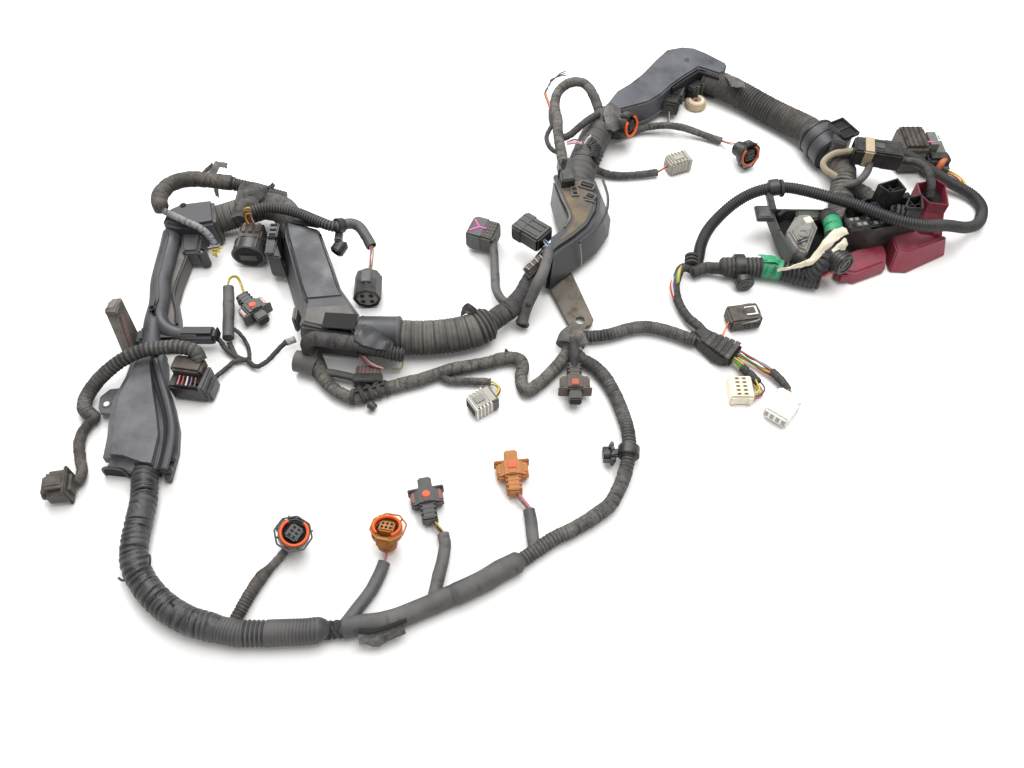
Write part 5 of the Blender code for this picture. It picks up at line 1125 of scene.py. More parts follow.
left_plugs()
middle_plugs()
front_plugs()
upper_plugs()
right_plugs()


def left_ducts():
    # The shell as it shows: a smooth dome that widens to a lip over the trunk
    foot = mm("-387.5 -222.5, -386 -213.5, -387.5 -196, -390.5 -178.6, -392.5 -160, -390.5 -148, "
        "-387.5 -134, -386 -100, -359 -100, -354.5 -123, -345 -150, -336.5 -178, -332.5 -196, -331.5 -233, "
        "-350 -230.5, -366 -224.5")
    roof = mm("-385.5 -222.5, -384 -213.5, -385.5 -196, -388.5 -178.6, -390.5 -160, -388.5 -148, "
        "-385.5 -134, -384 -100, -360 -100, -357 -125, -348 -152, -338.5 -178, -333 -196, -332 -233, "
        "-350 -230.5, -366 -224.5")
    tab = mm("-388 -169, -402 -168, -406 -161, -407.5 -150, -401 -142, -388 -140")
    duct = Moulding()
    duct.outline(foot, roof, 0.0005, 0.0248, DUCT, 0.008, segments=7)
    duct.slab(tab, 0, 7, 10.2, DUCT, 0.8)
    duct.bar("-399.5 -157.8 6.8, -399.5 -157.8 10.8", 8.8, DUCT, 0.4, bore=5.4, deep=0.4, inside=WHITE)
    # The right-hand ridge with the dark channel beside it, a rod of painted shade, and the flange along the
    # bench side
    ridge = mm("-362.5 -118 20.5, -351 -143 22, -340 -166 22.5, -331.5 -189 22.5, -328.8 -211 22, "
        "-329.2 -228 21")
    duct.rod(ridge, 0.0056, DUCT_MID, flat=0.9)
    duct.rod([(x - 0.0048, y - 0.001, z + 0.0007) for x, y, z in ridge], 0.003, SHADOW, flat=0.5)
    flange = mm("-358 -110, -352.5 -134.4, -340.2 -160, -331.8 -181.1, -328 -203.3, -328.5 -231, "
        "-333.5 -231, -333.5 -203.3, -338 -181.1, -346 -160, -359 -130")
    duct.slab(flange, 0, 0.8, 8.5, DUCT_MID, 1)
    for x, y in ((-0.329, -0.213), (-0.3296, -0.224)):
        duct.block((x, y, 0.0125), (0.007, 0.0056, 0.0066), DUCT_MID, 0.0012)
    # The arched mouth beside the trunk, set in the lower end
    end_wall = placed(-0.3758, -0.2232, 0.0, -6) @ turned(roll=90)
    arch = mm("-9.8 1.2, -9.8 8.5, -8 12.5, -3 15, 3.5 15, 8.2 12.5, 10 8.5, 10 1.2")
    duct.slab(arch, 0, 0, 1, SHADOW, 0, end_wall)
    duct.rod([(x, y, 0.0006) for x, y in arch], 0.0026, DUCT, end_wall)
    duct.made("left_duct_shell", "left_duct", "moulded_nylon")

    riser = Moulding()
    riser.slab(RISER_STRIP, -2.6, 0.5, 30, DUCT_MID, 6.2, segments=6)
    riser.slab(RISER_STEP, -1.2, 0.5, 17.5, DUCT_DUSTY, 2.6, segments=3)
    riser.rod(mm("-360.8 30 18, -362 -2 19, -364 -22 19, -364 -41 19, -357 -60 19, -353 -76 18.5"), 0.003,
        DUCT_BLACK)
    riser.rod(mm("-381.5 36 20.5, -380 18 21.5, -379 -8 22, -377.8 -29 22, -374.5 -48 21.2, "
        "-373.5 -60 20.4, -373.5 -76 19"), 0.0185, DUCT_MID, flat=0.8, sides=20)
    riser.slab(CORNER_BOX, -2, 2, 34.5, DUCT_MID, 3.2, segments=4)
    riser.bar("-372 61 33, -372 61 35.2", 6.2, SHADOW, 0.3)
    riser.slab(RISER_BLOCK, -1.2, 3, 24, DUCT_MID, 2.6)
    riser.bar("-348 12 2, -348 12 21.5", 9.6, DUCT_BLACK, 0.5, bore=5.8, deep=6, inside=SHADOW)
    riser.bar("-348 12 15, -348 12 20.5", 4, BRIGHT, 0.6, sides=6)
    # The foot: a low plate, and the strip parting in a Y into the stub and the duct below
    riser.slab(RISER_BASE, -2, 1.5, 20, DUCT_BLACK, 4, segments=4)
    riser.slab(RISER_STUB, -1, 8, 22.5, DUCT_BLACK, 3.4, segments=4)
    riser.rod(mm("-373.5 -48 20.5, -371.5 -66 20.5, -364 -80 19, -350 -86.2 16, -332 -86.2 15.5"), 0.015,
        DUCT_MID, flat=0.85, sides=16)
    riser.rod(mm("-374.5 -50 20, -374.5 -74 20, -372 -96 18, -370 -112 16"), 0.017, DUCT_MID, flat=0.85,
        sides=16)
    riser.box("-314.5 -86.2 16, 2 11 10.5", SHADOW, 0.8)
    riser.bar("-374.8 -66 27, -374.8 -66 30.4", 6.6, DUCT_MID, 0.4, bore=4.6, deep=3, inside=SHADOW)
    riser.made("riser_duct_shell", "riser_duct", "moulded_nylon")

    tab = Moulding()
    tab.outline(TAB_FOOT, TAB_HEAD, 0.003, 0.054, RUSTY, 0.0014)
    tab.box("-397.5 -83.5 51.2, 10.8 14.8 3", DUCT_DUSTY, 1.2)
    tab.rod(mm("-390.3 -100 14, -390.5 -95 28, -392.5 -85 44"), 0.004, MAUVE, flat=0.5)
    tab.made("leaning_tab", "tab_bracket", "moulded_nylon")


def middle_duct():
    duct = Moulding()
    duct.outline(MIDDLE_DUCT_FOOT, MIDDLE_DUCT_ROOF, 0.0005, 0.0375, DUCT_MID, 0.003)
    upper = mm("-266.5 37, -262 18, -254 -5, -240 -46, -233 -64, -197.5 -60, -204 -48, -215.8 -16, "
        "-231.5 24.5")
    duct.outline(outset(upper, 0.0008), outset(upper, -0.001), 0.036, 0.0388, DUCT_DEEP, 0.0018)
    duct.tile("30 5 4", DUCT_BLACK, 1.2, -245, 31, 39.5, -14)
    # The lower end: a raised frame round the window and its dark floor
    frame_outline = mm("-233 -70, -234 -90.5, -209 -97.5, -184 -101, -184 -79, -193 -66.5")
    duct.slab(frame_outline, -1.6, 35.5, 39, DUCT_DUSTY, 2, segments=4)
    duct.tile("30 17.5 1", SHADOW, 0.4, -198.5, -88.5, 39, -4)
    duct.box("-244 -70 18, 4 16 20", DUCT_DUSTY, 1.4)
    duct.made("middle_duct_shell", "middle_duct", "moulded_nylon")

    x, y, z = -0.1825, -0.0905, 0.019
    cover = Moulding()
    cover.barrel((x, y, z), (x + 0.037, y, z), 0.0366, DUCT_DEEP, 0.0022, sides=48)
    cover.barrel((x - 0.0005, y, z), (x + 0.004, y, z), 0.0372, DUCT_BLACK, 0.001, sides=48)
    cover.barrel((x + 0.033, y, z), (x + 0.0372, y, z), 0.0372, DUCT_MID, 0.0012, sides=48)
    cover.made("middle_duct_round_cover", "middle_duct_cover", "moulded_nylon")

    relay = Moulding()
    relay.slab(RELAY_BLOCK, -0.8, 8, 37, DUCT_BLACK, 1.4)
    relay.box("-275.2 22.5 37.5, 9.5 18.5 4.6", BLACK, 1)
    relay.box("-274.8 0 37, 9 15 4", DUCT_BLACK, 1)
    for y in (0.0165, 0.0225, 0.0285):
        relay.block((-0.2752, y, 0.04), (0.0062, 0.0024, 0.0012), SHADOW, 0.0002)
    relay.made("relay_block_shell", "relay_block", "black_nylon")


def right_duct():
    duct = Moulding()
    duct.outline(RIGHT_DUCT_FOOT_OUTLINE, RIGHT_DUCT_ROOF_OUTLINE, 0.0068, 0.044, DUCT_DEEP, 0.004,
        segments=4)
    roof = mm("-2 87, 4 60, 11.5 34, 4 17, -3.5 6, 1 -1, 15 11.5, 27.5 25, 36.5 44.5, 39.5 65, 35 89.5")
    duct.slab(roof, -2.4, 42.5, 44.6, DUCT_EARTHY, 2, segments=4)
    duct.slab(RIGHT_DUCT_BLOCK, -0.8, 42, 54, BLACK, 1.4)
    duct.tile("7.5 18 20", BLACK, 1, 6.5, 98.5, 44, -14)
    duct.tile("5.8 34 6", SLATE, 1.2, 3.5, 80, 40, 14)
    # The light seam down the front wall, and the rims along both sides
    duct.rod(mm("22.8 0.6 10, 22 2.2 24, 19.5 5.5 40"), 0.0011, PALE)
    duct.rod(mm("46.5 90 41, 50 66 41, 46.5 43 41, 35 21.5 41, 19 4.5 41"), 0.0026, DUCT_DEEP)
    duct.rod(mm("-1.5 85 44, 4.5 60 44.2, 11 36 44.2, 5.5 21.5 44"), 0.0024, DUCT_DUSTY)
    # Catches and dark windows at the upper end, and a stained slit
    for (x, y), size, lean in (((0.0295, 0.0775), (0.013, 0.007), -24), ((0.032, 0.062), (0.008, 0.0055),
            -30), ((0.017, 0.069), (0.0045, 0.01), 5)):
        spot = placed(x, y, 0.045, lean)
        duct.block((0, 0, 0), (size[0] + 0.0032, size[1] + 0.0032, 0.003), DUCT_DUSTY, 0.0006, spot)
        duct.block((0, 0, 0.0012), (*size, 0.0012), SHADOW, 0.0003, spot)
        duct.block((0, -0.2 * size[1], 0.002), (size[0] * 0.8, size[1] * 0.3, 0.0014), DUCT_BLACK, 0.0003,
            spot)
    duct.tile("10 1.6 1", RUSTY, 0.3, 31, 56, 45.7, -20)
    # The catch where the trunk enters
    duct.tile("11 6.5 6", DUCT_BLACK, 0.9, -12.5, -6, 39, 50)
    duct.made("right_duct_shell", "right_duct", "moulded_nylon")

    bracket = Moulding()
    centre = Vector((0.019, -0.062))
    circle = [(centre.x + 0.005 * math.cos(TAU * i / 36), centre.y + 0.005 * math.sin(TAU * i / 36))
        for i in range(36)]
    sheet = bmesh.new()
    for loop in (outset(BRACKET_OUTLINE, -0.0001), circle):
        corners = [sheet.verts.new((x, y, 0.0065)) for x, y in loop]
        for index, corner in enumerate(corners):
            sheet.edges.new((corners[index - 1], corner))
    faces = bmesh.ops.triangle_fill(sheet, use_beauty=True, edges=sheet.edges)["geom"]
    top = bmesh.ops.extrude_face_region(sheet, geom=[f for f in faces if isinstance(f, bmesh.types.BMFace)])
    bmesh.ops.translate(sheet, vec=(0, 0, -0.003), verts=[v for v in top["geom"] if isinstance(v,
        bmesh.types.BMVert)])
    bracket.take(sheet, STEEL, 0.0004, Matrix(), 1, 60)
    bracket.rod([(x, y, 0.0064) for x, y in circle[::3]], 0.0011, BRIGHT, closed=True, smooth=3)
    bracket.made("bracket_plate", "steel_bracket", "steel_plate")


def upper_duct():
    x, y = 0.1665, 0.2575
    duct = Moulding()
    duct.slab(UPPER_DUCT, -0.6, 4, 34.2, DUCT_BLUE, 1.8, segments=2)
    duct.slab(UPPER_DUCT_LUG, 0, 1.5, 8, DUCT_BLUE, 1.6)
    duct.barrel((x, y, 0.0005), (x, y, 0.0086), 0.0238, TAN, 0.0012, sides=40)
    duct.bar("156 296 33.6, 156 296 34.7", 6.6, DUCT_BLUE, 0.3, bore=5, deep=0.5)
    # The recess under the bend in painted shade, with its ribs, and the flat rear lip
    recess = placed(0.16, 0.2722, 0.0165, 43)
    duct.box("0 0 0, 44 2 26", SHADOW, 0.6, recess)
    duct.box("6 -6 -4, 30 11 18", DUCT_BLACK, 1.6, recess)
    for at in (-0.001, 0.0075, 0.016):
        duct.block((at, -0.0122, -0.003), (0.0018, 0.0024, 0.019), DUCT_DUSTY, 0.0004, recess)
    # Painted shade: a thin dark sheet over the walls that stand in shadow under the bend
    curtain = mm("189.8 268.5, 168 280.3, 151.2 265.6, 134.2 248.8, 135.2 247.6, 151.8 263, 168 277, "
        "189 265.5")
    duct.slab(curtain, 0, 4, 31.8, SHADOW, 0)
    duct.rod(mm("73.5 206.5 10.5, 99 216 10.5, 125 237 10.5, 148 261.5 10.5"), 0.0024, DUCT_BLUE)
    duct.made("upper_duct_shell", "upper_duct", "moulded_nylon")

    bushing = Moulding()
    bushing.barrel((x, y, 0.0005), (x, y, 0.0098), 0.0178, CREAM, 0.0008, bore=0.0104, deep=0.002)
    bushing.barrel((x, y, 0.0075), (x, y, 0.0084), 0.01, EYELET, 0.0002)
    bushing.barrel((x, y, 0.008), (x, y, 0.0087), 0.0056, RUST, 0.0002)
    bushing.made("bushing_ring", "eyelet_bushing", "brass_bushing")


def clamp():
    start, end = Vector((0.2835, 0.182, 0.0215)), Vector((0.2965, 0.151, 0.0215))
    axis = (end - start).normalized()
    body = Moulding()
    body.barrel(start, end, 0.0392, DUCT_MID, 0.0014, sides=44)
    for at, width in ((0.0005, 0.004), (0.0125, 0.005), (0.0285, 0.0045)):
        body.barrel(start + axis * at, start + axis * (at + width), 0.041, DUCT_BLACK, 0.0008, sides=44)
    body.slab(CLAMP_HOLDER, -1, 30, 49, DUCT_MID, 1.6)
    holder = placed(0.3, 0.156, 0.0498, -62)
    body.box("0 0 0, 24 17 1.4", SHADOW, 0.3, holder)
    for side in (-0.009, 0.009):
        body.block((0, side, 0.0008), (0.027, 0.0022, 0.0044), BLACK, 0.0005, holder)
    for side in (-0.0128, 0.0, 0.0128):
        body.block((side, 0, 0.0008), (0.002, 0.019, 0.0044 if side else 0.0024), BLACK, 0.0005, holder)
    body.made("trunk_clamp_shell", "trunk_clamp", "moulded_nylon")


def fuse_box():
    box = Moulding()
    box.slab(FUSE_BOX, -1.2, 0.5, 35, BLACK, 1.8)
    box.walls(outset(FUSE_BOX, -0.0018), 0.032, 0.0402, 0.0016, BLACK)
    floor = outset(FUSE_BOX, -0.003)
    box.slab(floor, 0, 34, 35.6, SHADOW, 0)
    for outline_of, top in ((RELAY_ONE, 0.0617), (RELAY_TWO, 0.054)):
        box.outline(outline_of, outline_of, 0.034, top - 0.013, BLACK, 0.0012)
        inner = outset(outline_of, -0.0012)
        # Painted shade on the relay's floor
        box.outline(inner, inner, top - 0.0135, top - 0.012, SOCKET_SHADE, 0.0)
        box.walls(outset(outline_of, -0.0009), top - 0.015, top, 0.0016, BLACK)
        middle = [sum(p[axis] for p in outline_of) / len(outline_of) for axis in (0, 1)]
        for at in (-0.005, 0.0, 0.005):
            box.box("0 0 0, 1.2 12 8", BLACK, 0.3, Matrix.Translation((middle[0] + at, middle[1] + 0.2 * at,
                top - 0.008)) @ turned(-70 + 90 * (at == 0)))
    # The fuse carrier at the front left: a frame with a row of grey fuses
    carrier = placed(0.301, 0.033, 0.0385, 9)
    box.box("0 0 0, 44 15 6", BLACK, 1.2, carrier)
    for row in (-0.0035, 0.0035):
        for column in range(7):
            box.block((0.0056 * (column - 3), row, 0.0032), (0.004, 0.004, 0.0016),
                GREY if (column + (row > 0)) % 3 else SHADOW, 0.0004, carrier)
    # Sockets, bosses and catches between the two relays
    for x, y, wide, deep, high in ((0.296, 0.05, 0.011, 0.008, 0.042), (0.311, 0.052, 0.008, 0.009, 0.044),
            (0.326, 0.042, 0.01, 0.008, 0.043), (0.344, 0.065, 0.009, 0.007, 0.045)):
        spot = placed(x, y, high - 0.004, 14)
        box.block((0, 0, 0), (wide, deep, 0.008), BLACK, 0.0008, spot)
        # Painted shade in the socket's mouth
        box.block((0, 0, 0.0037), (wide * 0.7, deep * 0.6, 0.001), SOCKET_SHADE, 0.0002, spot)
    box.bar("329 47 34, 329 47 45", 9, SLATE, 0.8, bore=5, deep=3, inside=SHADOW)
    box.made("fuse_box_shell", "fuse_box", "black_nylon")
    for name, foot, head, top in (("red_shell_right", RED_RIGHT_FOOT, RED_RIGHT_HEAD, 0.05),
            ("red_shell_front", RED_FRONT_FOOT, RED_FRONT_HEAD, 0.024), ("red_shell_left", RED_LEFT_FOOT,
            RED_LEFT_HEAD, 0.015)):
        shell = Moulding()
        if name == "red_shell_right":
            shell.outline(outset(foot, -0.0003), outset(head, -0.0003), 0.0005, top - 0.012, RED_SHELL,
                0.001)
            inner = outset(head, -0.0014)
            shell.outline(inner, inner, top - 0.0125, top - 0.0112, SHADOW, 0.0)
            shell.walls(outset(head, -0.001), top - 0.0145, top, 0.0013, RED_SHELL)
        else:
            shell.outline(outset(foot, -0.0003), outset(head, -0.0003), 0.0005, top - 0.0006, RED_SHELL,
                0.0022, segments=4)
        # A catch in the middle of the first side
        x, y = ((one + other) / 2 for one, other in zip(*foot[:2]))
        shell.block((x, y, top * 0.45), (0.0085, 0.0028, top * 0.6), RED_SHELL, 0.0008)
        shell.made(name + "_moulding", name, "red_nylon")


def bowl():
    body = Moulding()
    body.outline(BOWL_FOOT, BOWL_HEAD, 0.0005, 0.015, DUCT_OLIVE, 0.002)
    inner = outset(BOWL_HEAD, -0.002)
    body.slab(inner, 0, 14, 16, SHADOW, 0)
    body.walls(outset(BOWL_HEAD, -0.0012), 0.012, 0.0294, 0.0022, DUCT_OLIVE)
    body.tile("24 13 10", DUCT_OLIVE, 1.6, 250, 53, 25, 4)
    body.tile("13 3 12", DUCT_BLACK, 1, 224, 56, 25, 40)
    body.made("bowl_shell", "connector_bowl", "moulded_nylon")
    plug = Moulding()
    plug.slab(GREY_PLUG, -1.2, 9, 38, GREY, 2.4)
    plug.outline(outset(GREY_PLUG, -0.005), outset(GREY_PLUG, -0.0058), 0.037, 0.0402, GREY, 0.001)
    plug.bar("234.5 17 38, 234.5 17 41.2", 11, GREY, 0.6, bore=6.6, deep=2.8, inside=SHADOW)
    plug.bar("234.5 17 38.5, 234.5 17 40", 5, BRIGHT, 0.4)
    plug.tile("8 8 3", CREAM, 0.8, 243, 35, 39.8, 20)
    for y in (0.006, 0.0095):
        plug.block((0, 0, 0), (0.012, 0.0014, 0.0016), BLACK, 0.0004, placed(0.232, y, 0.0402, 25))
    plug.made("grey_plug_shell", "plug_grey_round", "grey_nylon")
    place = placed(0.2655, -0.012, 0.0335, -60, 10)
    ribbed_plug = Moulding(place)
    ribbed_plug.bar("-9.5 0 0, 8 0 0", 20.8, BLACK, 0.8, bore=15, deep=4, inside=SHADOW)
    for i in range(5):
        at = -0.0085 + 0.0034 * i
        ribbed_plug.barrel((at, 0, 0), (at + 0.0018, 0, 0), 0.022, BLACK, 0.0004)
    ribbed_plug.bar("-14 0 0, -9 0 0", 16.8, SLATE, 0.8)
    ribbed_plug.bar("5 0 0, 7.8 0 0", 12, SLATE, 0.6, bore=7, deep=2)
    ribbed_plug.made("ribbed_plug_shell", "plug_round_ribbed", "black_nylon")


def shroud():
    body = Moulding()
    body.slab(SHROUD, -1.2, 1, 16, TAPE_DARK, 2.6, segments=3)
    # Laps of tape over the wide end, each a thin plate standing a little prouder
    for step in range(6):
        lap = Matrix.Translation((0.133 + 0.0042 * step, -0.088 - 0.0034 * step,
            0.0162 + 0.00035 * step)) @ turned(-128)
        body.block((0, 0, 0), (0.015 + 0.0016 * step, 0.005, 0.0012), TAPE_BROWN if step % 2 else TAPE_DARK,
            0.0004, lap)
    body.tile("3 19 11", SHADOW, 0.6, 157.2, -105, 9, -40)
    body.made("flat_shroud_shell", "flat_shroud", "moulded_nylon")


def clips():
    ring = Moulding()
    heading = Vector((0.13, 0.99, 0.0)).normalized()
    at = Vector((0.0533, -0.206, 0.0104))
    ring.barrel(at - heading * 0.005, at + heading * 0.005, 0.0186, BLACK, 0.0008)
    # Its stud lies on its side: a neck, a toothed disc and an open fir-tree end
    ring.box("43 -206.5 9.2, 9 6.6 6", BLACK, 1.2)
    ring.bar("38.2 -207.8 10.4, 40.2 -207.4 10.4", 17.6, BLACK, 0.7)
    for tooth in range(12):
        turn = TAU * tooth / 12
        ring.block((0.0392, -0.2076 + 0.0088 * math.cos(turn), 0.0104 + 0.0088 * math.sin(turn)),
            (0.0028, 0.0028, 0.0024), SLATE, 0.0005)
    ring.bar("31.2 -208.8 9.8, 37.2 -208 9.8", 10.4, BLACK, 0.9, bore=6.8, deep=4.5, inside=SHADOW)
    for side in (-0.0062, 0.0062):
        ring.block((0.0346, -0.2084 + side, 0.0098), (0.0066, 0.002, 0.0044), SLATE, 0.0006)
    ring.made("ring_clip_shell", "ring_clip")
    disc = Moulding()
    disc.bar("171 0 12.5, 181 0 12.5", 24.4, BLACK, 0.8)
    disc.box("177 -12.5 11, 8 8 8", BLACK, 1.2)
    disc.bar("179 -15 10, 180 -22.2 10", 17.8, BLACK, 0.8)
    disc.bar("179.6 -19.5 10, 180.1 -22.7 10", 10.5, SLATE, 0.6, bore=6, deep=2, inside=SHADOW)
    disc.made("disc_clip_shell", "disc_clip")
    lobed = Moulding()
    way = Vector((0.72, 0.55, -0.42)).normalized()
    at = Vector((-0.2115, 0.0262, 0.0415))
    lobed.barrel(at - way * 0.004, at + way * 0.004, 0.0148, BLACK, 0.0006)
    lobed.box("-212 17 35, 7 14 8", BLACK, 1.2)
    lobed.bar("-208.5 13.5 31, -214.5 3.5 28", 13.8, BLACK, 1.2, bore=7, deep=4, inside=SHADOW)
    for turn in (0.5, 2.6, 4.7):
        lobed.barrel((-0.21, 0.011, 0.0302), (-0.21 + 0.0062 * math.cos(turn),
            0.0095 + 0.003 * math.sin(turn), 0.03 + 0.0055 * math.sin(turn)), 0.0044, SLATE, 0.0004)
    lobed.made("lobed_clip_shell", "lobed_clip")
    flag = Moulding()
    way = Vector((1.0, 0.02, 0.18)).normalized()
    at = Vector((0.217, 0.08, 0.0402))
    flag.barrel(at - way * 0.005, at + way * 0.005, 0.0168, BLACK, 0.0008)
    flag.box("212 64 37, 6.8 30 5.6", BLACK, 1)
    flag.box("203 48 36, 16.8 19.8 4.6", BLACK, 1.2)
    flag.box("203 48 38.2, 10.4 12.8 1.2", SLATE, 0.4)
    flag.made("flag_clip_shell", "flag_clip")


left_ducts()
middle_duct()
right_duct()
upper_duct()
clamp()
fuse_box()
bowl()
shroud()
clips()


def wired_lead(name, node, sections, wire_name, run, colours, spread, thick, bore=0.0):
    """A free lead whose end lets bare wires run on into its plug."""
    bare = wires(wire_name, node, run, colours, spread, thick)
    loom(name, node, sections, bore=bore)


# The front loop: trunk, sleeve with its split, knotted loom and four leads
# The sleeve has five deep grooves; the loop's end goes on into the junction of the middle loom
loom("front_trunk", "front_loom", "wound 21.5: -348 -210 11.5, -348 -230 11.5, -344 -250 11.5, "
    "-343 -273 11.5, -342 -290 11.5, -339 -303 11.5, -333 -314 11.5, -321 -328 11.5, -305 -341 11.5, "
    "-288 -350 11.5, -272 -355 11.5, -266 -356.5 11.5; ribbed_sleeve 20: -264 -357 10.8, -249 -360 10.8; "
    "grooved_sleeve 20: -242.5 -360.2 10.8; ribbed_sleeve 20: -226 -360.2 10.8, -224 -360 10.8, "
    "-199 -359 10.8, -188 -358 10.8; wound_dark 14: -186 -358 8.5, -180 -357 8.5, -172 -356 8.5; "
    "sleeve 16.5: -170 -356 9, -155 -353 9, -140 -351 9, -123 -345 9, -105 -337 9, -90 -330 9; "
    "sleeve 17.8: -87 -329 9.5, -70 -321 9.5, -54 -311 9.5, -41 -304 9.5; taped_ribs 12.5: -38 -302 8, "
    "-24 -292 8, -11 -283 8; tape_fine 12.5: 5 -275 8, 22 -264 8, 35 -253 8, 44 -237 8.5; "
    "taped_ribs 12.5: 50 -222 10, 53 -208 10.5, 54.5 -194 10, 54 -180 8.5, 51 -165 8, 47 -150 8; "
    "tape_dark 12.5: 41 -134 8, 33 -120 8, 26 -113.5 8, 19.5 -109.5 8, 14 -103 8.5",
    diameter=0.0165)
loom("ring_plug_lead", "front_loom", "ribbed_brown 10.5: -254 -352 7.5, -246 -329 6.5, -239 -314 6; "
    "tape_fine 7: -233 -306 5.5, -226 -295 5, -222 -288 5.5")
wired_lead("brown_ring_sleeve", "front_loom", "sleeve_grey 10.5: -170 -352 7, "
    "-161 -338 6.5, -153 -325 6.5, -148 -313 6.5, -145 -303 6.5", "brown_ring_wires", "-147.5 -311 6.5, "
    "-144.5 -301 6.5, -144 -296 7, -143.7 -290 8.5", "pink brown", 0.0016, 0.0015, bore=0.0075)
wired_lead("black_cross_sleeve", "front_loom", "sleeve 10.5: -106 -337 7, "
    "-102 -314 6, -99 -298 6, -98 -287 6, -100 -279 6", "black_cross_wires", "-98.3 -286 6.2, "
    "-101 -277.5 6, -104.5 -273.5 7, -110.5 -265 8.5", "olive yellow black brown", 0.0018, 0.0015,
    bore=0.0075)
wired_lead("brown_cross_sleeve", "front_loom", "sleeve 10.5: -27.5 -293 7, "
    "-29 -275 6.5, -30 -265 6.5, -31 -258 6.5", "brown_cross_wires", "-30.7 -260.5 6.5, -31.5 -256.5 6.5, "
    "-37 -249.5 8, -42.5 -239 9", "pink red white brown", 0.0018, 0.0015, bore=0.0072)

# Round the left ducts
loom("crossing_lead", "crossing_lead", "tape_ribbed 13: -319.5 -123.5 27, -323 -118 33, -338 -115 36, "
    "-353 -116 36, -368 -119 36, -380 -124 34, -393 -129 28, -407 -136 19, -416 -144 12, -420 -153 8.5, "
    "-418 -162 8, -411 -168 8; tape_brown 9.5: -407 -170 8, -411 -176 7, -415 -186 6, -414 -197 6, "
    "-409 -211 6, -404 -223 6.5, -404.5 -232 8, -411 -236.5 10")
loom("stub_twig", "thin_leads", "tape_dark 5: -321 -85 14, -314 -88.5 11, -309 -94 6, -297 -103 4.5, "
    "-287 -107 4.5")
loom("flat_plug_lead", "thin_leads", "tape_dark 5: -315 -131 6, -305 -117 4.5, -297 -108 4.5, "
    "-286 -106 4.5")
loom("open_sleeve", "thin_leads", "sleeve 11: -306.5 -86 10.5, -311 -57 12, -315 -30 16", bore=0.0085)
loom("open_sleeve_tail", "thin_leads", "tape_dark 5.2: -305.5 -89 8, -303 -94 5.5, -298 -102.5 4.5")
wires("sleeve_wires", "thin_leads", "-314.5 -34 16.5, -315 -22 19, -309 -19 19, -304 -26 15, -298 -41 11",
    "olive yellow white", 0.0013, 0.0014)
loom("thin_loop", "thin_leads", "tape_dark 4: -308 -71 10, -297 -79 6, -288 -93 4.5, -285 -106 4.5")
loom("taped_twig", "thin_leads", "tape_dark 5: -288 -106 4.5, -277 -114 5, -268 -110 7, -260 -100 9, "
    "-254 -92 10; tape_pale 7: -252 -90.5 10, -244.5 -86.5 10", diameter=0.005)
loom("corner_loop", "corner_loop", "conduit 13.5: -274 76 30, -293 81 32, -313 87 34, -325 89 36; "
    "tape_brown 16: -329 89 38, -342 89 40, -360 91 41, -376 89 42, -388 81 42.5, -393 68 43, -392 57 43, "
    "-388 49 43; foil 7: -385 46 41.5, -376 42 40, -364.5 36 38.5, -347 27 37, -338 20.5 32, -332.5 13 25",
    diameter=0.014)
loom("corner_trunk", "corner_loop", "corner_flex 28: -346 55.5 18, -333 60 19; "
    "tape 28: -315 65 22, -292 70 25, -275 63 24, -264 48 20, -257.5 30 19.5")
wired_lead("conduit_over_duct", "upper_mid_lead", "conduit 10.8: -298 42 45, "
    "-287 45.5 46, -272 45.5 45.5, -253 40 45, -234 30 45, -216 22.5 44; sleeve_grey 10.8: -209 28 40.5, "
    "-201 32 38.5, -193.5 30 36, -187 21 33, -180.5 10 30", "four_pin_wires", "-183.5 14.5 31.5, "
    "-180 8 29, -181 -1 23, -183 -10 15, -183 -20 12", "pink white brown olive", 0.0019, 0.0015,
    bore=0.0085)
wires("oval_plug_wires", "upper_mid_lead", "-295 42.5 45, -302.5 44.5 42, -304.5 47 33, -302 43 24, "
    "-301 36 21", "yellow orange pink white red yellow brown", 0.0042, 0.0016)

# The middle trunk and the loom under it
loom("mid_trunk", "mid_trunk", "flex_banded 32: -153.5 -90 18, -134 -91 17.5, -115 -90 17, -96 -87 17; "
    "flex_dusty 32: -79 -82 17.5, -67 -74.5 18; tape_dark 19.5: -63 -72 18, -55 -65 18, -44 -55 19, "
    "-35 -43 20, -28 -31 22, -20 -14 24, -11 0 25, -4 8 25")
loom("pink_plug_lead", "mid_trunk", "sleeve 9: -48 -52 18, -55 -46 18, -60 -34 17, -61 -20 16, -62 2 15, "
    "-63 20 15, -64.5 33.5 15")
wired_lead("blue_plug_sleeve", "mid_trunk", "sleeve 11: -36 -68 9, -33.5 -62 15, "
    "-28.5 -55 27, -22.5 -45 36, -16 -31 40, -12 -16 41, -10.5 -5 41", "blue_plug_wires",
    "-10.5 -8 41, -10.5 -3 40, -12 6 38, -17 14.5 36", "blue white blue white grey", 0.0019, 0.0014,
    bore=0.0085)
loom("mid_loom", "mid_loom", "tape_brown 17: -226 -103.5 20, -223 -112 12, -219 -120 9; "
    "tape_dusty 12: -214 -129 8, -205 -139 8, -194 -147 8, -182 -150 8, -169 -145 8, -157 -140 8, "
    "-145 -136 8, -126 -130 8, -101 -120 8, -70 -113 8, -50 -107 8, -39 -108 8, -35 -116 8, -37 -128 8, "
    "-35 -139 8, -30 -142 8, -22 -136 8, -13 -127 8, -2 -113 8, 5 -102 8; "
    "tape_dusty 17: 8 -96 9.2, 11.5 -87 9.2; taped_ribs 12: 16 -83 8, 33 -82 8, 48 -79 8, 62 -74 8, "
    "77 -71 8, 91 -73 8, 107 -79 8, 117 -84 8, 124.5 -87.5 8.5", diameter=0.012)
loom("ribbed_stub", "mid_loom", "tape_dark 14: -224.5 -108 15, -226.5 -106 28, -220 -105.5 35.5, "
    "-208 -108 36, -197 -109.5 36, -180 -111.5 35; stub 14: -164 -113.5 31, -153 -114.5 27, -141 -115.5 24",
    bore=0.0105)
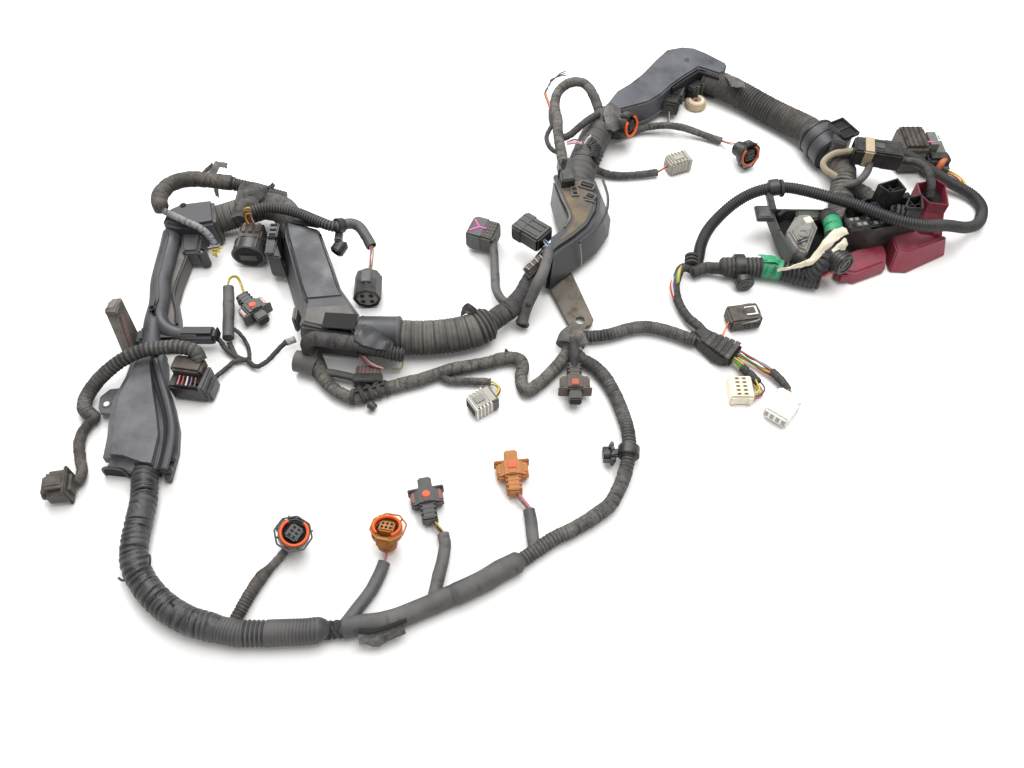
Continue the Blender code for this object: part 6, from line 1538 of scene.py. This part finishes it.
wired_lead("grey_square_lead", "mid_loom", "tape_dusty 7.5: -112 -123.5 7, "
    "-101 -130 6, -82 -131 6, -64 -132 6", "grey_square_wires", "-65.5 -132 6, -60 -133.5 6, -56 -140 7, "
    "-60 -148 8, -67 -153 8", "yellow olive brown", 0.0018, 0.0015)
loom("flat_twin_lead", "mid_loom", "sleeve 7.5: -217 -122.5 9, -200 -126.5 10.5, -181 -130.5 8")
loom("junction_plug_lead", "mid_loom", "tape_dark 9: 11 -89 12, 11 -98 20, 10.8 -110 20, 10.5 -124 15")

# Over and beyond the right duct
loom("fan", "upper_loom", "fan_ribs 32: 17 80 25.5, 22 100 26, 28 124 26, 36 150 25, 44 175 22, 48 186 20; "
    "tape 24: 52 195 18.5, 61 211 18.5, 73 229 18.5")
loom("upper_loop", "upper_loom", "tape_dusty 11: 8.5 103 42, 6 120 46, 4 138 48, 3 156 48, 3 176 47, "
    "1 198 45, 3 218 44, 10 233 44, 21 242 44, 31 242 44, 39 233 44, 44 221 42, 49 207 36, 52 195 28")
loom("split_strand", "upper_loom", "tape_dark 5: 3 177 47, -4 165 45.5, -9 149 45, -5 132 45.5, 5 122 46.5")
loom("upper_cable", "upper_loom", "taped_ribs 8: 6 146 47, 15 154 44, 25 166 44, 37 182 42, 47 197 36, "
    "55 207 29")
wired_lead("grey_plug_lead", "upper_loom", "tape_fine 8: 34 146 14, 50 140 7, "
    "67 136 5.5, 90 137 5.5, 111 140.5 5.5", "grey_plug_wires", "109 140.2 5.8, 114 142 6.5, "
    "120 145.5 8.5, 128 149.2 9", "red brown", 0.0012, 0.0014)
loom("upper_ring_lead", "upper_loom", "tape_dusty 9: 54 199 20, 64 196.5 24, 73 197 25")
wired_lead("upper_twig", "upper_loom", "tape_fine 8: 56 199 10, 70 198.5 6, "
    "86 204.5 5.5, 104 209 9, 125 209 12, 143 207 11, 157 204.5 8, 171 199 6, 187 191 5.5",
    "upper_twig_wires", "185.5 191.8 5.6, 190 188 6.5, 195 181 10, 198.5 174 14.5, 200.5 165 16",
    "red white", 0.0013, 0.0014)
wires("upper_oval_wires", "upper_loom", "129.5 209 12, 130 220 11.5, 133.5 236.5 11.5", "grey black",
    0.0013, 0.0016)

# The right end
loom("right_trunk", "right_trunk", "taped_flex_dusty 29: 178 283 18.5, 192 274 18, 207 263.5 17, "
    "221 251.5 16.5, 233 240 16, 246 228 15.5, 258 216.5 16, 270 204 17.5, 279 191.5 20, 285 178.5 21.5, "
    "288.5 170 21.5")
loom("right_bundle", "right_bundle", "wound_dusty 25: 290.5 165 21.5, 296 152 21, 303 139 20, "
    "304.5 126 18, 301 112 16, 296.5 96 15, 292 80 15, 289 65 15, 288.5 52 15")
loom("joined_plug_cross", "right_bundle", "sleeve 8: 295 100 22, 302 94.5 31, 311 98.5 35, 319 109 36, "
    "325.5 123 37")
loom("cream_tube", "right_bundle", "cream 6.5: 310.5 133.5 42, 300 134 40, 289 133.5 37, 280 129 31, "
    "281.5 123 26, 293 116 22")
loom("fuse_feed", "right_bundle", "tape_brown 17: 301 108 18, 313 96 20, 322 84 20, 326 66 20")
loom("right_loop", "right_loom", "conduit_black 11.8: 348.1 129.7 42, 360 128.5 40, 376 126.5 33, "
    "393 122 24, 418 116 12, 436 105 8, 442 90 7, 439 76 7, 427 58 12, 403 39 26, 375 28 40, 350 22 46, "
    "329 25 48, 312 34 48, 290 47 48, 267 59 47, 247 71 44, 233 78 41.5, 217 80 40, 197 77 36, 180 70 30, "
    "164 59 22, 151 45 16, 143 29 12, 139 14 10, 134 0 9")
loom("right_flex", "right_loom", "tape_dark 11.8: 131 -4 8.5, 144 1 9, 158 0 10; "
    "taped_flex 20: 162 0 11.5, 176 0 11.5, 196 0 11.5; green 20.4: 199 -0.4 11.5, 211 -2.8 11.5; "
    "flex_black 20: 217 -4.3 11.5, 236 -11.5 11, 252 -15.5 11")
loom("shroud_twig", "right_loom", "tape_dark 9: 134 -2 9, 123 1 10, 116 -10 10, 112 -26 9, 114 -43 8, "
    "120 -59 8, 127.5 -69.5 9, 133 -79 10")
loom("green_bundle", "right_loom", "wound_dark 17: 240 -15 14, 251 -10 28, 259.5 4 38; "
    "green 17.2: 262.8 14 41.2, 265.2 29 40.4; wound_dark 17: 265.6 33 39.2, 266.2 42 35, 266.5 50 30")
wires("boot_wires", "right_loom", "411 138.5 14, 421 130.5 13, 429 120 11, 432 107.5 9",
    "yellow orange white black brown", 0.0026, 0.0018)
loom("inner_lead", "inner_lead", "tape_dark 8: 345.8 119.4 42, 357 115 44, 364 102 52, 366.5 86 56, "
    "367.5 72 52, 368 64 43")
wires("white_plug_fan", "fanned_wires", "146 -96 10, 154 -106 8, 163 -117 7",
    "yellow green olive white purple yellow pink black", 0.0034, 0.0017)
loom("white_plug_tape", "fanned_wires", "tape_dark 8.5: 163 -117 7, 170 -126 7, 174.5 -133.5 7")
wires("white_plug_loop", "fanned_wires", "172.5 -130 7, 175.5 -136 7, 176.5 -142 7, 172 -146.5 7, "
    "165 -146.5 7", "yellow olive purple yellow pink black", 0.004, 0.0015)
wires("clear_plug_fan", "fanned_wires", "146 -94 10.5, 160 -101 8, 169 -107 7, 180 -114 7, 189 -121 7",
    "red green orange red white yellow green blue", 0.0036, 0.0017)
loom("clear_plug_tape", "fanned_wires", "tape_dark 8: 189 -121 7, 195.5 -130 7, 200 -141 7")
wires("clear_plug_wires", "fanned_wires", "197 -134 7, 200 -141 7, 200 -153 8",
    "red green blue orange red green", 0.003, 0.0016)
wires("bail_plug_wires", "fanned_wires", "146 -92 11, 150 -81 10, 154.5 -72 9, 162 -62 8.5", "orange pink",
    0.0013, 0.0015)


# Loose ends: torn tape, flaps, knots, strands and short pieces that hang on the looms
def band(form, at, way, diameter, width, finish):
    """A tie round a loom at a place, square to its way."""
    at, way = Vector(at), Vector(way).normalized()
    form.barrel(at - way * width / 2, at + way * width / 2, diameter, finish, 0.0004)


left = Moulding()
left.sheet(pairs("-352.5 93.5 44 -344 90.5 44, -347 101 49 -340 96.5 49, -344 109 50 -337 100 50, "
    "-333 108 47 -331.5 98.5 48"), TAPE)
left.sheet(pairs("-360 96 43 -357 92 43, -348 108 49 -346 103 49"), TAPE_DARK)
left.sheet(pairs("-344.2 79.3 38 -340 81.5 37, -342 74 34 -339.3 72.8 33"), TAPE_DARK)
# The wide tape that crosses from the loop down over the corner trunk
left.sheet(pairs("-315 79 46 -283 73 48, -318 69 43 -289 65 44, -320 58 37 -298 56 39, "
    "-323 48 30 -308 46 31"), TAPE, bow=0.004)
left.sheet(pairs("-287 71 48 -280 69 48, -283 76 50 -279 74.5 50"), TAPE_DARK)
chance = random.Random(5)
for strand in range(16):
    root = Vector((-0.3325, 0.013, 0.025))
    reach = [root + Vector((chance.uniform(-0.006, 0.006), chance.uniform(-0.01, 0.004),
        chance.uniform(-0.003, 0.004))) * s for s in (0.3, 0.7, 1.1)]
    left.rod([root] + reach, 0.0015, (TAPE_PALE, WIRE["olive"], TAN, WIRE["yellow"])[strand % 4], sides=5,
        smooth=3)
left.made("left_loose_tape", None, "loom_tape")

# The open sleeve end on the middle loom, the black saddle over the stub, and the knots below it
middle = Moulding()
middle.slab(WING, -1.2, 4, 18, SLEEVE, 4.5, segments=5)
middle.rod(mm("-240 -112.5 11.5, -231 -114.5 11.5, -220 -118.5 11"), 0.0205, SLEEVE, sides=20, flat=0.9)
middle.sheet(pairs("-183 -94 39.5 -183 -112 43, -176 -92 39 -175 -118 43, -166 -96 37.5 -165 -119 39, "
    "-156 -102 34.5 -156 -118 35.5, -149 -107 31 -150 -116 32"), DUCT_DEEP, bow=0.003, thick=0.001)
for at, way, wide in (((-0.185, -0.1495, 0.0085), (1.0, -0.1, 0), 0.015), ((-0.1775, -0.148, 0.0085),
        (1.0, 0.5, 0), 0.0158), ((-0.17, -0.145, 0.0085), (1.0, 0.5, 0), 0.0152),
        ((-0.1632, -0.1425, 0.0085), (1.0, 0.4, 0), 0.015), ((-0.1565, -0.1398, 0.0085), (1.0, 0.4, 0),
        0.0144)):
    band(middle, at, way, wide, 0.0034, TAPE_DARK)
for index in range(4):
    x = -0.183 + 0.007 * index
    middle.sheet([((x, -0.15 + 0.0022 * index, 0.015), (x + 0.006, -0.147 + 0.0022 * index, 0.0155)),
        ((x + 0.001, -0.144 + 0.002 * index, 0.015), (x + 0.0065, -0.1425 + 0.002 * index, 0.014))],
        TAPE_DARK, bow=0.0016)
middle.bar("-170.5 -156 7.5, -165 -160 6", 7.5, BLACK, 0.8)
middle.rod(mm("-186 -138 8, -180 -135 13, -176 -138 15"), 0.0009, WIRE["black"])
middle.rod(mm("-150 -110 20, -144 -111 13, -145 -117.5 7, -153 -119 8"), 0.0014, WIRE["olive"])
for index, colour in enumerate(("brown", "pink", "white", "brown")):
    shift = 0.0022 * index
    middle.rod([(-0.182 + shift, -0.112 - 0.3 * shift, 0.02), (-0.174 + shift, -0.12, 0.0175),
        (-0.164 + shift, -0.123, 0.015)], 0.0013, WIRE[colour])
# The clip behind the wide conduit, and the tape ends on the long loom
middle.sheet(pairs("-92 -74 28 -78 -76 28, -90.5 -67 33 -77 -70 33"), BLACK, bow=0.006, thick=0.0016)
middle.sheet(pairs("-52 -106 12.5 -47 -106 12.5, -51.5 -101.5 14.5 -49 -101.5 14.5"), TAPE_DARK, bow=0.0004)
middle.made("middle_loose_parts", None, "loom_tape")

# The flat holder on the trunk, the blue sleeve's open end and the taped hood of the junction
centre = Moulding()
for step in range(3):
    plate = outset(mm("-35 -25, -19 -8.5, -13 -15, -29 -37"), -0.0012 * step)
    centre.outline(plate, plate, 0.036 + 0.0026 * step, 0.0378 + 0.0026 * step, DUSTY, 0.0005)
for step in range(4):
    centre.rod([(-0.033 + 0.0046 * step, -0.027 + 0.0044 * step, 0.0436), (-0.029 + 0.0042 * step,
        -0.032 + 0.0046 * step, 0.0436)], 0.0014, PALE, smooth=1)
centre.bar("-34.5 -65.5 9, -36.2 -69 8", 14, SLEEVE, 1.2, far=13, bore=9.5, deep=2.5, inside=SHADOW)
centre.bar("-30 -60 27, -29.7 -60.4 28.2", 5, SHADOW, 0.2)
centre.rod(mm("4.2 -95 11, 7 -87.5 12.5, 13 -83.5 12.5, 19 -85 11.5"), 0.019, TAPE, sides=20)
centre.sheet(pairs("15 -76 21 7 -93 21.5, 20.5 -85 20 13 -99 19, 25 -95 15 20 -101 14"), TAPE_DUSTY,
    bow=0.003)
centre.made("centre_loose_parts", None, "loom_tape")

# Over the right duct: the black ribbed collar, bare wires, frayed strands and flaps
upper = Moulding()
hub = Vector((0.03, 0.133, 0.045))
for step in range(9):
    angle = math.radians(62 - 15 * step)
    tip = hub + Vector((0.0195 * math.cos(angle), 0.02 * math.sin(angle), -0.0015 - 0.0012 * step))
    upper.rod([hub + (tip - hub) * 0.35, hub + (tip - hub) * 0.7 + Vector((0, 0, 0.0014)), tip], 0.0021,
        BLACK, smooth=3)
# A sheet of painted shade beside the collar's fins
upper.sheet(pairs("37 143 42.5 40 150.5 42.5, 40 133 43.5 47.5 138 42.5, 37 124 43 44 119 41"), SHADOW,
    bow=0.002)
for index, (colour, lift) in enumerate((("pink", 0.0), ("white", 0.0016), ("purple", 0.003),
        ("white", 0.0))):
    upper.rod([(0.012, 0.14 + 0.0014 * index, 0.044), (0.02, 0.14 + 0.0012 * index, 0.0455 + lift),
        (0.0275, 0.1412 + 0.0012 * index, 0.043)], 0.0015, WIRE[colour])
upper.rod(mm("30 140 45, 33 144 48, 36.2 147 49, 36.6 150.5 47"), 0.0011, WIRE["white"])
for shift in (0.0, 0.0018):
    upper.rod([(-0.004 + shift, 0.19, 0.045), (-0.0062 + shift, 0.203, 0.0455), (-0.0088 + shift, 0.215,
        0.045), (-0.0094 + shift, 0.223, 0.044)], 0.0017, WIRE["orange" if shift else "brown"])
for lean in (0.0, 0.0008, -0.0007):
    upper.rod([(-0.0094, 0.223, 0.044), (-0.0072 + lean, 0.2292, 0.044), (-0.0035 - lean, 0.2384, 0.0445),
        (-0.0009 + 2 * lean, 0.2453, 0.0445), (0.0082, 0.2547 + 3 * lean, 0.044), (0.0148, 0.258 + 5 * lean,
        0.0435)], 0.0013, TAPE)
upper.sheet(pairs("-6 196 44 0 193 45.5, -6.2 182 44 -0.8 180 46, -5 168 44 1 168 47"), TAPE_DARK,
    bow=0.002)
upper.sheet(pairs("195 268 34.5 199 243 37, 203 264 37 207 242 38, 213 254 37 214 242 36.5"), TAPE,
    bow=0.0012)
upper.sheet(pairs("56 176 33 52 212 33, 65 174 34 64 220 34.5, 73 182 30 74 218 31"), TAPE, bow=0.004)
upper.made("upper_loose_parts", None, "loom_tape")

# At the right end: the torn white tape, the green tape's tag, bare wires and the ties on the loop
right = Moulding()
right.sheet(pairs("270 16.5 49 274.5 10.5 47, 260 12.5 51.5 264.5 3.5 50, 249.5 4 44.5 253.5 -5 42, "
    "238.5 -7.5 32 241 -13 30, 220.5 -11 24 221.5 -13.5 23.5, 208.5 -13.5 23.2 208 -15.2 22.8"), CREAM_TAPE,
    bow=0.002)
right.sheet(pairs("269 5 47 273 1 43, 264 -1 48 268 -7 43, 256 -6 42 258 -10 39"), CREAM_TAPE, bow=0.0016)
right.sheet(pairs("194 9 19 208 7.5 19.5, 196.5 4 23 213 2 23, 197.5 -3 22.8 212 -5 22.4"), GREEN_TAPE,
    bow=0.001)
for index, colour in enumerate(("pink", "orange", "red", "purple", "white", "pink", "orange")):
    shift = 0.0021 * index
    right.rod([(0.252, -0.0215 + 0.8 * shift, 0.019), (0.258 + 0.2 * shift, -0.02 + shift, 0.0235),
        (0.265, -0.014 + shift, 0.026)], 0.0017, WIRE[colour], sides=6, smooth=3)
for at, way, wide in (((0.2245, 0.0795, 0.04), (1.0, 0.05, 0.1), 0.0175), ((0.3331, 0.0409, 0.043),
        (1.0, -0.28, 0), 0.0165), ((0.329, 0.0425, 0.043), (1.0, -0.28, 0), 0.016), ((0.3372, 0.04, 0.043),
        (1.0, -0.25, 0), 0.016)):
    band(right, at, way, wide, 0.003, TAPE_DARK)
for x, y in ((0.13, 0.003), (0.1305, 0.0075), (0.1312, 0.012)):
    band(right, (x, y, 0.013), (0.1, 1.0, 0.1), 0.0128, 0.0028, TAPE_DARK)
# The twig to the shroud is unwrapped on its outer side
for index, colour in enumerate(("red", "white", "purple", "black", "green", "yellow", "olive")):
    shift = 0.0019 * index
    rise = 0.0026 * index
    right.rod([(0.115 + 0.5 * shift, -0.013 + rise, 0.012), (0.1085 + 0.9 * shift, -0.02 + rise, 0.015),
        (0.1062 + 0.9 * shift, -0.029 + rise, 0.0145), (0.109 + 0.5 * shift, -0.04 + rise, 0.0095)], 0.0017,
        WIRE[colour], sides=6)
right.made("right_loose_parts", None, "loom_tape")

# On the front loop: the curl of tape, its frayed end and the slit in the loom
front = Moulding()
front.rod(mm("-331 -300 12, -326 -301 16, -324 -305 17, -325 -308.5 13"), 0.0022, TAPE_DARK, flat=0.4)
front.rod(mm("-339 -317 12, -344 -319 10, -348 -317 11"), 0.0018, TAPE_DARK, flat=0.4)
front.sheet(pairs("-300 -344 20 -296 -347 20, -298.5 -340 23.5 -295 -342 23"), TAPE_DARK, bow=0.0006)
front.rod(mm("-158 -360 16.5, -148 -360.5 16, -136 -357 16.5, -123 -352 16.5"), 0.0034, SHADOW, flat=0.35)
front.sheet(pairs("-158 -362 15 -157.5 -368 11, -144 -364 14.5 -143 -370 10, -125 -355 15 -123.5 -360 12"),
    TAPE, bow=0.0006)
front.sheet(pairs("-179 -359 15 -173.5 -359.5 15, -178 -354 18 -174.5 -354.5 18"), TAPE_DARK, bow=0.0008)
front.made("front_loose_parts", None, "loom_tape")


# The pale bench, an even bright room and two soft lamps
bench_mesh = bpy.data.meshes.new("bench")
bench_mesh.from_pydata(mm("-4000 -3000 0, 4000 -3000 0, 4000 5000 0, -4000 5000 0"), [], [(0, 1, 2, 3)])
bench = bpy.data.objects.new("bench", bench_mesh)
bpy.context.scene.collection.objects.link(bench)
paper, paper_tree, paper_shader = begin("matt_bench_paint", 0.85)
paper_shader.inputs["Base Color"].default_value = linear("#f4f3f1")
bench_mesh.materials.append(paper)

for name, place, aim, size, power in (("window_lamp", (-0.5, 1.2, 1.3), (0.0, 0.0, 0.0), 0.9, 26.0),
        ("ceiling_lamp", (0.3, 0.1, 1.9), (0.0, 0.0, 0.0), 1.4, 34.0)):
    light = bpy.data.lights.new(name, "AREA")
    light.size = size
    light.energy = power
    lamp = bpy.data.objects.new(name, light)
    lamp.location = place
    lamp.rotation_euler = (Vector(aim) - Vector(place)).to_track_quat("-Z", "Y").to_euler()
    bpy.context.scene.collection.objects.link(lamp)

world = bpy.data.worlds.new("room")
world.use_nodes = True
bpy.context.scene.world = world
background = world.node_tree.nodes["Background"]
background.inputs["Color"].default_value = linear("#ffffff")
background.inputs["Strength"].default_value = 0.55

lens = bpy.data.cameras.new("photo_camera")
lens.lens = CAMERA_LENS
lens.sensor_width = 36.0
lens.sensor_fit = "HORIZONTAL"
camera = bpy.data.objects.new("photo_camera", lens)
camera.location = LAYOUT @ Vector(CAMERA_PLACE)
camera.rotation_euler = (math.radians(90 - CAMERA_DOWN), 0.0, 0.0)
bpy.context.scene.collection.objects.link(camera)
bpy.context.scene.camera = camera
bpy.context.scene.view_settings.view_transform = "Standard"
